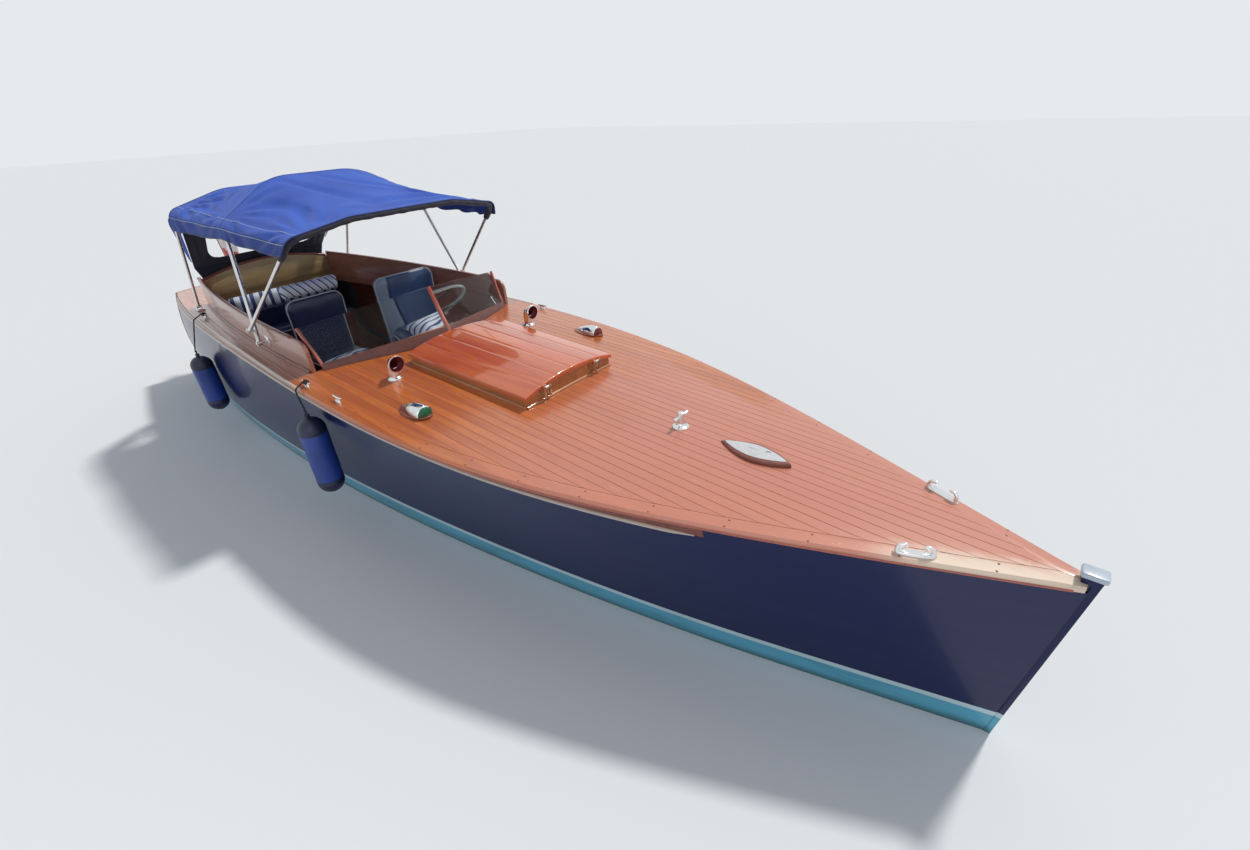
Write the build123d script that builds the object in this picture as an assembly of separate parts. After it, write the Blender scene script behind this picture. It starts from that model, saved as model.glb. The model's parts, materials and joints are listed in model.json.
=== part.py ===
from build123d import *
import os
from math import atan2, cos, hypot, radians, sin, sqrt, tan

os.makedirs("parts", exist_ok=True)

# Open wooden motor launch, millimetres. +X is the bow, +Y port, +Z up.
# The origin is on the centreline at the waterline, at mid-length.

# Hull
hull_wall = 25.0
deck_thickness = 22.0
deck_camber = 0.045
transom_thickness = 28.0
rail_radius = 11.0
rail_front_row = 6
topsides_low_z = 0.0
stem_half_width = 20.0
stem_above_deck = 26.0
stem_proud = 24.0
stem_head_back = 30.0
forefoot_back = 120.0
forefoot_drop = 110.0
forefoot_toe_back = 5.0
forefoot_toe_drop = 30.0
keel_half_width = 24.0
skeg_depth = 545.0
keel_front_depth = 300.0
skeg_aft_x = -2440.0
bulkhead_x = 150.0
bulkhead_thickness = 20.0
run_gap = 0.1
soft_gap = 0.4
# How far cutting tools reach past what they cut, and how far a piece that is cut back to the
# hull or the deck starts inside it
cutter_margin = 50.0
cutter_reach = 4000.0
root_depth = 60.0
fuse_overlap = 10.0
arc_share = 1 - cos(radians(45))

# Hull stations: x at the waterline, x at the deck edge, keel z, deadrise, half-breadth at the
# waterline, angle of the side at the waterline, half-breadth at the deck, z of the deck edge,
# drop from the deck edge to the rub rail
station_columns = (
    "x_wl", "x_deck", "keel_z", "deadrise", "wl_half", "wl_angle", "deck_half", "deck_z", "rail_drop"
)
station_rows = [
    (-3430, -3430, -110, 7, 500, 74, 505, 832, 74),
    (-2700, -2700, -190, 9, 625, 75, 640, 872, 68),
    (-1700, -1700, -262, 10, 700, 76, 768, 921, 64),
    (-600, -600, -298, 11, 695, 80, 852, 940, 62),
    (500, 500, -305, 13, 605, 84, 875, 919, 63),
    (1450, 1450, -300, 20, 465, 84, 766, 893, 76),
    (2300, 2300, -285, 32, 295, 84, 512, 874, 85),
    (2930, 2970, -250, 54, 138, 86, 242, 861, 88),
    (3385, 3462, -130, 78, 19, 88, 32, 853, 88),
]
stations = [dict(zip(station_columns, row)) for row in station_rows]

# Cockpit and coamings
cockpit_front_x = -106.0
cockpit_mid_x = -1300.0
cockpit_aft_x = -2420.0
cockpit_front_half = 738.0
cockpit_mid_half = 692.0
cockpit_aft_half = 535.0
coaming_thickness = 20.0
coaming_top_z = 1126.0
coaming_bottom_z = 850.0
coaming_corner_radius = 70.0
aft_board_top_z = 1180.0
aft_board_shoulder_z = 1112.0
aft_board_corner = 60.0
aft_board_side_gap = 2.0
sole_z = 330.0
sole_thickness = 20.0

# Front seats: the near edge and the far edge from the centreline
seat_front_x = -380.0
seat_back_x = -832.0
seat_back_thickness = 60.0
seat_cushion_z = 680.0
seat_cushion_height = 130.0
seat_back_top_z = 1185.0
seat_inner_y = 108.0
helm_outer_y = 628.0
mate_outer_y = 522.0
seat_base_inset = 30.0
seat_cushion_round = 25.0
seat_back_round = 60.0
roll_diameter = 84.0
roll_end_inset = 20.0

# Aft bench
bench_front_x = -1950.0
bench_aft_x = -2385.0
bench_half = 470.0
bench_cushion_z = 560.0
bench_cushion_height = 120.0
bench_back_x = -2200.0
bench_back_thickness = 100.0
bench_back_top_z = 975.0
bench_back_round = 45.0
bench_overhang = 10.0
sole_behind_bench = 30.0

# Windscreen
screen_base_centre = (187.0, 0.0, 1058.0)
screen_top_centre = (70.0, 0.0, 1287.0)
screen_base_side = (-97.0, 678.0, 981.0)
screen_top_side = (-209.0, 706.0, 1184.0)
glass_thickness = 6.0
screen_board_thickness = 22.0
screen_board_depth = 160.0
centre_post_radius = 13.0
side_post_radius = 10.0
# Each post is drawn this share of its length below the glass and cut back to the deck
centre_post_root = 0.9
side_post_root = 0.6
# Where the glass's edge lies inside a post, from the post's axis
pane_edge_centre_low = 12.0
pane_edge_centre_top = 15.6
pane_edge_side = 11.0

# Engine hatch: x, half-width, z of the lid's edge and of its middle, at the aft and front ends
hatch_aft_x = 275.0
hatch_front_x = 1244.0
hatch_aft_half = 348.0
hatch_front_half = 328.0
hatch_aft_edge_z = 1020.0
hatch_front_edge_z = 998.0
hatch_crown = 44.0
lid_thickness = 20.0
lid_overhang = 12.0
hatch_wall = 20.0
hatch_gap = 1.0
hatch_cut_reach = 60.0
hatch_cut_height = 400.0
hinge_radius = 6.0
hinge_pin_radius = 3.0
hinge_knuckle = 24.0
hinge_side_gap = 0.5
hinge_pin_past = 2.0
hinge_y = 190.0
hinge_offset = 11.0
hinge_tab_in_lid = 4.0
hinge_tab_z = (-2.0, 3.0)
hinge_leg_x = (-2.0, 4.0)
hinge_leg_drop = 52.0
hinge_arm_height = 6.0
hinge_arm_in_wall = 2.0

# Engine and drive
engine_x = (480.0, 1120.0)
engine_half = 210.0
engine_z = (-60.0, 400.0)
bearer_width = 50.0
bearer_past_engine = 60.0
propeller_x = -2690.0
propeller_z = -365.0
propeller_radius = 150.0
propeller_hub_radius = 34.0
propeller_hub_length = 90.0
shaft_radius = 15.0
shaft_inside = 120.0
shaft_end_gap = 3.0
blade_count = 3
blade_thickness = 9.0
blade_half_width = 54.0
blade_root = 12.0
blade_pitch = 32.0

# Rudder
rudder_x = -2960.0
stock_radius = 16.0
stock_top_z = 40.0
rudder_top_gap = 40.0
rudder_thickness = 26.0
# The blade's outline, measured from the stock's axis and from its lower edge
rudder_chord = 230.0
rudder_balance = 55.0
rudder_foot_front = 22.0
rudder_foot_aft = 184.0
rudder_top_aft = 198.0
rudder_toe_rise = 30.0
rudder_tail_rise = 50.0
stock_in_blade = 20.0
shoe_height = 26.0
shoe_half_width = 16.0
shoe_behind_stock = 20.0
shoe_floor = 6.0
rudder_shoe_gap = 6.0
heel_radius = 9.6
heel_end_gap = 2.0

# Steering
wheel_centre = (-270.0, 360.0, 1050.0)
wheel_tilt = 40.0
wheel_radius = 126.0
rim_radius = 9.0
spoke_radius = 7.0
spoke_angles = (90, 210, 330)
wheel_hub_radius = 24.0
wheel_hub_aft = 18.0
wheel_hub_front = 22.0
column_radius = 19.0
column_gap = 6.0
wheel_shaft_radius = 9.0
wheel_shaft_inside = 60.0
dash_x = -125.0
dash_thickness = 20.0
dash_bottom_z = 690.0
dash_half = 700.0

# Canopy
tube_radius = 12.5
front_tube_radius = 11.0
hoop_pin_radius = 5.0
pin_head_extra = 4.0
pin_head_thickness = 4.0
pin_head_gap = 1.0
hoop_eye_length = 26.0
hoop_eye_extra = 3.0
main_foot = (-657.0, 782.0, 1024.0)
aft_foot = (-2300.0, 632.0, 934.0)
front_pivot_up_leg = 88.0
canvas_thickness = 5.0
canvas_clear = 1.6
shoulder_radius = 90.0
canvas_shoulder_radius = 60.0
crown_radius = 440.0
foot_plate = 60.0
foot_plate_thickness = 4.0
aft_ear = 6.0
aft_ear_half = 13.0
aft_ear_rise = 12.0
aft_base_half = 34.0
aft_base_margin = 6.0
aft_base_top = 20.0
aft_base_depth = 100.0
front_stud_gap = 4.0
# Hoops: x, z and half-width of the shoulder, x, z and half-width of the crown's corners, and
# z and half-width of the canvas's lower edge
hoop_columns = (
    "shoulder_x", "shoulder_z", "shoulder_half", "crown_x", "crown_z", "crown_half", "skirt_z", "skirt_half"
)
hoop_rows = {
    "front": (-28.0, 1668.0, 664.0, 4.0, 1728.0, 330.0, 1592.0, 694.0),
    "main": (-897.0, 1674.0, 664.0, -975.0, 1886.0, 290.0, 1604.0, 684.0),
    "aft": (-1912.0, 1676.0, 642.0, -1858.0, 1780.0, 300.0, 1560.0, 646.0),
}
hoops = {name: dict(zip(hoop_columns, row)) for name, row in hoop_rows.items()}
curtain_top = (-1958.0, 1650.0)
curtain_bottom_z = 1196.0
curtain_flap_z = 1105.0
curtain_top_half = 600.0
curtain_bottom_half = 520.0
curtain_column = 150.0
curtain_column_low = 105.0
curtain_band = 60.0
curtain_flap_inset = 30.0
curtain_window_top = 40.0
curtain_window_round = 70.0
curtain_thickness = 4.0

# Deck fittings
vent_at = (370.0, 504.0)
vent_mouth_z = 1043.0
vent_pipe_radius = 27.0
vent_mouth_radius = 45.0
vent_mouth_wall = 4.0
vent_bell_length = 52.0
vent_lip_x = (46.0, 54.0)
vent_lip_extra = 2.0
vent_throat = 32.0
vent_elbow_radius = 34.0
vent_elbow_inner = 27.0
vent_hollow_x = (6.0, 56.0)
vent_drain_floor = 10.0
vent_flange_extra = 14.0
vent_flange_height = 8.0
lamp_at = (783.0, 649.0)
lamp_length = 200.0
lamp_radius = 45.0
lamp_pad = 10.0
lamp_pad_margin = 14.0
lamp_glass = 20.0
lamp_glass_proud = 18.0
lamp_glass_inset = 6.0
lamp_shoulder_x = -10.0
lamp_shoulder_radius = 38.7
bollard_x = 1925.0
bollard_radius = 17.0
bollard_height = 78.0
bollard_flange_extra = 22.0
bollard_flange_height = 7.0
bollard_bar_radius = 9.0
bollard_bar_length = 110.0
bollard_bar_rise = 53.0
pad_x = 2300.0
pad_length = 330.0
pad_width = 130.0
pad_wood = 16.0
pad_metal = 14.0
pad_metal_inset = (25.0, 22.0)
fairlead_at = (2990.0, 200.0)
fairlead_turn = 23.0
fairlead_half = (70.0, 16.0)
fairlead_base = 10.0
fairlead_jaw_x = (30.0, 60.0)
fairlead_jaw_half = 10.0
fairlead_jaw_height = 38.0
side_cleats = [(335.0, -820.0), (170.0, 828.0), (20.0, -832.0), (-2000.0, -690.0), (-2000.0, 690.0)]
cleat_length = 90.0
cleat_width = 18.0
cleat_base_half = 18.0
cleat_height = 24.0
cleat_horn_radius = 7.0
cap_thickness = 20.0
cap_overhang = 8.0
cap_corner = 8.0

# Fenders: x, side, top z, length, radius
fender_columns = ("x", "side", "top_z", "length", "radius")
fenders = [
    dict(zip(fender_columns, (20.0, -1, 760.0, 500.0, 75.0))),
    dict(zip(fender_columns, (-2000.0, -1, 640.0, 460.0, 75.0))),
]
lanyard_radius = 5.0
fender_clear = 16.0
lanyard_clear = 20.0
lanyard_knot = 8.0
lanyard_start = 30.0
lanyard_over_edge = 4.0
fender_neck = 22.0
fender_neck_radius = 16.0

# Ensign
staff_foot_x = -3330.0
staff_radius = 10.0
staff_length = 450.0
staff_lean = 18.0
staff_knob_extra = 6.0
staff_above_deck = 6.0
staff_socket_radius = 20.0
staff_socket_height = 50.0
staff_socket_root = 40.0
flag_top_share = 0.97
flag_size = (520.0, 230.0)
flag_thickness = 3.0


def arc_middle(start, start_angle, end):
    """Middle point of the arc that leaves start at an angle in degrees and ends at end."""
    chord = atan2(end[1] - start[1], end[0] - start[0])
    turn = chord - radians(start_angle)
    length = hypot(end[0] - start[0], end[1] - start[1])
    sag = length / 2 * tan(turn / 2)
    middle = ((start[0] + end[0]) / 2, (start[1] + end[1]) / 2)
    return (middle[0] + sag * sin(chord), middle[1] - sag * cos(chord))


def station_at(row, height):
    """x of a station's plane at a height: the end stations lean with the stem."""
    return row["x_wl"] + (row["x_deck"] - row["x_wl"]) * height / row["deck_z"]


def half_section(row, inset):
    """Keel, bilge, waterline and deck points of a section, with the arcs' middle points."""
    deadrise = radians(row["deadrise"])
    keel = (0.0, row["keel_z"] + inset / cos(deadrise))
    water = (row["wl_half"] - inset / sin(radians(row["wl_angle"])), 0.0)
    deck = (row["deck_half"] - inset, float(row["deck_z"]))
    slope = tan(radians((row["deadrise"] + row["wl_angle"]) / 2))
    run = (slope * water[0] + keel[1]) / (slope * cos(deadrise) - sin(deadrise))
    bilge = (run * cos(deadrise), keel[1] + run * sin(deadrise))
    bilge_mid = arc_middle(bilge, row["deadrise"], water)
    side_mid = arc_middle(water, row["wl_angle"], deck)
    return keel, bilge, bilge_mid, water, side_mid, deck


def side_at(row, height):
    """Half-breadth of a station's side at a height above the waterline."""
    keel, bilge, bilge_mid, water, side_mid, deck = half_section(row, 0)
    chord = hypot(deck[0] - water[0], deck[1] - water[1])
    sag_x = side_mid[0] - (water[0] + deck[0]) / 2
    sag_z = side_mid[1] - (water[1] + deck[1]) / 2
    share = height / deck[1]
    bulge = 4 * share * (1 - share)
    return water[0] + (deck[0] - water[0]) * share + bulge * (sag_x - sag_z * (deck[0] - water[0]) / chord)


def section_face(row, inset):
    """Closed outline of one hull station, from keel to cambered deck."""
    keel, bilge, bilge_mid, water, side_mid, deck = half_section(row, inset)

    def place(point, side=1):
        return (station_at(row, point[1]), side * point[0], point[1])

    crown = (0.0, deck[1] + deck_camber * deck[0])
    edges = [
        Line(place(keel), place(bilge)),
        ThreePointArc(place(bilge), place(bilge_mid), place(water)),
        ThreePointArc(place(water), place(side_mid), place(deck)),
        ThreePointArc(place(deck), place(crown), place(deck, -1)),
        ThreePointArc(place(deck, -1), place(side_mid, -1), place(water, -1)),
        ThreePointArc(place(water, -1), place(bilge_mid, -1), place(bilge, -1)),
        Line(place(bilge, -1), place(keel)),
    ]
    return Wire(edges)


def slab_section(row, lowering, flat):
    """A wide section whose top is the deck's camber, lowered, or flat at that height."""
    half = row["deck_half"] + 150.0
    rise = deck_camber * row["deck_half"]
    radius = (row["deck_half"] ** 2 + rise**2) / (2 * rise)
    top = row["deck_z"] - lowering + (0 if flat else rise)
    drop = 0 if flat else radius - sqrt(radius**2 - half**2)
    bottom = -900.0

    def place(y, z):
        return (station_at(row, z), y, z)

    if flat:
        roof = Line(place(half, top), place(-half, top))
    else:
        roof = ThreePointArc(place(half, top - drop), place(0, top), place(-half, top - drop))
    edges = [
        Line(place(-half, bottom), place(half, bottom)),
        Line(place(half, bottom), place(half, top - drop)),
        roof,
        Line(place(-half, top - drop), place(-half, bottom)),
    ]
    return Wire(edges)


def smooth_loft(wires):
    return Solid.make_loft(wires, False)


def block(x, y, z):
    """A box from pairs of low and high values."""
    return Pos((x[0] + x[1]) / 2, (y[0] + y[1]) / 2, (z[0] + z[1]) / 2) * Box(
        x[1] - x[0], y[1] - y[0], z[1] - z[0]
    )


def zone(x=(-cutter_reach, cutter_reach), y=(-cutter_reach, cutter_reach), z=(-cutter_reach, cutter_reach)):
    """A box that cuts a body down to a range of x, y or z."""
    return block(x, y, z)


def rod(start, end, radius):
    """A round bar between two points."""
    axis = Vector(*end) - Vector(*start)
    plane = Plane(origin=Vector(*start), z_dir=axis)
    return Solid.make_cylinder(radius, axis.length, plane)


def plate_xz(points, half_width):
    """A plate about the centre plane from points (x, z)."""
    outline = Plane.XZ * Polyline(*points, close=True)
    return extrude(make_face(outline), amount=half_width, both=True)


def plan_prism(outline, low, high):
    return Pos(0, 0, low) * extrude(make_face(outline), amount=high - low, dir=(0, 0, 1))


def mirrored(solid):
    return mirror(solid, about=Plane.XZ)


def save(name, *solids):
    """Write one node, as one solid or as separate solids."""
    flat = []
    for item in solids:
        flat.extend(item.solids())
    node = flat[0] if len(flat) == 1 else Compound(children=[Solid(s.wrapped) for s in flat])
    node.label = name
    export_step(node, f"parts/{name}.step")
    return node


# Hull envelope and its cutting tools
envelope = smooth_loft([section_face(row, 0) for row in stations])
below_deck = smooth_loft([slab_section(row, deck_thickness, False) for row in stations])
below_rail = smooth_loft([slab_section(row, row["rail_drop"], True) for row in stations])
inner_rows = [dict(row) for row in stations[:-1]]
inner_rows[0]["x_wl"] -= hull_wall
inner_rows[0]["x_deck"] -= hull_wall
inside = smooth_loft([section_face(row, hull_wall) for row in inner_rows])

hull_body = envelope & below_deck
deck_body = envelope - below_deck
shell = hull_body - inside


def deck_top(x, y):
    """Height of the deck's surface at a point, by interpolation between the stations."""
    rows = sorted(stations, key=lambda row: row["x_deck"])
    low = max((row for row in rows if row["x_deck"] <= x), key=lambda row: row["x_deck"], default=rows[0])
    high = min((row for row in rows if row["x_deck"] > x), key=lambda row: row["x_deck"], default=rows[-1])
    span = high["x_deck"] - low["x_deck"]
    share = (x - low["x_deck"]) / span if span else 0.0
    edge = low["deck_z"] + (high["deck_z"] - low["deck_z"]) * share
    half = low["deck_half"] + (high["deck_half"] - low["deck_half"]) * share
    return edge + deck_camber * half * (1 - (y / half) ** 2)


def cockpit_arc(inset, side):
    return ThreePointArc(
        (cockpit_front_x, side * (cockpit_front_half - inset)),
        (cockpit_mid_x, side * (cockpit_mid_half - inset)),
        (cockpit_aft_x, side * (cockpit_aft_half - inset)),
    )


def cockpit_outline(inset):
    port = cockpit_arc(inset, 1)
    starboard = cockpit_arc(inset, -1)
    return Wire(
        [
            port,
            Line(port @ 1, starboard @ 1),
            starboard,
            Line(starboard @ 0, port @ 0),
        ]
    )


def coaming_half(x):
    """Half-width of the cockpit's outline at x, on its arc."""
    points = [
        (cockpit_front_x, cockpit_front_half),
        (cockpit_mid_x, cockpit_mid_half),
        (cockpit_aft_x, cockpit_aft_half),
    ]
    total = 0.0
    for i, (xi, yi) in enumerate(points):
        weight = yi
        for j, (xj, _) in enumerate(points):
            if i != j:
                weight *= (x - xj) / (xi - xj)
        total += weight
    return total


def side_coamings():
    """The two long boards: a bent plank in plan, cut to its profile with a rounded front corner."""
    plank = plan_prism(
        Wire(
            [
                cockpit_arc(0, 1),
                Line(cockpit_arc(0, 1) @ 1, cockpit_arc(coaming_thickness, 1) @ 1),
                cockpit_arc(coaming_thickness, 1),
                Line(cockpit_arc(coaming_thickness, 1) @ 0, cockpit_arc(0, 1) @ 0),
            ]
        ),
        coaming_bottom_z - cutter_margin,
        coaming_top_z + cutter_margin,
    )
    aft_x = cockpit_aft_x + coaming_thickness
    front_x = cockpit_front_x - run_gap
    profile = Plane.XZ * FilletPolyline(
        (aft_x, coaming_bottom_z),
        (aft_x, coaming_top_z),
        (front_x, coaming_top_z),
        (front_x, coaming_bottom_z),
        radius=[0.0, 0.0, coaming_corner_radius, 0.0],
        close=True,
    )
    board = plank & extrude(make_face(profile), amount=cockpit_front_half + cutter_margin, both=True)
    return board, mirrored(board)


def aft_coaming():
    half = cockpit_aft_half - aft_board_side_gap
    low = coaming_bottom_z
    side_top = aft_board_shoulder_z - aft_board_corner
    bulge_y = half - aft_board_corner * arc_share
    bulge_z = aft_board_shoulder_z - aft_board_corner * arc_share
    shoulder_y = half - aft_board_corner
    shoulder_z = aft_board_shoulder_z
    edges = [
        Line((-half, low), (half, low)),
        Line((half, low), (half, side_top)),
        ThreePointArc((half, side_top), (bulge_y, bulge_z), (shoulder_y, shoulder_z)),
        ThreePointArc((shoulder_y, shoulder_z), (0, aft_board_top_z), (-shoulder_y, shoulder_z)),
        ThreePointArc((-shoulder_y, shoulder_z), (-bulge_y, bulge_z), (-half, side_top)),
        Line((-half, side_top), (-half, low)),
    ]
    face = make_face(Plane.YZ * Wire(edges))
    return Pos(cockpit_aft_x, 0, 0) * extrude(face, amount=coaming_thickness, dir=(1, 0, 0))


def rub_rail():
    circles = []
    for row in stations[: rail_front_row + 1]:
        height = row["deck_z"] - row["rail_drop"]
        centre = (row["x_wl"], side_at(row, height), height)
        circles.append(Wire.make_circle(rail_radius, Plane(origin=centre, x_dir=(0, 1, 0), z_dir=(1, 0, 0))))
    rail = smooth_loft(circles) - envelope
    return rail, mirrored(rail)


def stem_and_keel():
    head_x = station_at(stations[-1], stations[-1]["deck_z"] + stem_above_deck)
    foot = stations[-1]
    deck_x = foot["x_deck"]
    top_z = foot["deck_z"] + stem_above_deck
    join_x = stations[-2]["x_wl"]
    stem = plate_xz(
        [
            (deck_x - stem_head_back, top_z),
            (head_x + stem_proud, top_z),
            (foot["x_wl"] + stem_proud, 0),
            (foot["x_wl"] - forefoot_toe_back, foot["keel_z"] - forefoot_toe_drop),
            (foot["x_wl"] - forefoot_back, foot["keel_z"] - forefoot_drop),
            (join_x, -keel_front_depth),
            (join_x, stations[-2]["keel_z"] + root_depth),
            (foot["x_wl"] - forefoot_back, foot["keel_z"] + root_depth),
            (deck_x - root_depth, foot["deck_z"] - 2 * root_depth),
            (deck_x - stem_head_back, foot["deck_z"] - root_depth),
        ],
        stem_half_width,
    )
    stem = stem - envelope
    stem = Compound(children=[max(stem.solids(), key=lambda s: s.volume)])
    shoe_top = -skeg_depth + shoe_height
    keel = plate_xz(
        [
            (join_x, -keel_front_depth),
            (skeg_aft_x, -skeg_depth),
            (skeg_aft_x, -root_depth),
            (join_x, -root_depth),
        ],
        keel_half_width,
    )
    keel = keel - envelope
    keel = max(keel.solids(), key=lambda s: s.volume)
    shoe = block(
        (rudder_x - shoe_behind_stock, skeg_aft_x + fuse_overlap),
        (-shoe_half_width, shoe_half_width),
        (-skeg_depth, shoe_top),
    )
    keel = keel + shoe
    bore = rod(
        (skeg_aft_x - fuse_overlap, 0, propeller_z),
        (skeg_aft_x + shaft_inside + shaft_end_gap, 0, propeller_z),
        shaft_radius + run_gap,
    )
    heel_bore = rod(
        (rudder_x, 0, -skeg_depth + shoe_floor), (rudder_x, 0, shoe_top + fuse_overlap), heel_radius + run_gap
    )
    return stem, keel - bore - heel_bore


def stem_cap():
    foot = stations[-1]
    head_x = station_at(foot, foot["deck_z"] + stem_above_deck) + stem_proud
    top_z = foot["deck_z"] + stem_above_deck
    half = stem_half_width + cap_overhang
    cap = block(
        (foot["x_deck"] - stem_head_back - cap_overhang, head_x + cap_overhang),
        (-half, half),
        (top_z, top_z + cap_thickness),
    )
    return fillet(cap.edges().filter_by(Axis.Z), cap_corner)


def propeller():
    hub_half = propeller_hub_length / 2
    hub_x = (propeller_x - hub_half, propeller_x + hub_half)
    hub = rod((hub_x[1], 0, propeller_z), (hub_x[0], 0, propeller_z), propeller_hub_radius)
    shaft = rod((propeller_x, 0, propeller_z), (skeg_aft_x + shaft_inside, 0, propeller_z), shaft_radius)
    root = propeller_hub_radius - blade_root
    blade_face = Ellipse(blade_half_width, (propeller_radius - root) / 2)
    blade = extrude(Plane.XZ * blade_face, amount=blade_thickness / 2, both=True)
    blade = Pos(0, 0, (propeller_radius + root) / 2) * Rot(0, 0, blade_pitch) * blade
    trim = rod((-propeller_radius, 0, 0), (propeller_radius, 0, 0), propeller_radius)
    body = hub + shaft
    for turn in range(blade_count):
        turned = Rot(turn * 360 / blade_count, 0, 0) * (blade & trim)
        body = body + Pos(propeller_x, 0, propeller_z) * turned
    return body


def rudder():
    top = hull_bottom(rudder_x) - rudder_top_gap
    bottom = -skeg_depth + shoe_height + rudder_shoe_gap
    blade = plate_xz(
        [
            (rudder_x + rudder_balance, top),
            (rudder_x + rudder_balance, bottom + rudder_toe_rise),
            (rudder_x + rudder_foot_front, bottom),
            (rudder_x - rudder_foot_aft, bottom),
            (rudder_x - rudder_chord, bottom + rudder_tail_rise),
            (rudder_x - rudder_top_aft, top),
        ],
        rudder_thickness / 2,
    )
    stock_low = bottom + stock_in_blade
    stock = rod((rudder_x, 0, stock_low), (rudder_x, 0, stock_top_z), stock_radius)
    heel = rod((rudder_x, 0, -skeg_depth + shoe_floor + heel_end_gap), (rudder_x, 0, stock_low), heel_radius)
    return blade + stock + heel


def hull_bottom(x):
    """Keel height at x, between the stations."""
    rows = sorted(stations, key=lambda row: row["x_wl"])
    for low, high in zip(rows, rows[1:]):
        if low["x_wl"] <= x <= high["x_wl"]:
            share = (x - low["x_wl"]) / (high["x_wl"] - low["x_wl"])
            return low["keel_z"] + (high["keel_z"] - low["keel_z"]) * share
    return rows[0]["keel_z"]


def lid_section(x, half, edge_z, thickness, lowering):
    edge = edge_z - lowering
    return Wire(
        [
            Line((x, half, edge - thickness), (x, half, edge)),
            ThreePointArc((x, half, edge), (x, 0, edge + hatch_crown), (x, -half, edge)),
            Line((x, -half, edge), (x, -half, edge - thickness)),
            ThreePointArc(
                (x, -half, edge - thickness),
                (x, 0, edge + hatch_crown - thickness),
                (x, half, edge - thickness),
            ),
        ]
    )


def hatch():
    lid = Solid.make_loft(
        [
            lid_section(hatch_aft_x, hatch_aft_half, hatch_aft_edge_z, lid_thickness, 0),
            lid_section(hatch_front_x, hatch_front_half, hatch_front_edge_z, lid_thickness, 0),
        ],
        True,
    )
    reach = hatch_cut_reach
    rise = reach * (hatch_front_edge_z - hatch_aft_edge_z) / (hatch_front_x - hatch_aft_x)
    depth = hatch_cut_height + lid_thickness
    aft_z = hatch_aft_edge_z - rise + hatch_cut_height
    front_z = hatch_front_edge_z + rise + hatch_cut_height
    above = Solid.make_loft(
        [
            lid_section(hatch_aft_x - reach, hatch_aft_half, aft_z, depth, hatch_gap),
            lid_section(hatch_front_x + reach, hatch_front_half, front_z, depth, hatch_gap),
        ],
        True,
    )
    aft = hatch_aft_x + lid_overhang
    front = hatch_front_x - lid_overhang
    aft_half = hatch_aft_half - lid_overhang
    front_half = hatch_front_half - lid_overhang
    outer = [(aft, aft_half), (front, front_half), (front, -front_half), (aft, -aft_half)]
    wall = hatch_wall
    inner = [
        (aft + wall, aft_half - wall),
        (front - wall, front_half - wall),
        (front - wall, -front_half + wall),
        (aft + wall, -aft_half + wall),
    ]
    low = hatch_front_edge_z - 3 * cutter_margin
    high = hatch_aft_edge_z + hatch_crown + cutter_margin
    hole = plan_prism(Polyline(*inner, close=True), low - cutter_margin, high + cutter_margin)
    walls = plan_prism(Polyline(*outer, close=True), low, high) - hole
    coaming = walls - above - envelope
    coaming = max(coaming.solids(), key=lambda s: s.volume)
    axis_x = hatch_front_x + hinge_offset
    axis_z = hatch_front_edge_z + hinge_offset
    leg_z = axis_z - hinge_leg_drop
    leg_x = (axis_x + hinge_leg_x[0], axis_x + hinge_leg_x[1])
    for side in (-1, 1):
        y = side * hinge_y
        across = (y - hinge_knuckle / 2, y + hinge_knuckle / 2)
        outside = (y - hinge_knuckle - hinge_pin_past, y + hinge_knuckle + hinge_pin_past)
        knuckle = rod((axis_x, across[0], axis_z), (axis_x, across[1], axis_z), hinge_radius)
        tab_z = (axis_z + hinge_tab_z[0], axis_z + hinge_tab_z[1])
        tab = block((hatch_front_x - hinge_tab_in_lid, axis_x), across, tab_z)
        pin = rod((axis_x, outside[0], axis_z), (axis_x, outside[1], axis_z), hinge_pin_radius)
        pin_hole = rod((axis_x, outside[0], axis_z), (axis_x, outside[1], axis_z), hinge_pin_radius + run_gap)
        lid = lid + (tab + knuckle) - pin_hole
        ears = [(outside[0], across[0] - hinge_side_gap), (across[1] + hinge_side_gap, outside[1])]
        for ear_y in ears:
            ear = rod((axis_x, ear_y[0], axis_z), (axis_x, ear_y[1], axis_z), hinge_radius)
            leg = block(leg_x, ear_y, (leg_z, axis_z))
            arm = block((front - hinge_arm_in_wall, leg_x[1]), ear_y, (leg_z, leg_z + hinge_arm_height))
            coaming = coaming + (ear + leg + arm)
        coaming = coaming + pin
    return coaming, lid, hole


def mix(a, b, share):
    return tuple(p + (q - p) * share for p, q in zip(a, b))


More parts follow.
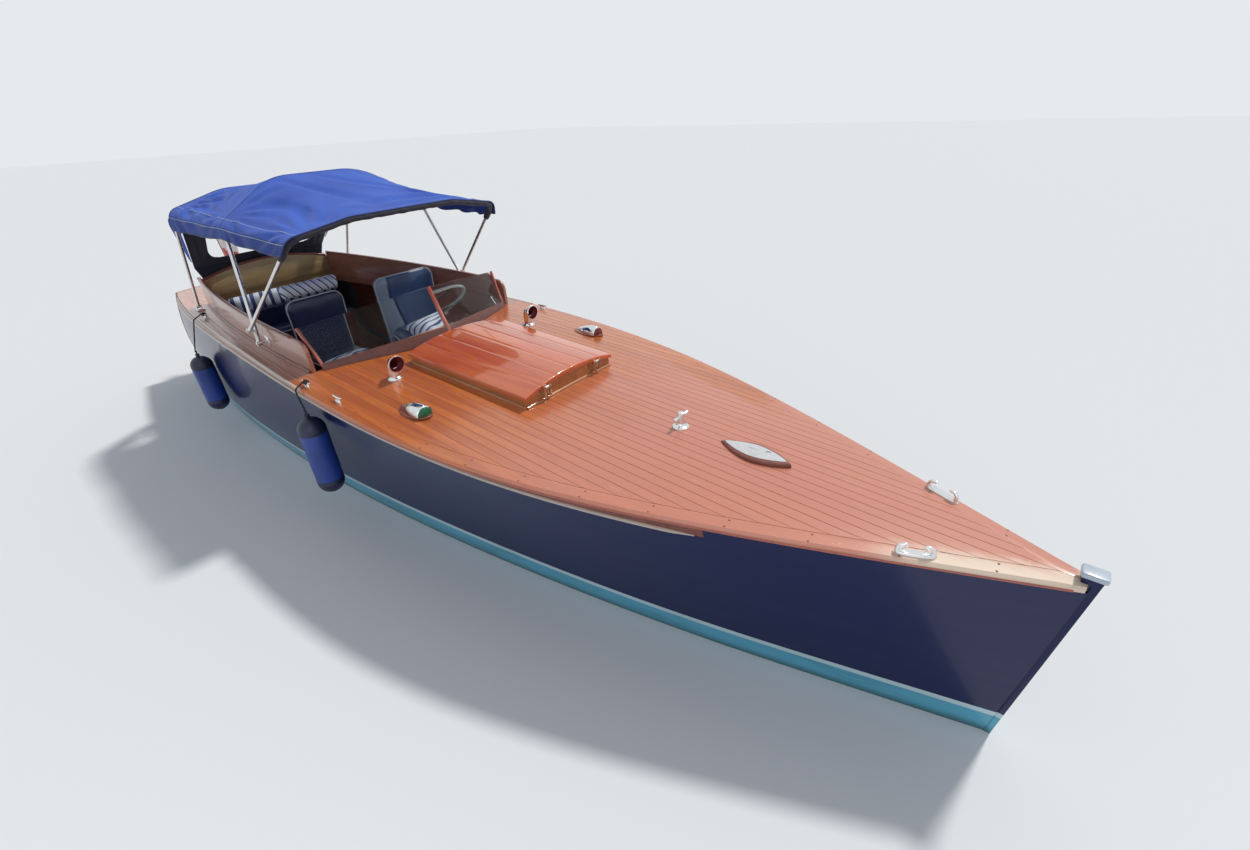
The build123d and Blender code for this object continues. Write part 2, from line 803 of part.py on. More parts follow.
def windscreen():
    """One side's board and pane, made to starboard and mirrored, and the posts."""
    base_side = (screen_base_side[0], -screen_base_side[1], screen_base_side[2])
    top_side = (screen_top_side[0], -screen_top_side[1], screen_top_side[2])
    origin = Vector(*screen_base_centre)
    along = (Vector(*base_side) - origin).normalized()
    normal = along.cross(Vector(*screen_top_centre) - origin).normalized()
    if normal.X < 0:
        normal = normal * -1
    up = normal.cross(along)
    if up.Z < 0:
        up = up * -1
    plane = Plane(origin=origin, x_dir=along, z_dir=along.cross(up))

    def flat(point):
        local = Vector(*point) - origin
        return (local.dot(plane.x_dir), local.dot(plane.y_dir))

    base_c, base_s = flat(screen_base_centre), flat(base_side)
    top_c, top_s = flat(screen_top_centre), flat(top_side)
    pane_points = [
        (base_c[0] + pane_edge_centre_low, base_c[1]),
        (base_s[0] - pane_edge_side, base_s[1]),
        (top_s[0] - pane_edge_side, top_s[1]),
        (top_c[0] + pane_edge_centre_top, top_c[1]),
    ]
    pane_face = plane * make_face(Polyline(*pane_points, close=True))
    pane = extrude(pane_face, amount=glass_thickness / 2, both=True)
    board_points = [
        (base_c[0], base_c[1]),
        (base_s[0], base_s[1]),
        (base_s[0], base_s[1] - screen_board_depth),
        (base_c[0], base_c[1] - screen_board_depth),
    ]
    board = extrude(
        plane * make_face(Polyline(*board_points, close=True)), amount=screen_board_thickness / 2, both=True
    )
    board = board - envelope
    board = max(board.solids(), key=lambda s: s.center().Z)
    centre_low = mix(screen_base_centre, screen_top_centre, -centre_post_root)
    centre_post = rod(centre_low, screen_top_centre, centre_post_radius) - envelope
    centre_post = max(centre_post.solids(), key=lambda s: s.center().Z)
    side_low = mix(base_side, top_side, -side_post_root)
    side_post = rod(side_low, top_side, side_post_radius) - envelope
    side_post = max(side_post.solids(), key=lambda s: s.center().Z)
    posts = [centre_post, side_post, mirrored(side_post)]
    panes = [pane, mirrored(pane)]
    boards = [board & zone(y=(-cutter_reach, 0))]
    boards.append(mirrored(boards[0]))
    for post in posts:
        panes = [p - post for p in panes]
        boards = [b - post for b in boards]
    panes = [max(p.solids(), key=lambda s: s.volume) for p in panes]
    boards = [max(b.solids(), key=lambda s: s.volume) for b in boards]
    return boards, posts, panes


def steering():
    centre = Vector(*wheel_centre)
    tilt = radians(wheel_tilt)
    axis = Vector(cos(tilt), 0, -sin(tilt))
    plane = Plane(origin=centre, x_dir=(0, 1, 0), z_dir=axis)
    rim = plane * Torus(wheel_radius, rim_radius)
    hub = rod(tuple(centre - axis * wheel_hub_aft), tuple(centre + axis * wheel_hub_front), wheel_hub_radius)
    column_start = centre + axis * (wheel_hub_front + column_gap)
    shaft_end = column_start + axis * wheel_shaft_inside
    shaft = rod(tuple(centre), tuple(shaft_end), wheel_shaft_radius)
    wheel = rim + hub + shaft
    for turn in spoke_angles:
        tip = plane.from_local_coords(
            Vector(wheel_radius * cos(radians(turn)), wheel_radius * sin(radians(turn)), 0)
        )
        wheel = wheel + rod(tuple(centre), tuple(tip), spoke_radius)
    reach = (dash_x - column_start.X) / axis.X
    column_end = column_start + axis * (reach + cutter_margin)
    column = rod(tuple(column_start), tuple(column_end), column_radius)
    column = column & zone(x=(-cutter_reach, dash_x))
    bore_start = column_start - axis * fuse_overlap
    bore = rod(tuple(bore_start), tuple(shaft_end + axis), wheel_shaft_radius + run_gap)
    return wheel, column - bore


def offset_corners(points, distance):
    """Corner points of an open outline (y, z) moved outwards."""
    moved = []
    for i, point in enumerate(points):
        normals = []
        for a, b in ((i - 1, i), (i, i + 1)):
            if 0 <= a and b < len(points):
                dy, dz = points[b][0] - points[a][0], points[b][1] - points[a][1]
                size = hypot(dy, dz)
                normals.append((dz / size, -dy / size))
        if len(normals) == 1:
            ny, nz = normals[0]
            scale = distance
        else:
            ny, nz = normals[0][0] + normals[1][0], normals[0][1] + normals[1][1]
            scale = distance / (1 + normals[0][0] * normals[1][0] + normals[0][1] * normals[1][1])
        moved.append((point[0] + ny * scale, point[1] + nz * scale))
    return moved


def hoop_tube(foot, hoop, radius):
    """A bent tube from the port foot over the crown to the starboard foot."""
    shoulder = (hoop["shoulder_x"], hoop["shoulder_half"], hoop["shoulder_z"])
    crown = (hoop["crown_x"], hoop["crown_half"], hoop["crown_z"])
    points = [foot, shoulder, crown]
    points += [(x, -y, z) for x, y, z in reversed(points)]
    path = FilletPolyline(*points, radius=[shoulder_radius, crown_radius, crown_radius, shoulder_radius])
    start = path @ 0
    profile = Plane(origin=start, z_dir=path % 0) * Circle(radius)
    return sweep(profile, path=path)


def canvas_section(hoop, distance, low_extra):
    """Closed outline of the canopy over one hoop, in the hoop's own leaning plane."""
    lean = (hoop["crown_x"] - hoop["shoulder_x"]) / (hoop["crown_z"] - hoop["shoulder_z"])
    flare = (hoop["skirt_half"] - hoop["shoulder_half"]) / (hoop["shoulder_z"] - hoop["skirt_z"])
    low_half = hoop["skirt_half"] + flare * low_extra
    outline = [
        (-low_half, hoop["skirt_z"] - low_extra),
        (-hoop["shoulder_half"], hoop["shoulder_z"]),
        (-hoop["crown_half"], hoop["crown_z"]),
        (hoop["crown_half"], hoop["crown_z"]),
        (hoop["shoulder_half"], hoop["shoulder_z"]),
        (low_half, hoop["skirt_z"] - low_extra),
    ]
    corners = offset_corners(list(reversed(outline)), distance)
    points = [(hoop["shoulder_x"] + lean * (z - hoop["shoulder_z"]), y, z) for y, z in corners]
    near, wide = canvas_shoulder_radius + distance, crown_radius + distance
    radii = [0.0, near, wide, wide, near, 0.0]
    return Wire(FilletPolyline(*points, radius=radii, close=True).edges())


def canopy():
    order = [hoops["front"], hoops["main"], hoops["aft"]]
    clear = tube_radius + canvas_clear
    outer = Solid.make_loft([canvas_section(hoop, clear + canvas_thickness, 0) for hoop in order], True)
    inner = Solid.make_loft([canvas_section(hoop, clear, 80) for hoop in order], True)
    canvas = outer - inner
    canvas = max(canvas.solids(), key=lambda s: s.volume)
    return canvas


def hoop_with_eyes(foot, hoop, radius):
    """A hoop with a flat eye for its pin at each foot."""
    bored = hoop_tube(foot, hoop, radius)
    half = hoop_eye_length / 2
    x, z = foot[0], foot[2]
    for y in (foot[1], -foot[1]):
        bored = bored + rod((x, y - half, z), (x, y + half, z), radius + hoop_eye_extra)
    for y in (foot[1], -foot[1]):
        bored = bored - rod((x, y - cutter_margin, z), (x, y + cutter_margin, z), hoop_pin_radius + run_gap)
    return bored


def main_feet():
    """A bracket on each coaming's outer face, with the pin that carries the main hoop."""
    x, y, z = main_foot
    face_y = coaming_half(x)
    half = foot_plate / 2
    plate_y = (face_y - fuse_overlap, face_y + foot_plate_thickness)
    plate = block((x - half, x + half), plate_y, (z - half, z + half))
    board = side_coamings()[0]
    plate = plate - board
    plate = max(plate.solids(), key=lambda s: s.center().Y)
    head_y = y + hoop_eye_length / 2 + pin_head_gap
    pin = rod((x, face_y, z), (x, head_y + pin_head_thickness / 2, z), hoop_pin_radius)
    head = rod((x, head_y, z), (x, head_y + pin_head_thickness, z), hoop_pin_radius + pin_head_extra)
    foot = plate + (pin - board) + head
    foot = max(foot.solids(), key=lambda s: s.volume)
    return [foot, mirrored(foot)]


def aft_feet():
    """A foot on each side deck, with two ears and the pin that carries the aft hoop."""
    x, y, z = aft_foot
    half = hoop_eye_length / 2 + pin_head_gap
    wide = half + aft_ear + aft_base_margin
    base_z = (z - aft_base_depth, z - aft_base_top)
    base = block((x - aft_base_half, x + aft_base_half), (y - wide, y + wide), base_z)
    base = base - envelope
    foot = max(base.solids(), key=lambda s: s.center().Z)
    for low in (-half - aft_ear, half):
        foot = foot + block(
            (x - aft_ear_half, x + aft_ear_half),
            (y + low, y + low + aft_ear),
            (z - aft_base_top - pin_head_extra, z + aft_ear_rise),
        )
    foot = foot + rod((x, y - half - aft_ear, z), (x, y + half + aft_ear, z), hoop_pin_radius)
    return [foot, mirrored(foot)]


def front_foot():
    """The front hoop's foot on the main hoop's leg: it stands outboard of that leg."""
    leg = Vector(hoops["main"]["shoulder_x"], hoops["main"]["shoulder_half"], hoops["main"]["shoulder_z"])
    start = Vector(*main_foot)
    at = start + (leg - start).normalized() * front_pivot_up_leg
    return (at.X, at.Y + tube_radius + front_stud_gap + hoop_eye_length / 2, at.Z)


def main_hoop_with_studs():
    """The main hoop, with a stud on each leg that carries the front hoop."""
    hoop = hoop_with_eyes(main_foot, hoops["main"], tube_radius)
    x, y, z = front_foot()
    inner = y - hoop_eye_length / 2 - tube_radius - front_stud_gap
    head = y + hoop_eye_length / 2 + pin_head_gap
    tip = head + pin_head_thickness
    for side in (1, -1):
        hoop = hoop + rod((x, side * inner, z), (x, side * tip, z), hoop_pin_radius)
        hoop = hoop + rod((x, side * head, z), (x, side * tip, z), hoop_pin_radius + pin_head_extra)
    return hoop


def curtain():
    """Two side columns and a lower band, from the canopy's aft edge to behind the aft board."""
    back = cockpit_aft_x - soft_gap
    t = curtain_thickness
    profile = [
        curtain_top,
        (back, curtain_bottom_z),
        (back, curtain_flap_z),
        (back - t, curtain_flap_z),
        (back - t, curtain_bottom_z),
        (curtain_top[0] - t, curtain_top[1]),
    ]
    sheet = plate_xz(profile, curtain_top_half)
    top = curtain_top[1]
    flap_half = curtain_bottom_half - curtain_flap_inset
    outline = [
        (-curtain_top_half, top + 1),
        (curtain_top_half, top + 1),
        (curtain_bottom_half, curtain_bottom_z),
        (flap_half, curtain_flap_z - 1),
        (-flap_half, curtain_flap_z - 1),
        (-curtain_bottom_half, curtain_bottom_z),
    ]
    along = Plane.YZ * make_face(Polyline(*outline, close=True))
    sheet = sheet & extrude(along, amount=cutter_reach, both=True)
    half_top = curtain_top_half - curtain_column
    half_low = curtain_bottom_half - curtain_column_low
    sill = curtain_bottom_z + curtain_band
    window = Plane.YZ * FilletPolyline(
        (-half_top, top - curtain_window_top),
        (-half_low, sill),
        (half_low, sill),
        (half_top, top - curtain_window_top),
        radius=[0.0, curtain_window_round, curtain_window_round, 0.0],
        close=True,
    )
    return sheet - extrude(make_face(window), amount=cutter_reach, both=True)


def vent(side):
    x, y, z = vent_at[0], side * vent_at[1], vent_mouth_z
    floor = deck_top(x, y)
    root = floor - root_depth
    pipe = rod((x, y, root), (x, y, z), vent_pipe_radius)
    elbow = Pos(x, y, z) * Sphere(vent_elbow_radius)
    mouth_plane = Plane(origin=(x, y, z), x_dir=(0, 1, 0), z_dir=(1, 0, 0))
    bell = Solid.make_cone(vent_throat, vent_mouth_radius, vent_bell_length, mouth_plane)
    lip = rod((x + vent_lip_x[0], y, z), (x + vent_lip_x[1], y, z), vent_mouth_radius + vent_lip_extra)
    body = pipe + elbow + bell + lip
    hollow_plane = Plane(origin=(x + vent_hollow_x[0], y, z), x_dir=(0, 1, 0), z_dir=(1, 0, 0))
    hollow = Solid.make_cone(
        vent_pipe_radius - vent_mouth_wall,
        vent_mouth_radius - vent_mouth_wall,
        vent_hollow_x[1] - vent_hollow_x[0],
        hollow_plane,
    )
    drain = rod((x, y, floor + vent_drain_floor), (x, y, z), vent_pipe_radius - vent_mouth_wall)
    inner_elbow = Pos(x, y, z) * Sphere(vent_elbow_inner)
    flange = rod((x, y, root), (x, y, floor + vent_flange_height), vent_pipe_radius + vent_flange_extra)
    body = (body - hollow - drain - inner_elbow + flange) - envelope
    return max(body.solids(), key=lambda s: s.volume)


def side_lamp(side):
    x, y = lamp_at[0], side * lamp_at[1]
    floor = deck_top(x, y)
    pad_face = Ellipse(lamp_length / 2 + lamp_pad_margin, lamp_radius + lamp_pad_margin)
    pad = Pos(x, y, floor - root_depth) * extrude(pad_face, amount=root_depth + lamp_pad)
    pad = pad - envelope
    pad = max(pad.solids(), key=lambda s: s.center().Z)
    seat = floor + lamp_pad
    tail = x - lamp_length / 2
    rim = x + lamp_length / 2 - lamp_glass
    profile = Wire(
        [
            Line((tail, 0), (rim, 0)),
            Line((rim, 0), (rim, lamp_radius)),
            ThreePointArc((rim, lamp_radius), (x + lamp_shoulder_x, lamp_shoulder_radius), (tail, 0)),
        ]
    )
    hood = revolve(make_face(profile), axis=Axis.X, revolution_arc=360)
    lens_plane = Plane(origin=(rim, 0, 0), z_dir=(1, 0, 0))
    lens = Solid.make_cylinder(lamp_radius - lamp_glass_inset, lamp_glass_proud, lens_plane)
    upper = zone(z=(0, cutter_reach))
    hood = Pos(0, y, seat) * (hood & upper)
    lens = Pos(0, y, seat) * (lens & upper)
    return pad, hood, lens


def bollard():
    x, floor = bollard_x, deck_top(bollard_x, 0)
    root = (x, 0, floor - root_depth)
    post = rod(root, (x, 0, floor + bollard_height), bollard_radius)
    flange = rod(root, (x, 0, floor + bollard_flange_height), bollard_radius + bollard_flange_extra)
    half, bar_z = bollard_bar_length / 2, floor + bollard_bar_rise
    bar = rod((x, -half, bar_z), (x, half, bar_z), bollard_bar_radius)
    body = (post + flange + bar) - envelope
    return max(body.solids(), key=lambda s: s.volume)


def bow_pad():
    floor = deck_top(pad_x, 0)
    wood_face = Ellipse(pad_length / 2, pad_width / 2)
    metal_face = Ellipse(pad_length / 2 - pad_metal_inset[0], pad_width / 2 - pad_metal_inset[1])
    wood = Pos(pad_x, 0, floor - root_depth) * extrude(wood_face, amount=root_depth + pad_wood)
    wood = max((wood - envelope).solids(), key=lambda s: s.center().Z)
    metal = Pos(pad_x, 0, floor + pad_wood) * extrude(metal_face, amount=pad_metal)
    return wood, metal


def fairleads():
    x, y = fairlead_at
    half_x, half_y = fairlead_half
    near, far = fairlead_jaw_x
    jaw_y = (-fairlead_jaw_half, fairlead_jaw_half)
    one = block((-half_x, half_x), (-half_y, half_y), (-root_depth, fairlead_base))
    for jaw_x in ((-far, -near), (near, far)):
        one = one + block(jaw_x, jaw_y, (0, fairlead_jaw_height))
    one = Pos(x, y, deck_top(x, y)) * Rot(0, 0, -fairlead_turn) * one
    one = one - envelope
    one = max(one.solids(), key=lambda s: s.volume)
    return one, mirrored(one)


def cleats():
    made = []
    for x, y in side_cleats:
        floor = deck_top(x, y)
        top = floor + cleat_height
        base = block(
            (x - cleat_base_half, x + cleat_base_half),
            (y - cleat_width / 2, y + cleat_width / 2),
            (floor - root_depth, top),
        )
        horn = rod((x - cleat_length / 2, y, top), (x + cleat_length / 2, y, top), cleat_horn_radius)
        one = (base + horn) - envelope
        made.append(max(one.solids(), key=lambda s: s.volume))
    return made


def hull_half(x, z):
    """Half-breadth of the hull's side at a point, between the stations."""
    rows = sorted(stations, key=lambda row: row["x_wl"])
    for low, high in zip(rows, rows[1:]):
        if low["x_wl"] <= x <= high["x_wl"]:
            share = (x - low["x_wl"]) / (high["x_wl"] - low["x_wl"])
            return side_at(low, z) + (side_at(high, z) - side_at(low, z)) * share
    return side_at(rows[0], z)


def fender_set():
    bodies, lanyards = [], []
    for row in fenders:
        x, radius, top, side = row["x"], row["radius"], row["top_z"], row["side"]
        widest = max(hull_half(x, top - row["length"] * share) for share in (0.1, 0.3, 0.5, 0.9))
        y = side * (widest + radius + fender_clear)
        low = top - row["length"]
        body = rod((x, y, low + radius), (x, y, top - radius), radius)
        body = body + Pos(x, y, top - radius) * Sphere(radius) + Pos(x, y, low + radius) * Sphere(radius)
        neck = rod((x, y, top - fuse_overlap), (x, y, top + fender_neck), fender_neck_radius)
        bodies.append(body + neck)
        home_x, home_y = min(side_cleats, key=lambda spot: hypot(spot[0] - x, spot[1] - y))
        edge_z = deck_top(home_x, home_y)
        edge = hull_half(x, edge_z) + lanyard_clear
        route = [
            (x, y, top + fender_neck + soft_gap),
            (x, y, top + fender_neck + lanyard_start),
            (x, side * max(edge, abs(y) - radius), edge_z + lanyard_over_edge),
            (home_x, home_y, edge_z + cleat_height + cleat_horn_radius + lanyard_knot + soft_gap),
        ]
        line = rod(route[0], route[1], lanyard_radius)
        for start, end in zip(route[1:], route[2:]):
            line = line + rod(start, end, lanyard_radius) + Pos(*start) * Sphere(lanyard_radius)
        lanyards.append(line + Pos(*route[-1]) * Sphere(lanyard_knot))
    return bodies, lanyards


def ensign():
    floor = deck_top(staff_foot_x, 0)
    lean = radians(staff_lean)
    start = (staff_foot_x, 0, floor + staff_above_deck)

    def along(length):
        return (start[0] - length * sin(lean), 0, start[2] + length * cos(lean))

    end = along(staff_length)
    staff = rod(start, end, staff_radius) + Pos(*end) * Sphere(staff_radius + staff_knob_extra)
    socket = rod(along(-staff_socket_root), along(staff_socket_height), staff_socket_radius)
    socket = socket - rod(start, end, staff_radius + run_gap)
    socket = socket - envelope
    socket = max(socket.solids(), key=lambda s: s.center().Z)
    top = along(flag_top_share * staff_length)
    bottom = along(flag_top_share * staff_length - flag_size[1])
    fore = Vector(1, 0, 0)
    near = (staff_radius + soft_gap) / cos(lean)
    corners = [
        Vector(*bottom) + fore * near,
        Vector(*top) + fore * near,
        Vector(*top) + fore * (near + flag_size[0]),
        Vector(*bottom) + fore * (near + flag_size[0]),
    ]
    flag = plate_xz([(c.X, c.Z) for c in corners], flag_thickness / 2)
    return staff, socket, flag


# Hull pieces
deck_opening = plan_prism(cockpit_outline(0), 0, cutter_reach)
hatch_coaming, hatch_lid, hatch_hole = hatch()
stem, keel = stem_and_keel()
rudder_body = rudder()
stock_hole = rod((rudder_x, 0, -cutter_reach), (rudder_x, 0, 0), stock_radius + run_gap)
planking = (shell & below_rail) - stock_hole
sheer = shell - below_rail
front_deck = (deck_body & zone(x=(cockpit_front_x, cutter_reach))) - hatch_hole
side_deck = (deck_body & zone(x=(cockpit_aft_x, cockpit_front_x))) - deck_opening
aft_deck = deck_body & zone(x=(-cutter_reach, cockpit_aft_x))
transom = Solid.extrude(Face(section_face(stations[0], 0)), Vector(-transom_thickness, 0, 0))

bottoms, sides = [], []
for half in ((run_gap, cutter_reach), (-cutter_reach, -run_gap)):
    bottom = planking & zone(y=half, z=(-cutter_reach, topsides_low_z))
    side = planking & zone(y=half, z=(topsides_low_z, cutter_reach))
    bottoms.append(max(bottom.solids(), key=lambda s: s.volume))
    sides.append(max(side.solids(), key=lambda s: s.volume))
save("bottom_shell", *bottoms)
save("topsides", *sides)
save("sheer_strakes", sheer)
save("rub_rails", *rub_rail())
save("stem", stem)
save("stem_cap", stem_cap())
save("keel", keel)
save("transom", transom)
save("foredeck", front_deck)
save("side_decks", side_deck)
save("aft_deck", aft_deck)

# Inside
sole = inside & zone(x=(bench_aft_x - sole_behind_bench, bulkhead_x), z=(sole_z - sole_thickness, sole_z))
bulkhead = (inside & below_deck) & zone(x=(bulkhead_x, bulkhead_x + bulkhead_thickness))
save("sole", sole)
save("bulkhead", bulkhead)
bearers = []
for low in (-engine_half, engine_half - bearer_width):
    bearer_x = (engine_x[0] - bearer_past_engine, engine_x[1] + bearer_past_engine)
    bearers.append(inside & zone(x=bearer_x, y=(low, low + bearer_width), z=(-cutter_reach, engine_z[0])))
save("engine_bearers", *bearers)
save("engine", block(engine_x, (-engine_half, engine_half), engine_z))
save("propeller", propeller())
save("rudder", rudder_body)

# Cockpit
save("side_coamings", *side_coamings())
save("aft_coaming", aft_coaming())
dash = block((dash_x, dash_x + dash_thickness), (-dash_half, dash_half), (dash_bottom_z, cutter_reach))
save("dashboard", dash & below_deck)
wheel, column = steering()
save("steering_wheel", wheel)
save("steering_column", column)

bases, cushions, backs = [], [], []
for side, outer in ((1, helm_outer_y), (-1, mate_outer_y)):
    near, far = sorted((side * seat_inner_y, side * outer))
    inset = seat_base_inset
    base_y = (near + inset, far - inset)
    bases.append(block((seat_back_x, seat_front_x - inset), base_y, (sole_z, seat_cushion_z)))
    cushion = block(
        (seat_back_x + soft_gap, seat_front_x),
        (near, far),
        (seat_cushion_z + soft_gap, seat_cushion_z + seat_cushion_height),
    )
    cushions.append(fillet(cushion.edges().filter_by(Axis.Y), seat_cushion_round))
    back = block((seat_back_x - seat_back_thickness, seat_back_x), (near, far), (sole_z, seat_back_top_z))
    backs.append(fillet(back.edges().filter_by(Axis.X).group_by(Axis.Z)[-1], seat_back_round))
save("front_seat_bases", *bases)
save("front_seat_cushions", *cushions)
save("front_seat_backs", *backs)
roll_x = seat_back_x - seat_back_thickness / 2
roll_y = (-mate_outer_y + roll_end_inset, -seat_inner_y - roll_end_inset)
roll_z = seat_back_top_z + roll_diameter / 2 + soft_gap
save("front_seat_roll", rod((roll_x, roll_y[0], roll_z), (roll_x, roll_y[1], roll_z), roll_diameter / 2))
save("bench_base", block((bench_aft_x, bench_front_x), (-bench_half, bench_half), (sole_z, bench_cushion_z)))
save(
    "bench_cushion",
    block(
        (bench_back_x + bench_back_thickness / 2 + soft_gap, bench_front_x + bench_overhang),
        (-bench_half, bench_half),
        (bench_cushion_z + soft_gap, bench_cushion_z + bench_cushion_height),
    ),
)
bench_back = block(
    (bench_back_x - bench_back_thickness / 2, bench_back_x + bench_back_thickness / 2),
    (-bench_half, bench_half),
    (bench_cushion_z, bench_back_top_z),
)
save("bench_back", fillet(bench_back.edges().filter_by(Axis.Y).group_by(Axis.Z)[-1], bench_back_round))

# Windscreen and hatch
boards, posts, panes = windscreen()
save("windscreen_boards", *boards)
save("windscreen_posts", *posts)
save("windscreen_panes", *panes)
save("hatch_coaming", hatch_coaming)
save("hatch_lid", hatch_lid)

# Canopy
save("canopy_feet", *main_feet())
save("canopy_aft_feet", *aft_feet())
save("canopy_main_hoop", main_hoop_with_studs())
save("canopy_front_hoop", hoop_with_eyes(front_foot(), hoops["front"], front_tube_radius))
save("canopy_aft_hoop", hoop_with_eyes(aft_foot, hoops["aft"], front_tube_radius))
save("canopy_canvas", canopy())
save("aft_curtain", curtain())

# Fittings
save("cowl_vents", vent(1), vent(-1))
lamps = [side_lamp(1), side_lamp(-1)]
save("lamp_pads", *[lamp[0] for lamp in lamps])
save("side_lamps", *[lamp[1] for lamp in lamps])
save("lamp_lenses", *[lamp[2] for lamp in lamps])
save("bollard", bollard())
wood, metal = bow_pad()
save("bow_pad", wood)
save("bow_fitting", metal)
save("fairleads", *fairleads())
save("side_cleats", *cleats())
fender_bodies, lanyard_bodies = fender_set()
save("fenders", *fender_bodies)
save("fender_lanyards", *lanyard_bodies)
staff, socket, flag = ensign()
save("ensign_staff", staff)
save("staff_socket", socket)
save("ensign", flag)
print("hull length", stations[-1]["x_deck"] - stations[0]["x_deck"])
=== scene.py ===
import json
import math

import bmesh
import bpy
import numpy as np
from mathutils import Matrix, Vector
from mathutils.bvhtree import BVHTree

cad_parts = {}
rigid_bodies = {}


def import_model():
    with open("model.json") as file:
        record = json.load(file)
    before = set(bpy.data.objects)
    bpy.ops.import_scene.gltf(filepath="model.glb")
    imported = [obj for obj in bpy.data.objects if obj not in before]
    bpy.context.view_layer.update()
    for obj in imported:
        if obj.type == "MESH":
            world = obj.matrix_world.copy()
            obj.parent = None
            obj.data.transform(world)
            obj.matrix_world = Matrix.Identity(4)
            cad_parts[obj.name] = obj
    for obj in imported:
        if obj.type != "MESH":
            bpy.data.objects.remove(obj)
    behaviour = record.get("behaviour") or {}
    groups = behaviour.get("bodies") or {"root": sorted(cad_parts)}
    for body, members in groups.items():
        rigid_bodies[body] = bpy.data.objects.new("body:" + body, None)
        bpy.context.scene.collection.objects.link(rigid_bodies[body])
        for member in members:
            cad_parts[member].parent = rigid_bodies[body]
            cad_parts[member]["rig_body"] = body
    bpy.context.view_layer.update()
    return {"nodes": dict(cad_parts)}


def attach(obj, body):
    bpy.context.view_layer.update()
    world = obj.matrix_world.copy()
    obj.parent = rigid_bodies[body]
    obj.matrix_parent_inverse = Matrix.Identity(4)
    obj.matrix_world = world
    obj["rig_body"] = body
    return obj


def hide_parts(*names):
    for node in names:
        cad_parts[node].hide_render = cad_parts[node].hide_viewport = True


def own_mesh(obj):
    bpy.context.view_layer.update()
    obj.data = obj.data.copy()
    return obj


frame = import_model()
cadNodes = frame["nodes"]
bodyOf = {node: cadNodes[node]["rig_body"] for node in cadNodes}
print("stage: frame loaded,", len(cadNodes), "nodes")

# Camera, floor and light
cameraSettings = {
    "place": (3.101, -1.840, 2.200),
    "right": (0.78615, 0.61692, -0.03724),
    "down": (0.28684, -0.41752, -0.86210),
    "forward": (-0.54744, 0.66712, -0.50523),
    "lens": 15.653,
    "sensor": 36.0,
}
lightSettings = {
    "skyStrength": 0.46,
    "skyColour": (0.86, 0.92, 1.0),
    "backdrop": (0.80, 0.82, 0.84),
    "sunStrength": 2.05,
    "sunAngle": 5.0,
    "sunFrom": (0.25, 0.80, 1.25),
    "fillPower": 30.0,
    "fillPlace": (4.5, -5.0, 4.0),
    "fillSize": 4.0,
}


def addCamera(settings):
    data = bpy.data.cameras.new("viewCamera")
    data.lens = settings["lens"]
    data.sensor_width = settings["sensor"]
    data.sensor_fit = "HORIZONTAL"
    data.clip_start, data.clip_end = 0.05, 200.0
    camera = bpy.data.objects.new("viewCamera", data)
    bpy.context.scene.collection.objects.link(camera)
    right, down, forward = (Vector(settings[k]) for k in ("right", "down", "forward"))
    turn = Matrix((right, -down, -forward)).transposed()
    camera.matrix_world = Matrix.Translation(settings["place"]) @ turn.to_4x4()
    bpy.context.scene.camera = camera
    return camera


# Node helpers
def plug(tree, socket, value):
    if isinstance(value, bpy.types.NodeSocket):
        tree.links.new(value, socket)
    else:
        socket.default_value = value


def add(tree, kind, inputs=None, **settings):
    made = tree.nodes.new(kind)
    for key, value in settings.items():
        setattr(made, key, value)
    for key, value in (inputs or {}).items():
        plug(tree, made.inputs[key], value)
    return made


def rgba(colour):
    return (*colour[:3], 1.0)


def mixColour(tree, factor, first, second, blend="MIX"):
    made = add(tree, "ShaderNodeMix", data_type="RGBA", blend_type=blend)
    plug(tree, made.inputs[0], factor)
    for slot, colour in ((6, first), (7, second)):
        plug(tree, made.inputs[slot], rgba(colour) if isinstance(colour, tuple) else colour)
    return made.outputs[2]


def calc(tree, operation, first, second=0.0, third=None, clamp=False):
    made = add(tree, "ShaderNodeMath", {0: first, 1: second}, operation=operation, use_clamp=clamp)
    if third is not None:
        plug(tree, made.inputs[2], third)
    return made.outputs[0]


def between(tree, value, low, high, first=0.0, second=1.0):
    made = add(
        tree,
        "ShaderNodeMapRange",
        {"Value": value, "From Min": low, "From Max": high, "To Min": first, "To Max": second},
        interpolation_type="SMOOTHSTEP",
    )
    return made.outputs["Result"]


def noise(tree, vector, scale, detail=3.0, roughness=0.5, distortion=0.0):
    made = add(
        tree, "ShaderNodeTexNoise",
        {
            "Vector": vector, "Scale": scale, "Detail": detail, "Roughness": roughness,
            "Distortion": distortion
        }
    )
    return made.outputs["Fac"]


def scaled(tree, vector, scale, place=(0.0, 0.0, 0.0)):
    made = add(tree, "ShaderNodeMapping", {"Vector": vector, "Scale": scale, "Location": place})
    return made.outputs["Vector"]


def objectCoordinates(tree):
    return add(tree, "ShaderNodeTexCoord").outputs["Object"]


def split(tree, vector):
    return add(tree, "ShaderNodeSeparateXYZ", {"Vector": vector}).outputs


def bumped(tree, height, strength, distance):
    made = add(tree, "ShaderNodeBump", {"Height": height, "Strength": strength, "Distance": distance})
    return made.outputs["Normal"]


def newMaterial(name, **surface):
    material = bpy.data.materials.new(name)
    material.use_nodes = True
    tree = material.node_tree
    shader = tree.nodes["Principled BSDF"]
    for key, value in surface.items():
        socket = shader.inputs[key.replace("_", " ")]
        socket.default_value = rgba(value) if isinstance(value, tuple) else value
    return material, tree, shader


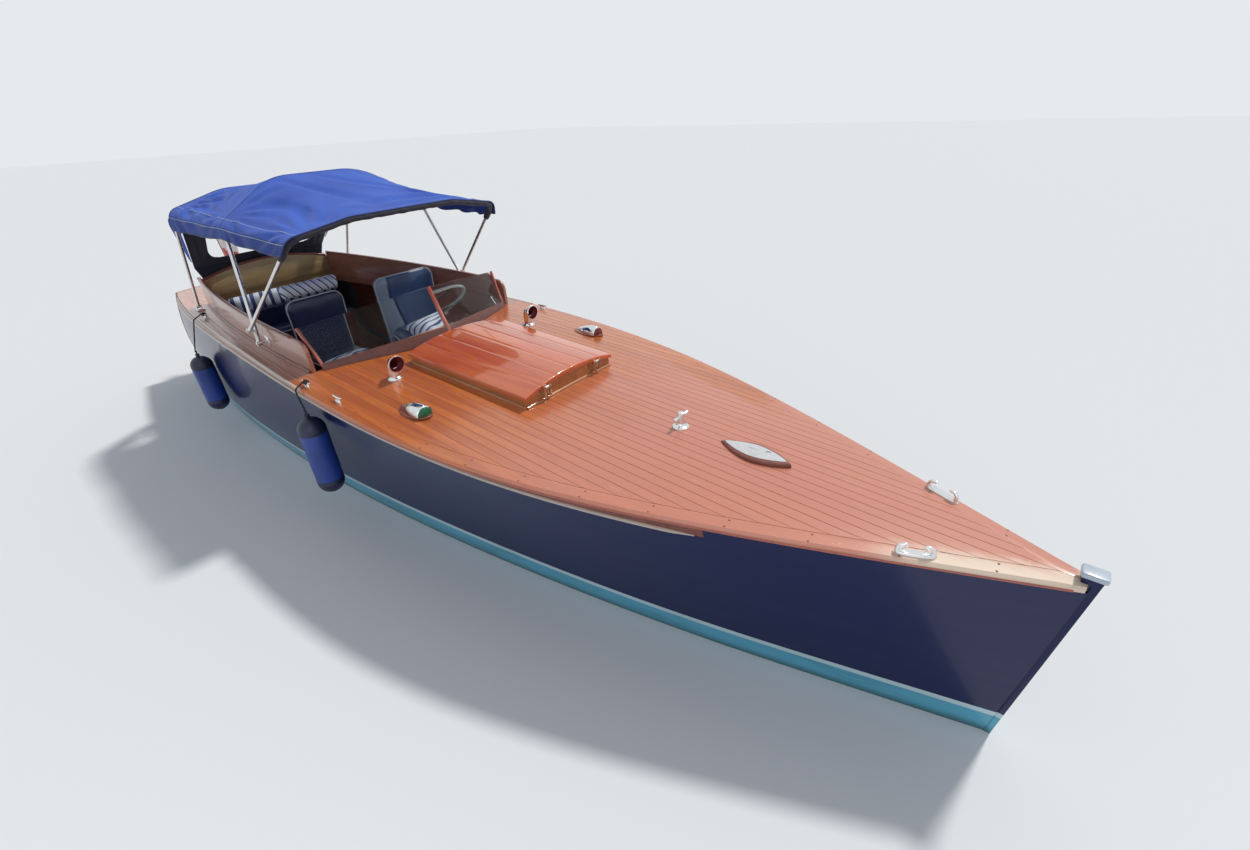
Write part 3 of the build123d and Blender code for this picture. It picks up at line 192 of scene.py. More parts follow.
# Varnished and painted wood
woodFinishes = {
    "deckWood": {
        "light": (0.64, 0.185, 0.030), "mid": (0.50, 0.108, 0.018), "dark": (0.26, 0.050, 0.012),
        "plank": 0.046, "grain": (1.3, 30.0, 30.0), "rough": 0.34, "coat": 0.85, "coatRough": 0.16,
    },
    "hatchWood": {
        "light": (0.74, 0.165, 0.030), "mid": (0.60, 0.090, 0.020), "dark": (0.36, 0.040, 0.012),
        "plank": 0.116, "grain": (1.5, 18.0, 18.0), "rough": 0.30, "coat": 1.0, "coatRough": 0.06,
    },
    "seamWood": {
        "light": (0.46, 0.170, 0.105), "mid": (0.36, 0.115, 0.068), "dark": (0.22, 0.060, 0.034),
        "plank": 0.0, "grain": (2.0, 22.0, 22.0), "rough": 0.7, "coat": 0.0, "coatRough": 0.2,
    },
    "baseWood": {
        "light": (0.15, 0.036, 0.022), "mid": (0.090, 0.020, 0.013), "dark": (0.040, 0.009, 0.006),
        "plank": 0.0, "grain": (2.0, 22.0, 22.0), "rough": 0.45, "coat": 0.15, "coatRough": 0.14,
    },
    "curbWood": {
        "light": (0.52, 0.200, 0.055), "mid": (0.38, 0.125, 0.032), "dark": (0.20, 0.055, 0.015),
        "plank": 0.0, "grain": (2.0, 22.0, 22.0), "rough": 0.36, "coat": 0.7, "coatRough": 0.12,
    },
    "tanWood": {
        "light": (0.47, 0.330, 0.150), "mid": (0.35, 0.225, 0.095), "dark": (0.19, 0.110, 0.042),
        "plank": 0.0, "grain": (22.0, 2.0, 22.0), "rough": 0.38, "coat": 0.6, "coatRough": 0.14,
    },
    "coamingWood": {
        "light": (0.42, 0.175, 0.110), "mid": (0.30, 0.105, 0.065), "dark": (0.14, 0.040, 0.026),
        "plank": 0.0, "grain": (1.2, 24.0, 24.0), "rough": 0.36, "coat": 0.8, "coatRough": 0.14,
    },
    "darkWood": {
        "light": (0.27, 0.070, 0.040), "mid": (0.17, 0.038, 0.022), "dark": (0.075, 0.014, 0.009),
        "plank": 0.0, "grain": (1.6, 24.0, 24.0), "rough": 0.34, "coat": 0.45, "coatRough": 0.14,
    },
    "redWood": {
        "light": (0.52, 0.105, 0.045), "mid": (0.38, 0.060, 0.028), "dark": (0.20, 0.024, 0.012),
        "plank": 0.0, "grain": (10.0, 22.0, 2.0), "rough": 0.30, "coat": 1.0, "coatRough": 0.08,
    },
    "soleWood": {
        "light": (0.36, 0.20, 0.10), "mid": (0.26, 0.135, 0.065), "dark": (0.13, 0.062, 0.030),
        "plank": 0.092, "grain": (1.4, 24.0, 24.0), "rough": 0.55, "coat": 0.15, "coatRough": 0.3,
    },
}


def woodMaterial(name, settings):
    material, tree, shader = newMaterial(
        name, Roughness=settings["rough"], Coat_Weight=settings["coat"],
        Coat_Roughness=settings["coatRough"]
    )
    place = objectCoordinates(tree)
    shift = 0.0
    if settings["plank"]:
        index = calc(tree, "FLOOR", calc(tree, "DIVIDE", split(tree, place)["Y"], settings["plank"]))
        shift = add(tree, "ShaderNodeTexWhiteNoise", {"W": index}, noise_dimensions="1D").outputs["Value"]
        offset = add(tree, "ShaderNodeCombineXYZ", {"X": calc(tree, "MULTIPLY", shift, 7.0)}).outputs[0]
        place = add(tree, "ShaderNodeVectorMath", {0: place, 1: offset}, operation="ADD").outputs[0]
    figure = noise(tree, scaled(tree, place, settings["grain"]), 1.0, 5.0, 0.6, 0.9)
    fibre = noise(tree, scaled(tree, place, tuple(7.0 * g for g in settings["grain"])), 1.0, 3.0, 0.7, 0.2)
    cloud = noise(tree, place, 2.6, 2.0)
    body = mixColour(tree, between(tree, figure, 0.30, 0.72), settings["light"], settings["mid"])
    body = mixColour(tree, between(tree, fibre, 0.52, 0.78, 0.0, 0.55), body, settings["dark"])
    body = mixColour(tree, between(tree, cloud, 0.35, 0.75, 0.0, 0.30), body, settings["mid"])
    if settings["plank"]:
        tint = mixColour(tree, shift, (0.80, 0.78, 0.76), (1.12, 1.14, 1.16))
        body = mixColour(tree, 0.75, body, tint, "MULTIPLY")
    plug(tree, shader.inputs["Base Color"], body)
    plug(tree, shader.inputs["Normal"], bumped(tree, fibre, 0.16, 0.0006))
    ripple = noise(tree, place, 5.0, 2.0)
    plug(tree, shader.inputs["Coat Normal"], bumped(tree, ripple, 0.10, 0.004))
    return material, tree, shader, body


bleachSettings = {
    "edgeAtStem": 0.032, "stemX": 3.462, "edgeSlope": 0.42, "depth": 0.115, "startX": 2.80, "fullX": 3.06,
    "colour": (0.83, 0.70, 0.55), "chipScale": 38.0,
}


# Where and how strongly the deck's varnish gets its painted sky sheen and glints
deckSheenSettings = {
    "from": 0.85, "to": 1.95, "colour": (0.63, 0.235, 0.165), "share": 0.78, "aftFrom": -0.35,
    "aftShare": 0.45, "sheenFreeEdge": 0.13, "sheenFreeTo": 2.35, "slope": 0.28, "slopeFrom": 0.9, "halfAt": 0.85,
    "glint": (0.74, 0.42, 0.36)
}


def skySheenTint(tree, body, settings):
    # Painted reflection: the sky's pink sheen laid into the varnish's colour on the open deck, fading out
    # towards the windscreen, where the deck stays deep orange
    place = objectCoordinates(tree)
    x = split(tree, place)["X"]
    cloud = noise(tree, scaled(tree, place, (1.6, 3.0, 1.0)), 1.0, 3.0, 0.6)
    drift = calc(tree, "ADD", x, calc(tree, "MULTIPLY", calc(tree, "SUBTRACT", cloud, 0.5), 0.9))
    fore = between(tree, drift, settings["from"], settings["to"], 0.0, settings["share"])
    aft = between(tree, x, settings["aftFrom"], settings["aftFrom"] - 0.6, 0.0, settings["aftShare"])
    # The painted sheen stays off the port edge as far as the fittings
    narrowing = calc(tree, "MULTIPLY", calc(tree, "SUBTRACT", x, settings["slopeFrom"]), settings["slope"])
    inward = calc(
        tree, "SUBTRACT", calc(tree, "SUBTRACT", settings["halfAt"], narrowing), split(tree, place)["Y"]
    )
    reach = calc(tree, "ADD", inward, calc(tree, "MULTIPLY", calc(tree, "SUBTRACT", cloud, 0.5), 0.10))
    sheenFree = between(tree, reach, settings["sheenFreeEdge"], settings["sheenFreeEdge"] - 0.05)
    edge = calc(tree, "MULTIPLY", sheenFree, between(tree, drift, settings["sheenFreeTo"], settings["sheenFreeTo"] - 0.3))
    share = calc(tree, "MULTIPLY", calc(tree, "MAXIMUM", fore, aft), calc(tree, "SUBTRACT", 1.0, edge))
    body = mixColour(tree, share, body, settings["colour"])
    # Painted glints: pale flecks within the painted sheen
    glintFleck = noise(tree, scaled(tree, place, (7.0, 60.0, 60.0)), 1.0, 4.0, 0.7)
    bright = calc(tree, "MULTIPLY", share, between(tree, glintFleck, 0.60, 0.74, 0.0, 0.55))
    return mixColour(tree, bright, body, settings["glint"])


def addBleach(tree, shader, body, settings):
    # Worn varnish along the starboard edge near the stem
    place = objectCoordinates(tree)
    x, y = split(tree, place)["X"], split(tree, place)["Y"]
    fromStem = calc(tree, "SUBTRACT", settings["stemX"], x)
    edge = calc(tree, "MULTIPLY_ADD", fromStem, settings["edgeSlope"], settings["edgeAtStem"])
    inward = calc(tree, "ADD", edge, y)
    ragged = noise(tree, scaled(tree, place, (9.0, 34.0, 1.0)), 1.0, 5.0, 0.7)
    reach = calc(tree, "ADD", inward, calc(tree, "MULTIPLY", calc(tree, "SUBTRACT", ragged, 0.5), 0.14))
    nearEdge, nearStem = between(tree, reach, settings["depth"], 0.03), between(
        tree, x, settings["startX"], settings["fullX"]
    )
    mask = calc(tree, "MULTIPLY", nearEdge, nearStem)
    chips = between(tree, noise(tree, place, settings["chipScale"], 4.0, 0.8), 0.62, 0.68)
    chips = calc(
        tree, "MULTIPLY", chips,
        calc(tree, "MULTIPLY", between(tree, inward, 0.16, 0.02), between(tree, x, 2.5, 3.0))
    )
    worn = calc(tree, "MAXIMUM", calc(tree, "MULTIPLY", mask, 0.85), chips)
    plug(tree, shader.inputs["Base Color"], mixColour(tree, worn, body, settings["colour"]))
    plug(tree, shader.inputs["Roughness"], between(tree, worn, 0.0, 1.0, 0.34, 0.62))


paintSettings = {
    "navy": (0.0035, 0.0090, 0.072), "line": (0.56, 0.72, 0.76), "band": (0.110, 0.43, 0.60),
    "under": (0.10, 0.018, 0.014), "lineTop": 0.134, "lineLow": 0.108, "coat": 0.32, "rough": 0.30,
    "specular": 0.20
}


def hullPaint(settings):
    material, tree, shader = newMaterial(
        "hullPaint", Roughness=settings["rough"], Coat_Weight=settings["coat"]
    )
    shader.inputs["Coat Roughness"].default_value = 0.03
    shader.inputs["Specular IOR Level"].default_value = settings["specular"]
    place = objectCoordinates(tree)
    z = split(tree, place)["Z"]
    dirt = noise(tree, scaled(tree, place, (0.8, 0.8, 7.0)), 2.0, 5.0, 0.6, 0.5)
    navy = mixColour(
        tree, between(tree, dirt, 0.45, 0.85, 0.0, 0.5), settings["navy"], (0.016, 0.024, 0.085)
    )
    scratch = noise(tree, scaled(tree, place, (2.2, 2.2, 130.0)), 1.0, 4.0, 0.85)
    rare = noise(tree, place, 2.3, 2.0)
    marks = calc(tree, "MULTIPLY", between(tree, scratch, 0.70, 0.76), between(tree, rare, 0.58, 0.70))
    marks = calc(tree, "MULTIPLY", marks, between(tree, split(tree, place)["X"], 0.6, 3.0, 0.25, 0.9))
    navy = mixColour(tree, marks, navy, (0.30, 0.34, 0.42))
    band = mixColour(tree, between(tree, dirt, 0.4, 0.8, 0.0, 0.7), settings["band"], (0.045, 0.19, 0.24))
    slime = between(tree, calc(tree, "ADD", z, calc(tree, "MULTIPLY", dirt, 0.05)), 0.075, 0.02)
    band = mixColour(tree, calc(tree, "MULTIPLY", slime, 0.75), band, (0.035, 0.075, 0.05))
    line = mixColour(tree, between(tree, dirt, 0.45, 0.8, 0.0, 0.5), settings["line"], (0.30, 0.42, 0.44))
    colour = mixColour(tree, calc(tree, "GREATER_THAN", z, 0.0), settings["under"], band)
    colour = mixColour(tree, calc(tree, "GREATER_THAN", z, settings["lineLow"]), colour, line)
    colour = mixColour(tree, calc(tree, "GREATER_THAN", z, settings["lineTop"]), colour, navy)
    plug(tree, shader.inputs["Base Color"], colour)
    wave = noise(tree, scaled(tree, place, (1.6, 1.6, 9.0)), 1.0, 2.0)
    plug(tree, shader.inputs["Coat Normal"], bumped(tree, wave, 0.05, 0.012))
    plug(tree, shader.inputs["Normal"], bumped(tree, dirt, 0.05, 0.002))
    return material


def plainPaint(name, colour, rough, coat=0.0, speckle=0.25, scale=30.0):
    material, tree, shader = newMaterial(name, Roughness=rough, Coat_Weight=coat)
    place = objectCoordinates(tree)
    grime = noise(tree, place, scale, 5.0, 0.6)
    darker = tuple(c * 0.55 for c in colour)
    plug(
        tree, shader.inputs["Base Color"],
        mixColour(tree, between(tree, grime, 0.4, 0.8, 0.0, speckle), colour, darker)
    )
    plug(tree, shader.inputs["Normal"], bumped(tree, grime, 0.12, 0.001))
    return material


def metalMaterial(name, colour, rough, pitting):
    material, tree, shader = newMaterial(name, Metallic=1.0, Roughness=rough)
    place = objectCoordinates(tree)
    haze = noise(tree, place, 22.0, 5.0, 0.6)
    pits = noise(tree, place, 320.0, 2.0, 0.7)
    darker = tuple(c * 0.62 for c in colour)
    tone = mixColour(tree, between(tree, haze, 0.45, 0.8, 0.0, 0.5), colour, darker)
    tone = mixColour(tree, between(tree, pits, 0.66, 0.74, 0.0, pitting), tone, (0.20, 0.17, 0.14))
    plug(tree, shader.inputs["Base Color"], tone)
    plug(tree, shader.inputs["Roughness"], between(tree, haze, 0.3, 0.8, rough, rough + 0.16))
    plug(tree, shader.inputs["Normal"], bumped(tree, haze, 0.05, 0.001))
    return material


def glassMaterial(name, colour, rough, density):
    material, tree, shader = newMaterial(
        name, Base_Color=colour, Roughness=rough, IOR=1.5, Transmission_Weight=density
    )
    smear = noise(tree, scaled(tree, objectCoordinates(tree), (3.0, 3.0, 9.0)), 2.0, 4.0, 0.6)
    plug(tree, shader.inputs["Roughness"], between(tree, smear, 0.4, 0.8, rough, rough + 0.10))
    return material


def weave(tree, place, scale):
    # Threads along both directions of the cloth
    waves = {"Vector": place, "Scale": scale, "Distortion": 0.6}
    across, along = (
        add(tree, "ShaderNodeTexWave", waves, wave_type="BANDS", bands_direction=way).outputs["Fac"]
        for way in "XY"
    )
    return calc(tree, "ADD", across, along)


def canvasMaterial(name, colour, shade, sheen):
    material, tree, shader = newMaterial(name, Roughness=0.78, Sheen_Weight=sheen, Sheen_Roughness=0.5)
    place = objectCoordinates(tree)
    threads = weave(tree, place, 420.0)
    fade = noise(tree, scaled(tree, place, (1.0, 1.6, 1.0)), 2.2, 4.0, 0.6)
    tone = mixColour(tree, between(tree, fade, 0.35, 0.75), colour, shade)
    paler = tuple(min(1.0, c * 1.7 + 0.01) for c in colour)
    tone = mixColour(tree, between(tree, threads, 0.4, 1.7, 0.0, 0.16), tone, paler)
    plug(tree, shader.inputs["Base Color"], tone)
    plug(tree, shader.inputs["Normal"], bumped(tree, threads, 0.22, 0.0006))
    return material


def vinylMaterial(name, colour, shade, rough=0.36):
    material, tree, shader = newMaterial(name, Roughness=rough, Coat_Weight=0.25, Coat_Roughness=0.25)
    place = objectCoordinates(tree)
    cells = add(
        tree, "ShaderNodeTexVoronoi", {"Vector": place, "Scale": 620.0}, feature="DISTANCE_TO_EDGE"
    ).outputs["Distance"]
    soft = noise(tree, place, 6.0, 4.0, 0.6)
    plug(tree, shader.inputs["Base Color"], mixColour(tree, between(tree, soft, 0.35, 0.75), colour, shade))
    plug(tree, shader.inputs["Roughness"], between(tree, soft, 0.3, 0.8, rough, rough + 0.18))
    plug(tree, shader.inputs["Normal"], bumped(tree, cells, 0.20, 0.0008))
    return material


stripeSettings = {
    "period": 0.074, "white": (0.74, 0.78, 0.86), "blue": (0.018, 0.040, 0.19), "width": 0.42,
    "pin": (0.20, 0.30, 0.55), "across": (0.0, 1.0, 0.0)
}


def stripedMaterial(name, settings):
    material, tree, shader = newMaterial(name, Roughness=0.82, Sheen_Weight=0.2)
    place = objectCoordinates(tree)
    wander = calc(tree, "MULTIPLY", calc(tree, "SUBTRACT", noise(tree, place, 7.0, 2.0), 0.5), 0.012)
    across = add(
        tree, "ShaderNodeVectorMath", {0: place, 1: settings["across"]}, operation="DOT_PRODUCT"
    ).outputs["Value"]
    along = calc(tree, "ADD", across, wander)
    phase = calc(tree, "FRACT", calc(tree, "DIVIDE", calc(tree, "ADD", along, 5.0), settings["period"]))
    half = settings["width"] / 2
    broad = between(
        tree, calc(tree, "ABSOLUTE", calc(tree, "SUBTRACT", phase, 0.5)), half + 0.01, half - 0.01
    )
    pin = between(tree, calc(tree, "ABSOLUTE", calc(tree, "SUBTRACT", phase, 0.86)), 0.035, 0.02)
    tone = mixColour(tree, broad, settings["white"], settings["blue"])
    tone = mixColour(tree, calc(tree, "MULTIPLY", pin, 0.6), tone, settings["pin"])
    threads = weave(tree, place, 380.0)
    tone = mixColour(tree, between(tree, threads, 0.3, 1.8, 0.0, 0.16), tone, (0.30, 0.34, 0.44))
    plug(tree, shader.inputs["Base Color"], tone)
    plug(tree, shader.inputs["Normal"], bumped(tree, threads, 0.25, 0.0007))
    return material


def flagMaterial(name):
    material, tree, shader = newMaterial(name, Roughness=0.75, Sheen_Weight=0.2)
    across = add(tree, "ShaderNodeUVMap").outputs["UV"]
    v = split(tree, across)["Y"]
    red = calc(tree, "LESS_THAN", v, 0.42)
    tone = mixColour(tree, red, (0.80, 0.80, 0.80), (0.62, 0.05, 0.05))
    cloth = noise(tree, objectCoordinates(tree), 26.0, 3.0)
    tone = mixColour(tree, between(tree, cloth, 0.4, 0.8, 0.0, 0.3), tone, (0.42, 0.36, 0.38))
    plug(tree, shader.inputs["Base Color"], tone)
    plug(
        tree, shader.inputs["Normal"],
        bumped(tree, weave(tree, objectCoordinates(tree), 300.0), 0.15, 0.0005)
    )
    return material


def stageMaterial(name, settings):
    # A pale, dull ground
    material, _, shader = newMaterial(name, Base_Color=settings["backdrop"], Roughness=0.9)
    shader.inputs["Specular IOR Level"].default_value = 0.1
    return material


def setLights(settings):
    world = bpy.data.worlds.new("studio")
    bpy.context.scene.world = world
    world.use_nodes = True
    tree = world.node_tree
    tree.nodes.clear()
    rays = add(tree, "ShaderNodeLightPath")
    sky = add(
        tree, "ShaderNodeBackground",
        {"Color": rgba(settings["skyColour"]), "Strength": settings["skyStrength"]}
    )
    pale = add(tree, "ShaderNodeBackground", {"Color": rgba(settings["backdrop"]), "Strength": 1.0})
    seen = calc(tree, "MAXIMUM", rays.outputs["Is Camera Ray"], rays.outputs["Is Transmission Ray"])
    seen = calc(tree, "MAXIMUM", seen, rays.outputs["Is Glossy Ray"])
    mixed = add(tree, "ShaderNodeMixShader", {0: seen, 1: sky.outputs[0], 2: pale.outputs[0]})
    output = add(tree, "ShaderNodeOutputWorld")
    tree.links.new(mixed.outputs[0], output.inputs["Surface"])
    sun = bpy.data.lights.new("softSun", "SUN")
    sun.energy = settings["sunStrength"]
    sun.angle = math.radians(settings["sunAngle"])
    sun.color = (1.0, 0.96, 0.90)
    lamp = bpy.data.objects.new("softSun", sun)
    bpy.context.scene.collection.objects.link(lamp)
    lamp.rotation_mode = "QUATERNION"
    lamp.rotation_quaternion = Vector(settings["sunFrom"]).to_track_quat("Z", "Y")
    area = bpy.data.lights.new("fill", "AREA")
    area.energy = settings["fillPower"]
    area.size = settings["fillSize"]
    fill = bpy.data.objects.new("fill", area)
    bpy.context.scene.collection.objects.link(fill)
    fill.location = settings["fillPlace"]
    fill.rotation_mode = "QUATERNION"
    fill.rotation_quaternion = Vector(settings["fillPlace"]).to_track_quat("Z", "Y")


addCamera(cameraSettings)
setLights(lightSettings)
bpy.context.scene.view_settings.view_transform = "Standard"

# Deck varnish with its painted sky sheen and glints, then the worn patch near the stem
deckWood, deckTree, deckShader, deckBody = woodMaterial("deckWood", woodFinishes["deckWood"])
addBleach(deckTree, deckShader, skySheenTint(deckTree, deckBody, deckSheenSettings), bleachSettings)
hatchWood, seamWood, baseWood, curbWood, tanWood, coamingWood, darkWood, redWood, soleWood = (
    woodMaterial(name, finish)[0] for name, finish in woodFinishes.items() if name != "deckWood"
)
liningWood = woodMaterial("liningWood", {**woodFinishes["darkWood"], "rough": 0.45, "coat": 0.35})[0]
paint = hullPaint(paintSettings)
bilgePaint = plainPaint("bilgePaint", (0.14, 0.15, 0.16), 0.6)
enginePaint = plainPaint("enginePaint", (0.10, 0.17, 0.15), 0.45, 0.2)
trimPaint = plainPaint("trimPaint", (0.56, 0.47, 0.40), 0.42, 0.4)
edgePaint = plainPaint("edgePaint", (0.62, 0.55, 0.46), 0.45, 0.3)
capPaint = plainPaint("capPaint", (0.48, 0.56, 0.66), 0.35, 0.5)
# Near-black for the inside of the bow fitting's hawse opening: painted shade
hawseShadeBlack = plainPaint("hawseShadeBlack", (0.035, 0.016, 0.010), 0.55)
chrome = metalMaterial("chrome", (0.80, 0.81, 0.82), 0.10, 0.35)
stainless = metalMaterial("stainless", (0.76, 0.75, 0.73), 0.22, 0.15)
bronze = metalMaterial("bronze", (0.56, 0.36, 0.14), 0.34, 0.5)
clearGlass = glassMaterial("clearGlass", (0.95, 0.99, 0.98), 0.0, 1.0)
clearGlass.node_tree.nodes["Principled BSDF"].inputs["IOR"].default_value = 1.16
greenGlass = glassMaterial("greenGlass", (0.03, 0.50, 0.20), 0.05, 0.75)
redGlass = glassMaterial("redGlass", (0.65, 0.03, 0.02), 0.05, 0.75)
ventRed = plainPaint("ventRed", (0.16, 0.012, 0.014), 0.55)
canvasBlue = canvasMaterial("canvasBlue", (0.026, 0.105, 0.54), (0.016, 0.066, 0.40), 0.10)
# A darker copy of the canopy canvas for the valance and the flaps' hems: painted shade
valanceShadeBlue = canvasMaterial("valanceShadeBlue", (0.013, 0.050, 0.30), (0.009, 0.034, 0.21), 0.08)
flagWhite = plainPaint("flagWhite", (0.72, 0.72, 0.72), 0.7)
canvasDeep = canvasMaterial("canvasDeep", (0.010, 0.030, 0.165), (0.007, 0.020, 0.11), 0.2)
# Near-black canvas: painted shade on the aft curtain's inner face; also used for the front sleeve
canvasNight = canvasMaterial("canvasNight", (0.010, 0.012, 0.030), (0.006, 0.007, 0.016), 0.2)
canvasPiping = plainPaint("canvasPiping", (0.30, 0.38, 0.56), 0.6)
helmVinyl = vinylMaterial("helmVinyl", (0.035, 0.075, 0.19), (0.025, 0.055, 0.15))
# Paler vinyl on the helm seat's wing and its button: painted highlight
wingHighlightVinyl = vinylMaterial("wingHighlightVinyl", (0.27, 0.33, 0.43), (0.21, 0.27, 0.37))
# Very dark navy vinyl for the starboard seat, the bench and the helm seam; on the bench back's front it
# also stands for painted shade
mateVinyl = vinylMaterial("mateVinyl", (0.010, 0.016, 0.075), (0.007, 0.011, 0.05))
pipingPale = plainPaint("pipingPale", (0.55, 0.58, 0.62), 0.5)
benchStripes = stripedMaterial("benchStripes", {**stripeSettings, "across": (0.35, 1.0, 0.0)})
squabStripes = stripedMaterial(
    "squabStripes",
    {
        **stripeSettings, "across": (1.0, 0.25, 0.0), "period": 0.052, "width": 0.34,
        "white": (0.80, 0.84, 0.90)
    }
)
rollStripes = stripedMaterial(
    "rollStripes",
    {
        **stripeSettings, "across": (0.0, 1.0, 0.7), "period": 0.046, "width": 0.24,
        "white": (0.76, 0.77, 0.82)
    }
)
rubberBlue = vinylMaterial("rubberBlue", (0.012, 0.055, 0.33), (0.010, 0.040, 0.24), 0.42)
rubberNavy = vinylMaterial("rubberNavy", (0.010, 0.016, 0.060), (0.007, 0.010, 0.035), 0.42)
ropeBlack = canvasMaterial("ropeBlack", (0.020, 0.021, 0.026), (0.012, 0.012, 0.016), 0.1)
rimIvory = plainPaint("rimIvory", (0.40, 0.46, 0.42), 0.30, 0.6)
dialBlack = plainPaint("dialBlack", (0.012, 0.012, 0.013), 0.35)
dialWhite = plainPaint("dialWhite", (0.72, 0.70, 0.62), 0.5)
flagCloth = flagMaterial("flagCloth")
print("stage: materials made,", len(bpy.data.materials))


# Mesh helpers
def makePiece(name, verts, faces, materials, faceSlots=None, smooth=True):
    mesh = bpy.data.meshes.new(name)
    mesh.from_pydata(
        [tuple(float(c) for c in v) for v in verts], [], [tuple(int(i) for i in f) for f in faces]
    )
    for material in materials:
        mesh.materials.append(material)
    if faceSlots is not None:
        mesh.polygons.foreach_set("material_index", [int(s) for s in faceSlots])
    mesh.polygons.foreach_set("use_smooth", [smooth] * len(mesh.polygons))
    mesh.update()
    piece = bpy.data.objects.new(name, mesh)
    bpy.context.scene.collection.objects.link(piece)
    return piece


def tidyNormals(piece, merge=1e-5):
    work = bmesh.new()
    work.from_mesh(piece.data)
    bmesh.ops.remove_doubles(work, verts=work.verts, dist=merge)
    bmesh.ops.recalc_face_normals(work, faces=work.faces)
    work.to_mesh(piece.data)
    work.free()
    return piece


def sharpen(piece, degrees=35.0):
    piece.data.polygons.foreach_set("use_smooth", [True] * len(piece.data.polygons))
    piece.data.set_sharp_from_angle(angle=math.radians(degrees))
    return piece


def applyModifiers(piece):
    bpy.context.view_layer.update()
    graph = bpy.context.evaluated_depsgraph_get()
    mesh = bpy.data.meshes.new_from_object(piece.evaluated_get(graph), depsgraph=graph)
    piece.modifiers.clear()
    piece.data = mesh
    return piece


def bevelled(piece, width, segments=3, degrees=30.0):
    modifier = piece.modifiers.new("edge", "BEVEL")
    modifier.width = width
    modifier.segments = segments
    modifier.limit_method = "ANGLE"
    modifier.angle_limit = math.radians(degrees)
    applyModifiers(piece)
    return sharpen(piece, 50.0)


def thickened(piece, thickness, offset=-1.0):
    modifier = piece.modifiers.new("wall", "SOLIDIFY")
    modifier.thickness = thickness
    modifier.offset = offset
    return applyModifiers(piece)


def splitFiner(piece, smoothing=0):
    # Evened by smoothing, then each face split in four
    if smoothing:
        smoother = piece.modifiers.new("even", "SMOOTH")
        smoother.factor = 0.5
        smoother.iterations = smoothing
    finer = piece.modifiers.new("finer", "SUBSURF")
    finer.levels = finer.render_levels = 1
    return applyModifiers(piece)


def gridFaces(rows, columns, start=0, closeColumns=False, closeRows=False, flip=False):
    faces = []
    for i in range(rows if closeRows else rows - 1):
        for j in range(columns if closeColumns else columns - 1):
            a = start + i * columns + j
            b = start + i * columns + (j + 1) % columns
            c = start + ((i + 1) % rows) * columns + (j + 1) % columns
            d = start + ((i + 1) % rows) * columns + j
            faces.append((a, d, c, b) if flip else (a, b, c, d))
    return faces


def ringFaces(rings, count, start=0):
    # The faces between closed rings of points, and the two ends
    last = start + (rings - 1) * count
    ends = [tuple(range(start, start + count)), tuple(range(last, last + count))]
    return gridFaces(rings, count, start, closeColumns=True) + ends


def quarterArc(centre, radius, start, steps):
    # A quarter circle of points; start is counted in quarter turns
    turns = [math.pi / 2 * (start + k / steps) for k in range(steps + 1)]
    return [(centre[0] + radius * math.cos(t), centre[1] + radius * math.sin(t)) for t in turns]


def directions(path, closed=False):
    # The unit direction of a line at each of its points
    along = np.roll(path, -1, 0) - np.roll(path, 1, 0) if closed else np.gradient(path, axis=0)
    return along / np.linalg.norm(along, axis=1)[:, None]


def runLengths(points):
    # How far along a line each of its points is
    steps = np.linalg.norm(np.diff(points, axis=0), axis=1)
    return np.concatenate([[0.0], np.cumsum(steps)])


def placesAlong(points, lengths, wanted):
    return np.stack([np.interp(wanted, lengths, points[:, k]) for k in range(3)], 1)


def joinPieces(name, parts):
    base = parts[0]
    with bpy.context.temp_override(
        active_object=base, object=base, selected_objects=parts, selected_editable_objects=parts
    ):
        bpy.ops.object.join()
    base.name = name
    base.data.name = name
    return base


def sweptProfile(name, path, profile, material, up=(0, 0, 1)):
    # profile: points (aside, above) round the path, which runs through points in space
    path = np.asarray(path, float)
    tangents = directions(path)
    aside = np.cross(tangents, np.broadcast_to(np.asarray(up, float), path.shape))
    aside /= np.linalg.norm(aside, axis=1)[:, None]
    above = np.cross(aside, tangents)
    profile = np.asarray(profile, float)
    if profile.ndim == 2:
        profile = np.broadcast_to(profile, (len(path), *profile.shape))
    verts = path[:, None, :] + profile[:, :, :1] * aside[:, None, :] + profile[:, :, 1:] * above[:, None, :]
    faces = ringFaces(len(path), profile.shape[1])
    return tidyNormals(makePiece(name, verts.reshape(-1, 3), faces, [material]), 1e-6)


def circleProfile(radius, sides=12, squash=1.0):
    turns = np.linspace(0, 2 * np.pi, sides, endpoint=False)
    return np.stack([radius * np.cos(turns), radius * squash * np.sin(turns)], 1)


def tubePiece(name, path, radius, material, sides=12, closed=False):
    # A round tube whose frame turns as little as it can along the path
    path = np.asarray(path, float)
    tangents = directions(path, closed)
    radii = np.broadcast_to(np.asarray(radius, float), (len(path),))
    side = np.cross(tangents[0], (0, 0, 1) if abs(tangents[0][2]) < 0.9 else (1, 0, 0))
    side /= np.linalg.norm(side)
    turns = np.linspace(0, 2 * np.pi, sides, endpoint=False)
    verts = []
    for point, tangent, size in zip(path, tangents, radii):
        side = side - tangent * (side @ tangent)
        side /= np.linalg.norm(side)
        other = np.cross(tangent, side)
        for turn in turns:
            verts.append(point + size * (math.cos(turn) * side + math.sin(turn) * other))
    loop = gridFaces(len(path), sides, closeColumns=True, closeRows=True)
    faces = loop if closed else ringFaces(len(path), sides)
    piece = tidyNormals(makePiece(name, verts, faces, [material]), 1e-7)
    return sharpen(piece, 60.0)


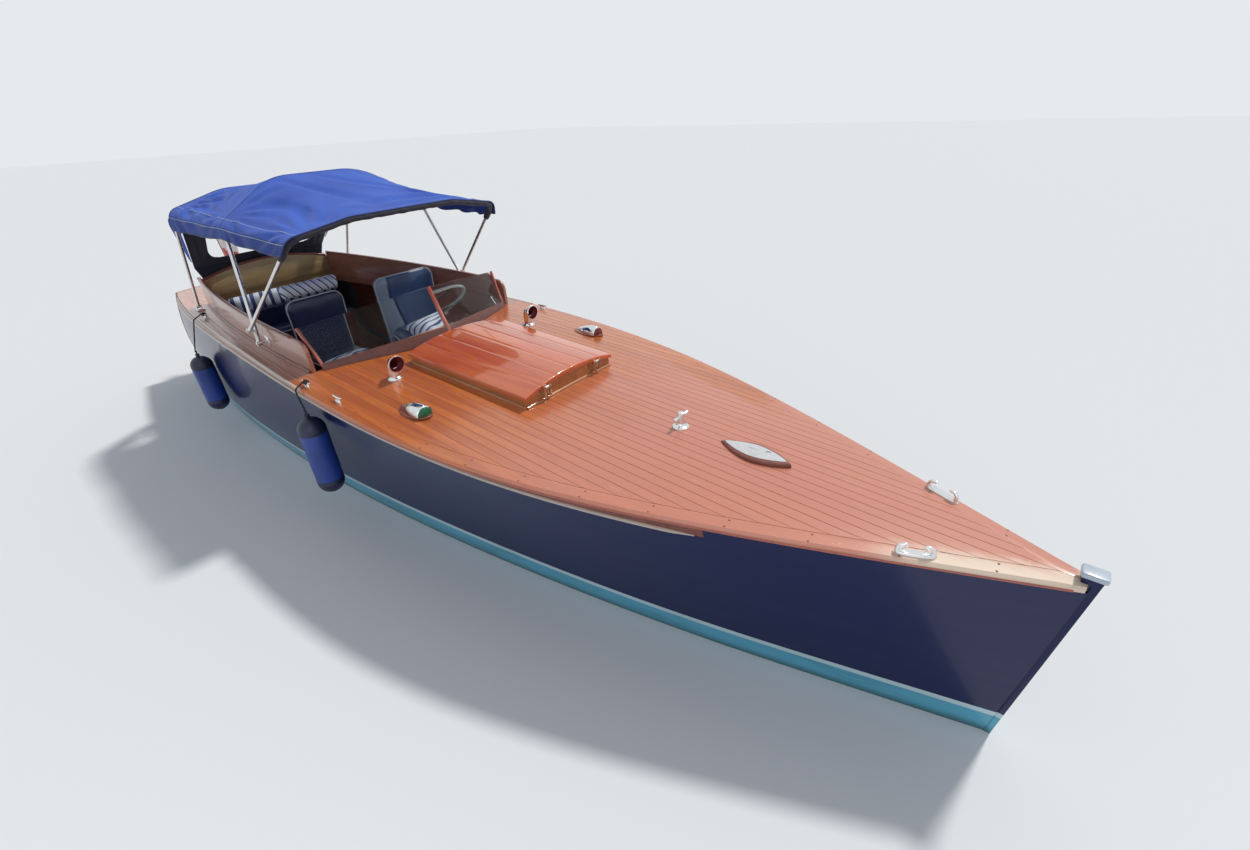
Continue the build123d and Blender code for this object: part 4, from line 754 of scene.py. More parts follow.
def turnedPiece(name, profile, place, axis, material, steps=40, materials=None, slots=None):
    # profile: points (along the axis, radius)
    axis = Vector(axis).normalized()
    turn = axis.to_track_quat("Z", "Y").to_matrix()
    verts = []
    for along, radius in profile:
        for step in range(steps):
            angle = 2 * math.pi * step / steps
            spot = Vector((radius * math.cos(angle), radius * math.sin(angle), along))
            verts.append(Vector(place) + turn @ spot)
    faces = gridFaces(len(profile), steps, closeColumns=True)
    faceSlots = None
    if slots:
        faceSlots = [slots[i] for i in range(len(profile) - 1) for _ in range(steps)]
    piece = makePiece(name, verts, faces, materials or [material], faceSlots)
    tidyNormals(piece, 1e-6)
    return sharpen(piece, 38.0)


def ringPiece(name, rings, materials, slots=None, degrees=45.0):
    # Closed rings of points joined one to the next, with both ends filled
    rings = np.asarray(rings, float)
    rows, count = rings.shape[:2]
    if slots is not None:
        slots = [slot for slot in slots for _ in range(count)] + [slots[0], slots[-1]]
    piece = makePiece(name, rings.reshape(-1, 3), ringFaces(rows, count), materials, slots)
    return sharpen(tidyNormals(piece, 1e-7), degrees)


def boxPiece(name, low, high, bevel, material, segments=3):
    work = bmesh.new()
    bmesh.ops.create_cube(work, size=1.0)
    for vert in work.verts:
        vert.co = [low[i] + (vert.co[i] + 0.5) * (high[i] - low[i]) for i in range(3)]
    mesh = bpy.data.meshes.new(name)
    work.to_mesh(mesh)
    work.free()
    mesh.materials.append(material)
    piece = bpy.data.objects.new(name, mesh)
    bpy.context.scene.collection.objects.link(piece)
    return bevelled(piece, bevel, segments) if bevel else piece


def platePiece(name, outline, thickness, material, bevel, x):
    # outline: points (y, z), pushed both ways from x
    verts = [(x + depth, y, z) for depth in (-thickness / 2, thickness / 2) for y, z in outline]
    count = len(outline)
    faces = [tuple(range(count)), tuple(range(count, 2 * count))]
    faces += [(i, (i + 1) % count, count + (i + 1) % count, count + i) for i in range(count)]
    return bevelled(tidyNormals(makePiece(name, verts, faces, [material]), 1e-7), bevel)


def dressedCopy(node, name, material, bevel=0.0, degrees=35.0, dissolve=0.0):
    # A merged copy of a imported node, with its edges eased
    source = cadNodes[node]
    mesh = source.data.copy()
    piece = bpy.data.objects.new(name, mesh)
    bpy.context.scene.collection.objects.link(piece)
    work = bmesh.new()
    work.from_mesh(mesh)
    bmesh.ops.remove_doubles(work, verts=work.verts, dist=2e-5)
    if dissolve:
        bmesh.ops.dissolve_limit(
            work, angle_limit=math.radians(dissolve), verts=work.verts, edges=work.edges
        )
    work.to_mesh(mesh)
    work.free()
    mesh.materials.clear()
    mesh.materials.append(material)
    if bevel:
        bevelled(piece, bevel, 2, degrees)
    else:
        sharpen(piece, degrees)
    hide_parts(node)
    return piece


def onBody(piece, body="hull", slot=None, replaces=()):
    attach(piece, body)
    if replaces:
        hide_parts(*replaces)
    return piece


def smoothRamp(value, low, high):
    t = np.clip((np.asarray(value, float) - low) / (high - low), 0.0, 1.0)
    return t * t * (3 - 2 * t)


def edgeDrop(distance, size):
    # How far a rounded edge has sunk at a distance from its side
    if distance >= size:
        return 0.0
    return size - math.sqrt(max(size ** 2 - (size - distance) ** 2, 0.0))


# Hull form: one value a station, from the transom to the stem
hullForm = {
    "waterX": (-3.43, -2.70, -1.70, -0.60, 0.50, 1.45, 2.30, 2.93, 3.385),
    "deckX": (-3.43, -2.70, -1.70, -0.60, 0.50, 1.45, 2.30, 2.97, 3.462),
    "keelZ": (-0.110, -0.190, -0.262, -0.298, -0.305, -0.300, -0.285, -0.250, -0.130),
    "deadrise": (7.0, 9.0, 10.0, 11.0, 13.0, 20.0, 32.0, 54.0, 78.0),
    "waterHalf": (0.500, 0.625, 0.700, 0.695, 0.605, 0.465, 0.295, 0.138, 0.019),
    "waterAngle": (74.0, 75.0, 76.0, 80.0, 84.0, 84.0, 84.0, 86.0, 88.0),
    "deckHalf": (0.505, 0.640, 0.768, 0.852, 0.875, 0.766, 0.512, 0.242, 0.032),
    "deckZ": (0.832, 0.872, 0.921, 0.940, 0.919, 0.893, 0.874, 0.861, 0.853),
    "railDrop": (0.074, 0.068, 0.064, 0.062, 0.063, 0.076, 0.085, 0.088, 0.088),
}
hullSettings = {
    "camber": 0.045, "deckThick": 0.022, "wall": 0.025, "stations": 150, "underRows": 5, "bilgeRows": 8,
    "sideRows": 16, "railEndX": 2.30, "railRadius": 0.011,
}


def splineThrough(xs, ys):
    # A natural cubic through the stations
    xs, ys = np.asarray(xs, float), np.asarray(ys, float)
    gaps = np.diff(xs)
    count = len(xs)
    matrix = np.eye(count)
    right = np.zeros(count)
    for i in range(1, count - 1):
        matrix[i, i - 1:i + 2] = (gaps[i - 1], 2 * (gaps[i - 1] + gaps[i]), gaps[i])
        right[i] = 6 * ((ys[i + 1] - ys[i]) / gaps[i] - (ys[i] - ys[i - 1]) / gaps[i - 1])
    bend = np.linalg.solve(matrix, right)

    def value(x):
        x = np.asarray(x, float)
        i = np.clip(np.searchsorted(xs, x) - 1, 0, count - 2)
        near, far, gap = x - xs[i], xs[i + 1] - x, gaps[i]
        curve = (bend[i] * far ** 3 + bend[i + 1] * near ** 3) / (6 * gap)
        line = (ys[i] / gap - bend[i] * gap / 6) * far + (ys[i + 1] / gap - bend[i + 1] * gap / 6) * near
        return curve + line

    return value


atWater = {key: splineThrough(hullForm["waterX"], values) for key, values in hullForm.items()}
atDeck = {key: splineThrough(hullForm["deckX"], values) for key, values in hullForm.items()}


def deckZ(x, y):
    half = atDeck["deckHalf"](x)
    return atDeck["deckZ"](x) + hullSettings["camber"] * half * (1 - (np.asarray(y) / half) ** 2)


def arcBetween(start, angle, end, count):
    # Points of the arc that leaves start at an angle and ends at end
    start, end = np.asarray(start, float), np.asarray(end, float)
    chord = end - start
    turn = math.atan2(chord[1], chord[0]) - angle
    steps = np.linspace(0, 1, count + 1)
    if abs(turn) < 1e-4:
        return start + steps[:, None] * chord
    radius = np.hypot(*chord) / (2 * math.sin(turn))
    heading = angle + 2 * turn * steps
    return start + radius * np.stack(
        [np.sin(heading) - math.sin(angle), math.cos(angle) - np.cos(heading)], 1
    )


def sectionCurve(x, inset=0.0):
    # Keel, bilge and side of one section, as points (half-breadth, z)
    value = {key: float(curve(x)) for key, curve in atWater.items()}
    rise, lean = math.radians(value["deadrise"]), math.radians(value["waterAngle"])
    keel = np.array([0.0, value["keelZ"] + inset / math.cos(rise)])
    water = np.array([value["waterHalf"] - inset / math.sin(lean), 0.0])
    deck = np.array([value["deckHalf"] - inset, value["deckZ"]])
    slope = math.tan((rise + lean) / 2)
    run = (slope * water[0] + keel[1]) / (slope * math.cos(rise) - math.sin(rise))
    bilge = keel + run * np.array([math.cos(rise), math.sin(rise)])
    bottom = keel + np.linspace(0, 1, hullSettings["underRows"] + 1)[:, None] * (bilge - keel)
    turn = arcBetween(bilge, rise, water, hullSettings["bilgeRows"])
    side = arcBetween(water, lean, deck, 48)
    return bottom, turn, side, value


def sideHalf(x, z):
    side = sectionCurve(x)[2]
    return float(np.interp(z, side[:, 1], side[:, 0]))


def stationX(x, z):
    # Stations lean with the stem, so x shifts with height
    return x + (atWater["deckX"](x) - x) * z / atWater["deckZ"](x)


def hullColumn(x, fromZ, toZ, rows, whole=True):
    bottom, turn, side, value = sectionCurve(x)
    heights = np.linspace(fromZ(value), toZ(value), rows + 1)
    upper = np.stack([np.interp(heights, side[:, 1], side[:, 0]), heights], 1)
    points = np.concatenate([bottom[:-1], turn[:-1], upper]) if whole else upper
    place = stationX(x, points[:, 1])
    return np.stack([place, points[:, 0], points[:, 1]], 1)


def mirroredColumns(columns):
    # One closed-at-the-keel sheet from port rail to starboard rail
    rows = []
    for column in columns:
        rows.append(np.concatenate([column[::-1], column[1:] * (1, -1, 1)]))
    return np.array(rows)


stationXs = np.linspace(hullForm["waterX"][0], hullForm["waterX"][-1], hullSettings["stations"])


def railHeight(station):
    return station["deckZ"] - station["railDrop"]


def buildHullSkin(settings):
    rows = settings["sideRows"]
    grid = mirroredColumns([hullColumn(x, lambda station: 0.0, railHeight, rows) for x in stationXs])
    faces = gridFaces(grid.shape[0], grid.shape[1])
    skin = makePiece("hullSkin", grid.reshape(-1, 3), faces, [paint, bilgePaint])
    tidyNormals(skin)
    centre = Vector((0, 0, 0.3))
    if (skin.data.polygons[0].center - centre).dot(skin.data.polygons[0].normal) < 0:
        skin.data.flip_normals()
    modifier = skin.modifiers.new("wall", "SOLIDIFY")
    modifier.thickness = settings["wall"]
    modifier.offset = -1.0
    modifier.material_offset = 1
    modifier.material_offset_rim = 0
    applyModifiers(skin)
    sharpen(skin, 40.0)
    return onBody(skin, "hull", "navy_paint", ["topsides", "bottom_shell"])


def buildStrakes(settings):
    parts = []
    for side in (1, -1):
        toEdge = lambda station: station["deckZ"] - settings["deckThick"]
        columns = [hullColumn(x, railHeight, toEdge, 5, False) for x in stationXs]
        grid = np.array(columns) * (1, side, 1)
        painted = stationXs[:-1] > settings["railEndX"]
        slots = np.repeat(painted, grid.shape[1] - 1)
        faces = gridFaces(grid.shape[0], grid.shape[1], flip=side > 0)
        strake = makePiece("strake", grid.reshape(-1, 3), faces, [darkWood, paint], slots)
        strake.data.update()
        if strake.data.polygons[10].normal.y * side < 0:
            strake.data.flip_normals()
        thickened(strake, settings["wall"])
        parts.append(sharpen(strake, 40.0))
    return onBody(joinPieces("sheerStrakes", parts), "hull", "mahogany", ["sheer_strakes"])


def buildRubRails(settings):
    parts = []
    radius = settings["railRadius"]
    turns = np.linspace(-math.pi / 2, math.pi / 2, 9)
    half = np.stack([radius * np.cos(turns), radius * 0.9 * np.sin(turns)], 1)
    half = np.concatenate([half, [[-0.004, radius * 0.9], [-0.004, -radius * 0.9]]])
    xs = np.linspace(hullForm["waterX"][0] + 0.004, settings["railEndX"], 160)
    for side in (1, -1):
        path, profiles = [], []
        for x in xs:
            z = float(atWater["deckZ"](x) - atWater["railDrop"](x))
            path.append((float(stationX(x, z)), side * sideHalf(x, z), z))
            taper = float(1.0 - 0.65 * smoothRamp(x, settings["railEndX"] - 0.10, settings["railEndX"]))
            profiles.append(half * (-side * taper, taper))
        rail = sweptProfile("rail", path, profiles, trimPaint)
        parts.append(sharpen(rail, 60.0))
    return onBody(joinPieces("rubRails", parts), "hull", "pale_trim", ["rub_rails"])


print("stage: hull form ready")
buildHullSkin(hullSettings)
buildStrakes(hullSettings)
buildRubRails(hullSettings)

# Cockpit outline and deck boards
cockpit = {
    "frontX": -0.106, "midX": -1.30, "aftX": -2.42, "frontHalf": 0.738, "midHalf": 0.692, "aftHalf": 0.535,
    "coamingThick": 0.020, "coamingTop": 1.126, "coamingLow": 0.86, "frontRound": 0.070,
}
deckSettings = {
    "cover": 0.066, "plank": 0.046, "seam": 0.0016, "seamDepth": 0.0014, "edgeRound": 0.008, "columns": 110,
    "hatchWallAft": 0.297, "hatchWallFront": 1.222, "hatchHalfAft": 0.326, "hatchHalfFront": 0.306,
    "bowX": 3.452,
}


def circleThrough(a, b, c):
    # Centre and radius of the circle through three plan points
    (ax, ay), (bx, by), (cx, cy) = a, b, c
    d = 2 * (ax * (by - cy) + bx * (cy - ay) + cx * (ay - by))
    sa, sb, sc = ax * ax + ay * ay, bx * bx + by * by, cx * cx + cy * cy
    x = (sa * (by - cy) + sb * (cy - ay) + sc * (ay - by)) / d
    y = (sa * (cx - bx) + sb * (ax - cx) + sc * (bx - ax)) / d
    return x, y, math.hypot(ax - x, ay - y)


cockpitArc = circleThrough(
    (cockpit["frontX"], cockpit["frontHalf"]), (cockpit["midX"], cockpit["midHalf"]),
    (cockpit["aftX"], cockpit["aftHalf"])
)


def cockpitHalf(x):
    cx, cy, radius = cockpitArc
    return cy + math.sqrt(max(radius ** 2 - (x - cx) ** 2, 0.0))


def deckLimit(x, inset=0.0):
    return float(atDeck["deckHalf"](x)) - inset


def boardStrip(xs, innerAt, outerAt, side, across, outerRound=0.0, innerRound=0.0):
    # Top, sides and underside of one board that follows the deck, as rings along x
    thick = hullSettings["deckThick"]
    rings = []
    for x in xs:
        inner, outer = innerAt(x), outerAt(x)
        ring = []
        for share in np.linspace(0, 1, across):
            y = inner + (outer - inner) * share
            drop = max(edgeDrop(outer - y, outerRound), edgeDrop(y - inner, innerRound))
            ring.append((x, side * y, float(deckZ(x, y)) - drop))
        ring.append((x, side * outer, float(deckZ(x, outer)) - thick))
        ring.append((x, side * inner, float(deckZ(x, inner)) - thick))
        rings.append(ring)
    return np.array(rings)


def plankShares(settings):
    # Places across one plank: its two eased edges and its flat
    gap = settings["seam"] / settings["plank"]
    return [
        (0.0, settings["seamDepth"]), (gap, 0.0), (0.5, 0.0), (1 - gap, 0.0), (1.0, settings["seamDepth"])
    ]


def plankPiece(side, low, high, fromX, toX, settings, columns):
    # One straight plank, cut off where it meets the covering board
    thick = hullSettings["deckThick"]
    inner = lambda x: deckLimit(x, settings["cover"])
    fine = [x for x in np.linspace(fromX, toX, 1500) if inner(x) > low + 0.0006]
    if len(fine) < 3:
        return None
    xs = np.linspace(fine[0], fine[-1], columns)
    xs = np.unique(np.concatenate([xs, np.linspace(fine[0], min(fine[0] + 0.3, fine[-1]), 12)]))
    xs = np.unique(np.concatenate([xs, np.linspace(max(fine[-1] - 0.3, fine[0]), fine[-1], 12)]))
    rings = []
    for x in xs:
        top = max(min(high, inner(x)), low + 0.0004)
        shares = plankShares(settings)
        ring = [
            (x, side * (low + (top - low) * share), float(deckZ(x, low + (top - low) * share)) - drop)
            for share, drop in shares
        ]
        ring += [(x, side * y, float(deckZ(x, y)) - thick) for y in (top, low)]
        rings.append(ring)
    return np.array(rings)


def meshFromRings(name, boards, material, planks=()):
    # Boards in one finish; planks have it on the top and dull brown wood in the seams
    verts, faces, slots = [], [], []
    seamed = (1, 0, 0, 1, 1, 1, 1)
    for rings, pattern in [(rings, None) for rings in boards] + [(rings, seamed) for rings in planks]:
        start = len(verts)
        count = rings.shape[1]
        verts.extend(rings.reshape(-1, 3))
        faces += ringFaces(rings.shape[0], count, start)
        slots += list(pattern or (0,) * count) * (rings.shape[0] - 1) + [0, 0]
    piece = makePiece(name, verts, faces, [material, seamWood], slots)
    return sharpen(tidyNormals(piece, 1e-7), 30.0)


def buildForedeck(settings):
    plank, cover = settings["plank"], settings["cover"]
    frontX, bowX = cockpit["frontX"], settings["bowX"]
    aftWall, frontWall = settings["hatchWallAft"], settings["hatchWallFront"]
    ringSets, planks = [], []
    besideHatch = 8
    for side in (1, -1):
        for index in range(20):
            low, high = index * plank, (index + 1) * plank
            runs = [(frontX, aftWall, 10), (frontWall, bowX, 50)]
            if index >= besideHatch:
                runs = [(frontX, bowX, settings["columns"])]
            for fromX, toX, columns in runs:
                rings = plankPiece(side, low, high, fromX, toX, settings, columns)
                if rings is not None:
                    planks.append(rings)
        xs = np.linspace(aftWall, frontWall, 24)
        walls = ((aftWall, frontWall), (settings["hatchHalfAft"], settings["hatchHalfFront"]))
        wallHalf = lambda x: float(np.interp(x, *walls))
        ringSets.append(boardStrip(xs, wallHalf, lambda x: besideHatch * plank - 0.0004, side, 4))
        xs = np.concatenate([np.linspace(frontX, 2.6, 110), np.linspace(2.62, bowX, 60)])
        inner = lambda x: max(deckLimit(x, cover), 0.001)
        ringSets.append(boardStrip(xs, inner, deckLimit, side, 9, settings["edgeRound"], 0.0012))
    deck = meshFromRings("foredeckPlanks", ringSets, deckWood, planks)
    return onBody(deck, "hull", "deck_mahogany", ["foredeck"])


def buildSideDecks(settings):
    ringSets = []
    xs = np.linspace(cockpit["aftX"], cockpit["frontX"], 90)
    for side in (1, -1):
        middle = lambda x: deckLimit(x, settings["cover"] * 0.8)
        ringSets.append(boardStrip(xs, cockpitHalf, lambda x: middle(x) - 0.0012, side, 5, 0.0012))
        ringSets.append(boardStrip(xs, middle, deckLimit, side, 8, settings["edgeRound"], 0.0012))
    deck = meshFromRings("sideDeckBoards", ringSets, coamingWood)
    return onBody(deck, "hull", "deck_mahogany", ["side_decks"])


def buildAftDeck(settings):
    sternX, frontX = hullForm["waterX"][0], cockpit["aftX"]
    cover = settings["cover"]
    ringSets, planks = [], []
    for side in (1, -1):
        for index in range(14):
            low, high = index * settings["plank"], (index + 1) * settings["plank"]
            rings = plankPiece(side, low, high, sternX + 0.05, frontX, settings, 40)
            if rings is not None:
                planks.append(rings)
        xs = np.linspace(sternX, frontX, 50)
        inner = lambda x: deckLimit(x, cover)
        ringSets.append(boardStrip(xs, inner, deckLimit, side, 8, settings["edgeRound"], 0.0012))
    xs = np.linspace(sternX, sternX + 0.05, 4)
    ringSets.append(boardStrip(xs, lambda x: -deckLimit(x, cover), lambda x: deckLimit(x, cover), 1, 24))
    deck = meshFromRings("aftDeckPlanks", ringSets, deckWood, planks)
    return onBody(deck, "hull", "deck_mahogany", ["aft_deck"])


def buildEdgeBeads(settings):
    # Pale bead on the deck edge beside the cockpit, and a red one under the edge forward
    parts = []
    for side in (1, -1):
        xs = np.linspace(cockpit["aftX"], 0.02, 90)
        path = [(x, side * (deckLimit(x) - 0.005), float(deckZ(x, deckLimit(x))) - 0.002) for x in xs]
        parts.append(tubePiece("bead", path, 0.0062, edgePaint, 10))
        xs = np.linspace(0.06, settings["bowX"] - 0.03, 110)
        path = [(x, side * (deckLimit(x) - 0.001), float(atDeck["deckZ"](x)) - 0.020) for x in xs]
        parts.append(tubePiece("bead", path, 0.0050, redWood, 8))
    return onBody(joinPieces("edgeBeads", parts), "hull", "pale_trim")


buildForedeck(deckSettings)
buildSideDecks(deckSettings)
buildAftDeck(deckSettings)
buildEdgeBeads(deckSettings)
print("stage: decks laid")


# Coamings
def buildSideCoamings(settings):
    parts = []
    thick, top, low = settings["coamingThick"], settings["coamingTop"], settings["coamingLow"]
    corner = settings["frontRound"]
    longRun = np.linspace(settings["aftX"] + thick, -0.20, 70)
    xs = np.concatenate([longRun, np.linspace(-0.19, settings["frontX"] - 0.0008, 14)])
    ease = 0.007
    for side in (1, -1):
        rings = []
        for x in xs:
            crest = top - edgeDrop(settings["frontX"] - x, corner)
            outer = cockpitHalf(x)
            inner = outer - thick
            ring = [(x, side * outer, low)]
            for edge, start in ((outer - ease, 0), (inner + ease, 1)):
                ring += [(x, side * y, z) for y, z in quarterArc((edge, crest - ease), ease, start, 4)]
            ring.append((x, side * inner, low))
            rings.append(ring)
        parts.append(ringPiece("coaming", rings, [coamingWood], None, 42.0))
        shelf = [
            (x, side * (cockpitHalf(x) + 0.004), float(deckZ(x, cockpitHalf(x))) + 0.003) for x in xs[:-3]
        ]
        parts.append(tubePiece("bead", shelf, 0.009, darkWood, 10))
        cap = [(x, side * (cockpitHalf(x) - thick / 2), settings["coamingTop"] - 0.001) for x in xs[:-16]]
        parts.append(sweptProfile("cap", cap, circleProfile(0.0145, 12, 0.42), darkWood))
    return onBody(joinPieces("sideCoamings", parts), "hull", "mahogany", ["side_coamings"])


aftBoard = {
    "x": -2.41, "half": 0.533, "low": 0.86, "shoulder": 1.112, "corner": 0.060, "crest": 1.180,
    "thick": 0.020
}


def archOutline(settings, inset=0.0):
    half, corner = settings["half"] - inset, settings["corner"]
    shoulder, crest = settings["shoulder"] - inset, settings["crest"] - inset
    points = [(-half, settings["low"]), (half, settings["low"])]
    points += quarterArc((half - corner, shoulder - corner), corner, 0, 6)
    cx, cy, radius = circleThrough((half - corner, shoulder), (0.0, crest), (-half + corner, shoulder))
    for y in np.linspace(half - corner, -half + corner, 40)[1:-1]:
        points.append((y, cy + math.sqrt(radius ** 2 - (y - cx) ** 2)))
    return points + quarterArc((corner - half, shoulder - corner), corner, 1, 6)


def buildAftBoard(settings):
    board = platePiece(
        "board", archOutline(settings), settings["thick"], tanWood, 0.005, settings["x"]
    )
    outline = archOutline(settings, 0.004)[2:]
    crest = tubePiece("crest", [(settings["x"], y, z) for y, z in outline[3:-3]], 0.0125, darkWood, 12)
    panel = archOutline({**settings, "low": 0.95}, 0.055)
    panelPiece = platePiece("panel", panel, 0.006, tanWood, 0.0025, settings["x"] + 0.012)
    joined = joinPieces("aftBoard", [board, crest, panelPiece])
    return onBody(joined, "hull", "golden_wood", ["aft_coaming"])


buildSideCoamings(cockpit)
buildAftBoard(aftBoard)
print("stage: coamings made")

# Engine hatch
hatchForm = {
    "aftX": 0.275, "frontX": 1.244, "aftHalf": 0.348, "frontHalf": 0.328, "aftEdge": 1.020,
    "frontEdge": 0.998, "crown": 0.044, "thick": 0.020, "planks": 6, "seam": 0.0014, "ease": 0.005,
    "hingeY": 0.190, "hingeX": 1.255, "hingeZ": 1.009, "knuckle": 0.024, "footRound": 0.011,
}


def hatchHalf(x):
    form = hatchForm
    return float(np.interp(x, (form["aftX"], form["frontX"]), (form["aftHalf"], form["frontHalf"])))


def hatchTop(x, y):
    form = hatchForm
    edge = float(np.interp(x, (form["aftX"], form["frontX"]), (form["aftEdge"], form["frontEdge"])))
    radius = (hatchHalf(x) ** 2 + form["crown"] ** 2) / (2 * form["crown"])
    return edge + form["crown"] - radius + math.sqrt(radius ** 2 - y ** 2)


def lidPlank(index, form):
    # One plank of the lid, with its outer edge eased where it is an outer one
    low, high = -1 + 2 * index / form["planks"], -1 + 2 * (index + 1) / form["planks"]
    gap = 0.0035 / form["aftHalf"]
    shares = [(low, form["seam"]), (low + gap, 0.0)]
    shares += [(low + (high - low) * k / 6, 0.0) for k in range(1, 6)]
    shares += [(high - gap, 0.0), (high, form["seam"])]
    if index == 0:
        shares[0] = (low, form["ease"])
        shares.insert(1, (low + 0.4 * gap, form["ease"] * 0.35))
    if index == form["planks"] - 1:
        shares[-1] = (high, form["ease"])
        shares.insert(-1, (high - 0.4 * gap, form["ease"] * 0.35))
    rings = []
    span = form["frontX"] - form["aftX"]
    for t in (0.0, 0.002, 0.005, *np.linspace(0.05, 0.95, 19), 0.995, 0.998, 1.0):
        x = form["aftX"] + span * t
        edge = min(t, 1 - t) * span
        drop = form["ease"] * max(0.0, 1 - edge / form["ease"]) ** 2
        ring = [(x, hatchHalf(x) * s, hatchTop(x, hatchHalf(x) * s) - max(d, drop)) for s, d in shares]
        for s in (high, low):
            ring.append((x, hatchHalf(x) * s, hatchTop(x, hatchHalf(x) * s) - form["thick"]))
        rings.append(ring)
    return np.array(rings)


def buildHatchLid(form):
    planks = meshFromRings("planks", [lidPlank(k, form) for k in range(form["planks"])], hatchWood)
    parts = [planks]
    x, z = form["hingeX"], form["hingeZ"]
    for side in (1, -1):
        y = side * form["hingeY"]
        half = form["knuckle"] / 2
        profile = [
            (-half, 0.0032), (-half, 0.0052), (-half + 0.001, 0.006), (half - 0.001, 0.006), (half, 0.0052),
            (half, 0.0032)
        ]
        parts.append(turnedPiece("knuckle", profile, (x, y, z), (0, 1, 0), chrome, 24))
        low, high = (form["frontX"] - 0.034, y - half, z - 0.001), (x - 0.004, y + half, z + 0.0028)
        parts.append(boxPiece("tab", low, high, 0.001, chrome, 2))
    lid = joinPieces("hatchLid", parts)
    return onBody(lid, bodyOf["hatch_lid"], "hatch_mahogany", ["hatch_lid"])


def buildHatchFoot(form):
    # Quarter-round where the box meets the deck
    aft, front = form["aftX"] + 0.012, form["frontX"] - 0.012
    aftHalf, frontHalf = form["aftHalf"] - 0.012, form["frontHalf"] - 0.012
    parts = []
    corners = [(aft, aftHalf), (front, frontHalf), (front, -frontHalf), (aft, -aftHalf)]
    for start, end in zip(corners, corners[1:] + corners[:1]):
        path = [(*np.add(start, np.subtract(end, start) * t),) for t in np.linspace(0, 1, 40)]
        path = [(x, y, float(deckZ(x, y)) + 0.002) for x, y in path]
        parts.append(tubePiece("foot", path, form["footRound"], curbWood, 14))
    return onBody(joinPieces("hatchFoot", parts), "hull", "golden_wood")


buildHatchLid(hatchForm)
buildHatchFoot(hatchForm)
print("stage: hatch made")


# Padded pieces: a rounded block, remeshed, blown up as cloth and capped
softSettings = {"voxel": 0.0101, "frames": 20, "pressure": 4.0, "shrink": 0.006, "smooth": 3}


def meshPoints(piece):
    points = np.empty(len(piece.data.vertices) * 3, np.float32)
    piece.data.vertices.foreach_get("co", points)
    return points.reshape(-1, 3).astype(float)


def setPoints(piece, points):
    piece.data.vertices.foreach_set("co", np.asarray(points, np.float32).ravel())
    piece.data.update()


def meshNormals(piece):
    normals = np.empty(len(piece.data.vertices) * 3, np.float32)
    piece.data.vertex_normals.foreach_get("vector", normals)
    return normals.reshape(-1, 3).astype(float)


def puffed(piece, settings, cap, restsOn=None):
    # restsOn: the height under which the pad stays where it lies
    modifier = piece.modifiers.new("voxels", "REMESH")
    modifier.mode = "VOXEL"
    modifier.voxel_size = settings["voxel"]
    applyModifiers(piece)
    start = meshPoints(piece)
    cloth = piece.modifiers.new("cloth", "CLOTH")
    cloth.settings.quality = 4
    cloth.settings.mass = 0.3
    cloth.settings.tension_stiffness = 14.0
    cloth.settings.compression_stiffness = 14.0
    cloth.settings.bending_stiffness = 0.4
    cloth.settings.use_pressure = True
    cloth.settings.uniform_pressure_force = settings["pressure"]
    cloth.settings.effector_weights.gravity = 0.0
    cloth.point_cache.frame_start = 1
    cloth.point_cache.frame_end = settings["frames"]
    scene = bpy.context.scene
    for frameNumber in range(1, settings["frames"] + 1):
        scene.frame_set(frameNumber)
    graph = bpy.context.evaluated_depsgraph_get()
    result = bpy.data.meshes.new_from_object(piece.evaluated_get(graph), depsgraph=graph)
    moved = np.empty(len(result.vertices) * 3, np.float32)
    result.vertices.foreach_get("co", moved)
    moved = moved.reshape(-1, 3).astype(float) - start
    piece.modifiers.clear()
    bpy.data.meshes.remove(result)
    scene.frame_set(1)
    length = np.linalg.norm(moved, axis=1)
    moved *= np.minimum(1.0, cap / np.maximum(length, 1e-9))[:, None]
    if restsOn is not None:
        moved *= smoothRamp(start[:, 2], restsOn, restsOn + 0.03)[:, None]
    setPoints(piece, start + moved)
    return sharpen(splitFiner(piece, settings["smooth"]), 70.0)


def pressed(piece, distanceTo, depth, width):
    # A sewn line: the surface sinks where distanceTo is small
    points, normals = meshPoints(piece), meshNormals(piece)
    sink = depth * np.exp(-(distanceTo(points) / width) ** 2)
    setPoints(piece, points - normals * sink[:, None])
    return piece


def onSurface(piece, path, lift=0.0):
    # The path's points moved to the nearest places on the piece
    graph = bpy.context.evaluated_depsgraph_get()
    tree = BVHTree.FromObject(piece, graph)
    placed = []
    for point in path:
        place, normal, _, _ = tree.find_nearest(Vector(point))
        placed.append(tuple(place + normal * lift))
    return placed


def evened(path, rounds=3):
    path = np.asarray(path, float)
    for _ in range(rounds):
        path[1:-1] = (path[:-2] + 2 * path[1:-1] + path[2:]) / 4
    return path


def padBlock(name, low, high, radius, material):
    shrink = softSettings["shrink"]
    low = [a + (shrink if i < 2 else 0.001) for i, a in enumerate(low)]
    high = [a - shrink for a in high]
    return boxPiece(name, low, high, radius, material, 4)


welts = {"radius": 0.0042, "lift": 0.001, "step": 0.012, "inset": 0.010, "corner": 0.03}


def weltOn(piece, name, points, settings):
    # Piping laid on the piece through the points
    dense = []
    for a, b in zip(points, points[1:]):
        count = max(1, int(math.dist(a, b) / settings["step"]))
        dense += [tuple(np.add(a, np.subtract(b, a) * k / count)) for k in range(count)]
    if points[0] == points[-1]:
        dense.append(dense[0])
    line = evened(onSurface(piece, dense, settings["lift"]))
    return tubePiece(name, line, settings["radius"], pipingPale, 8)


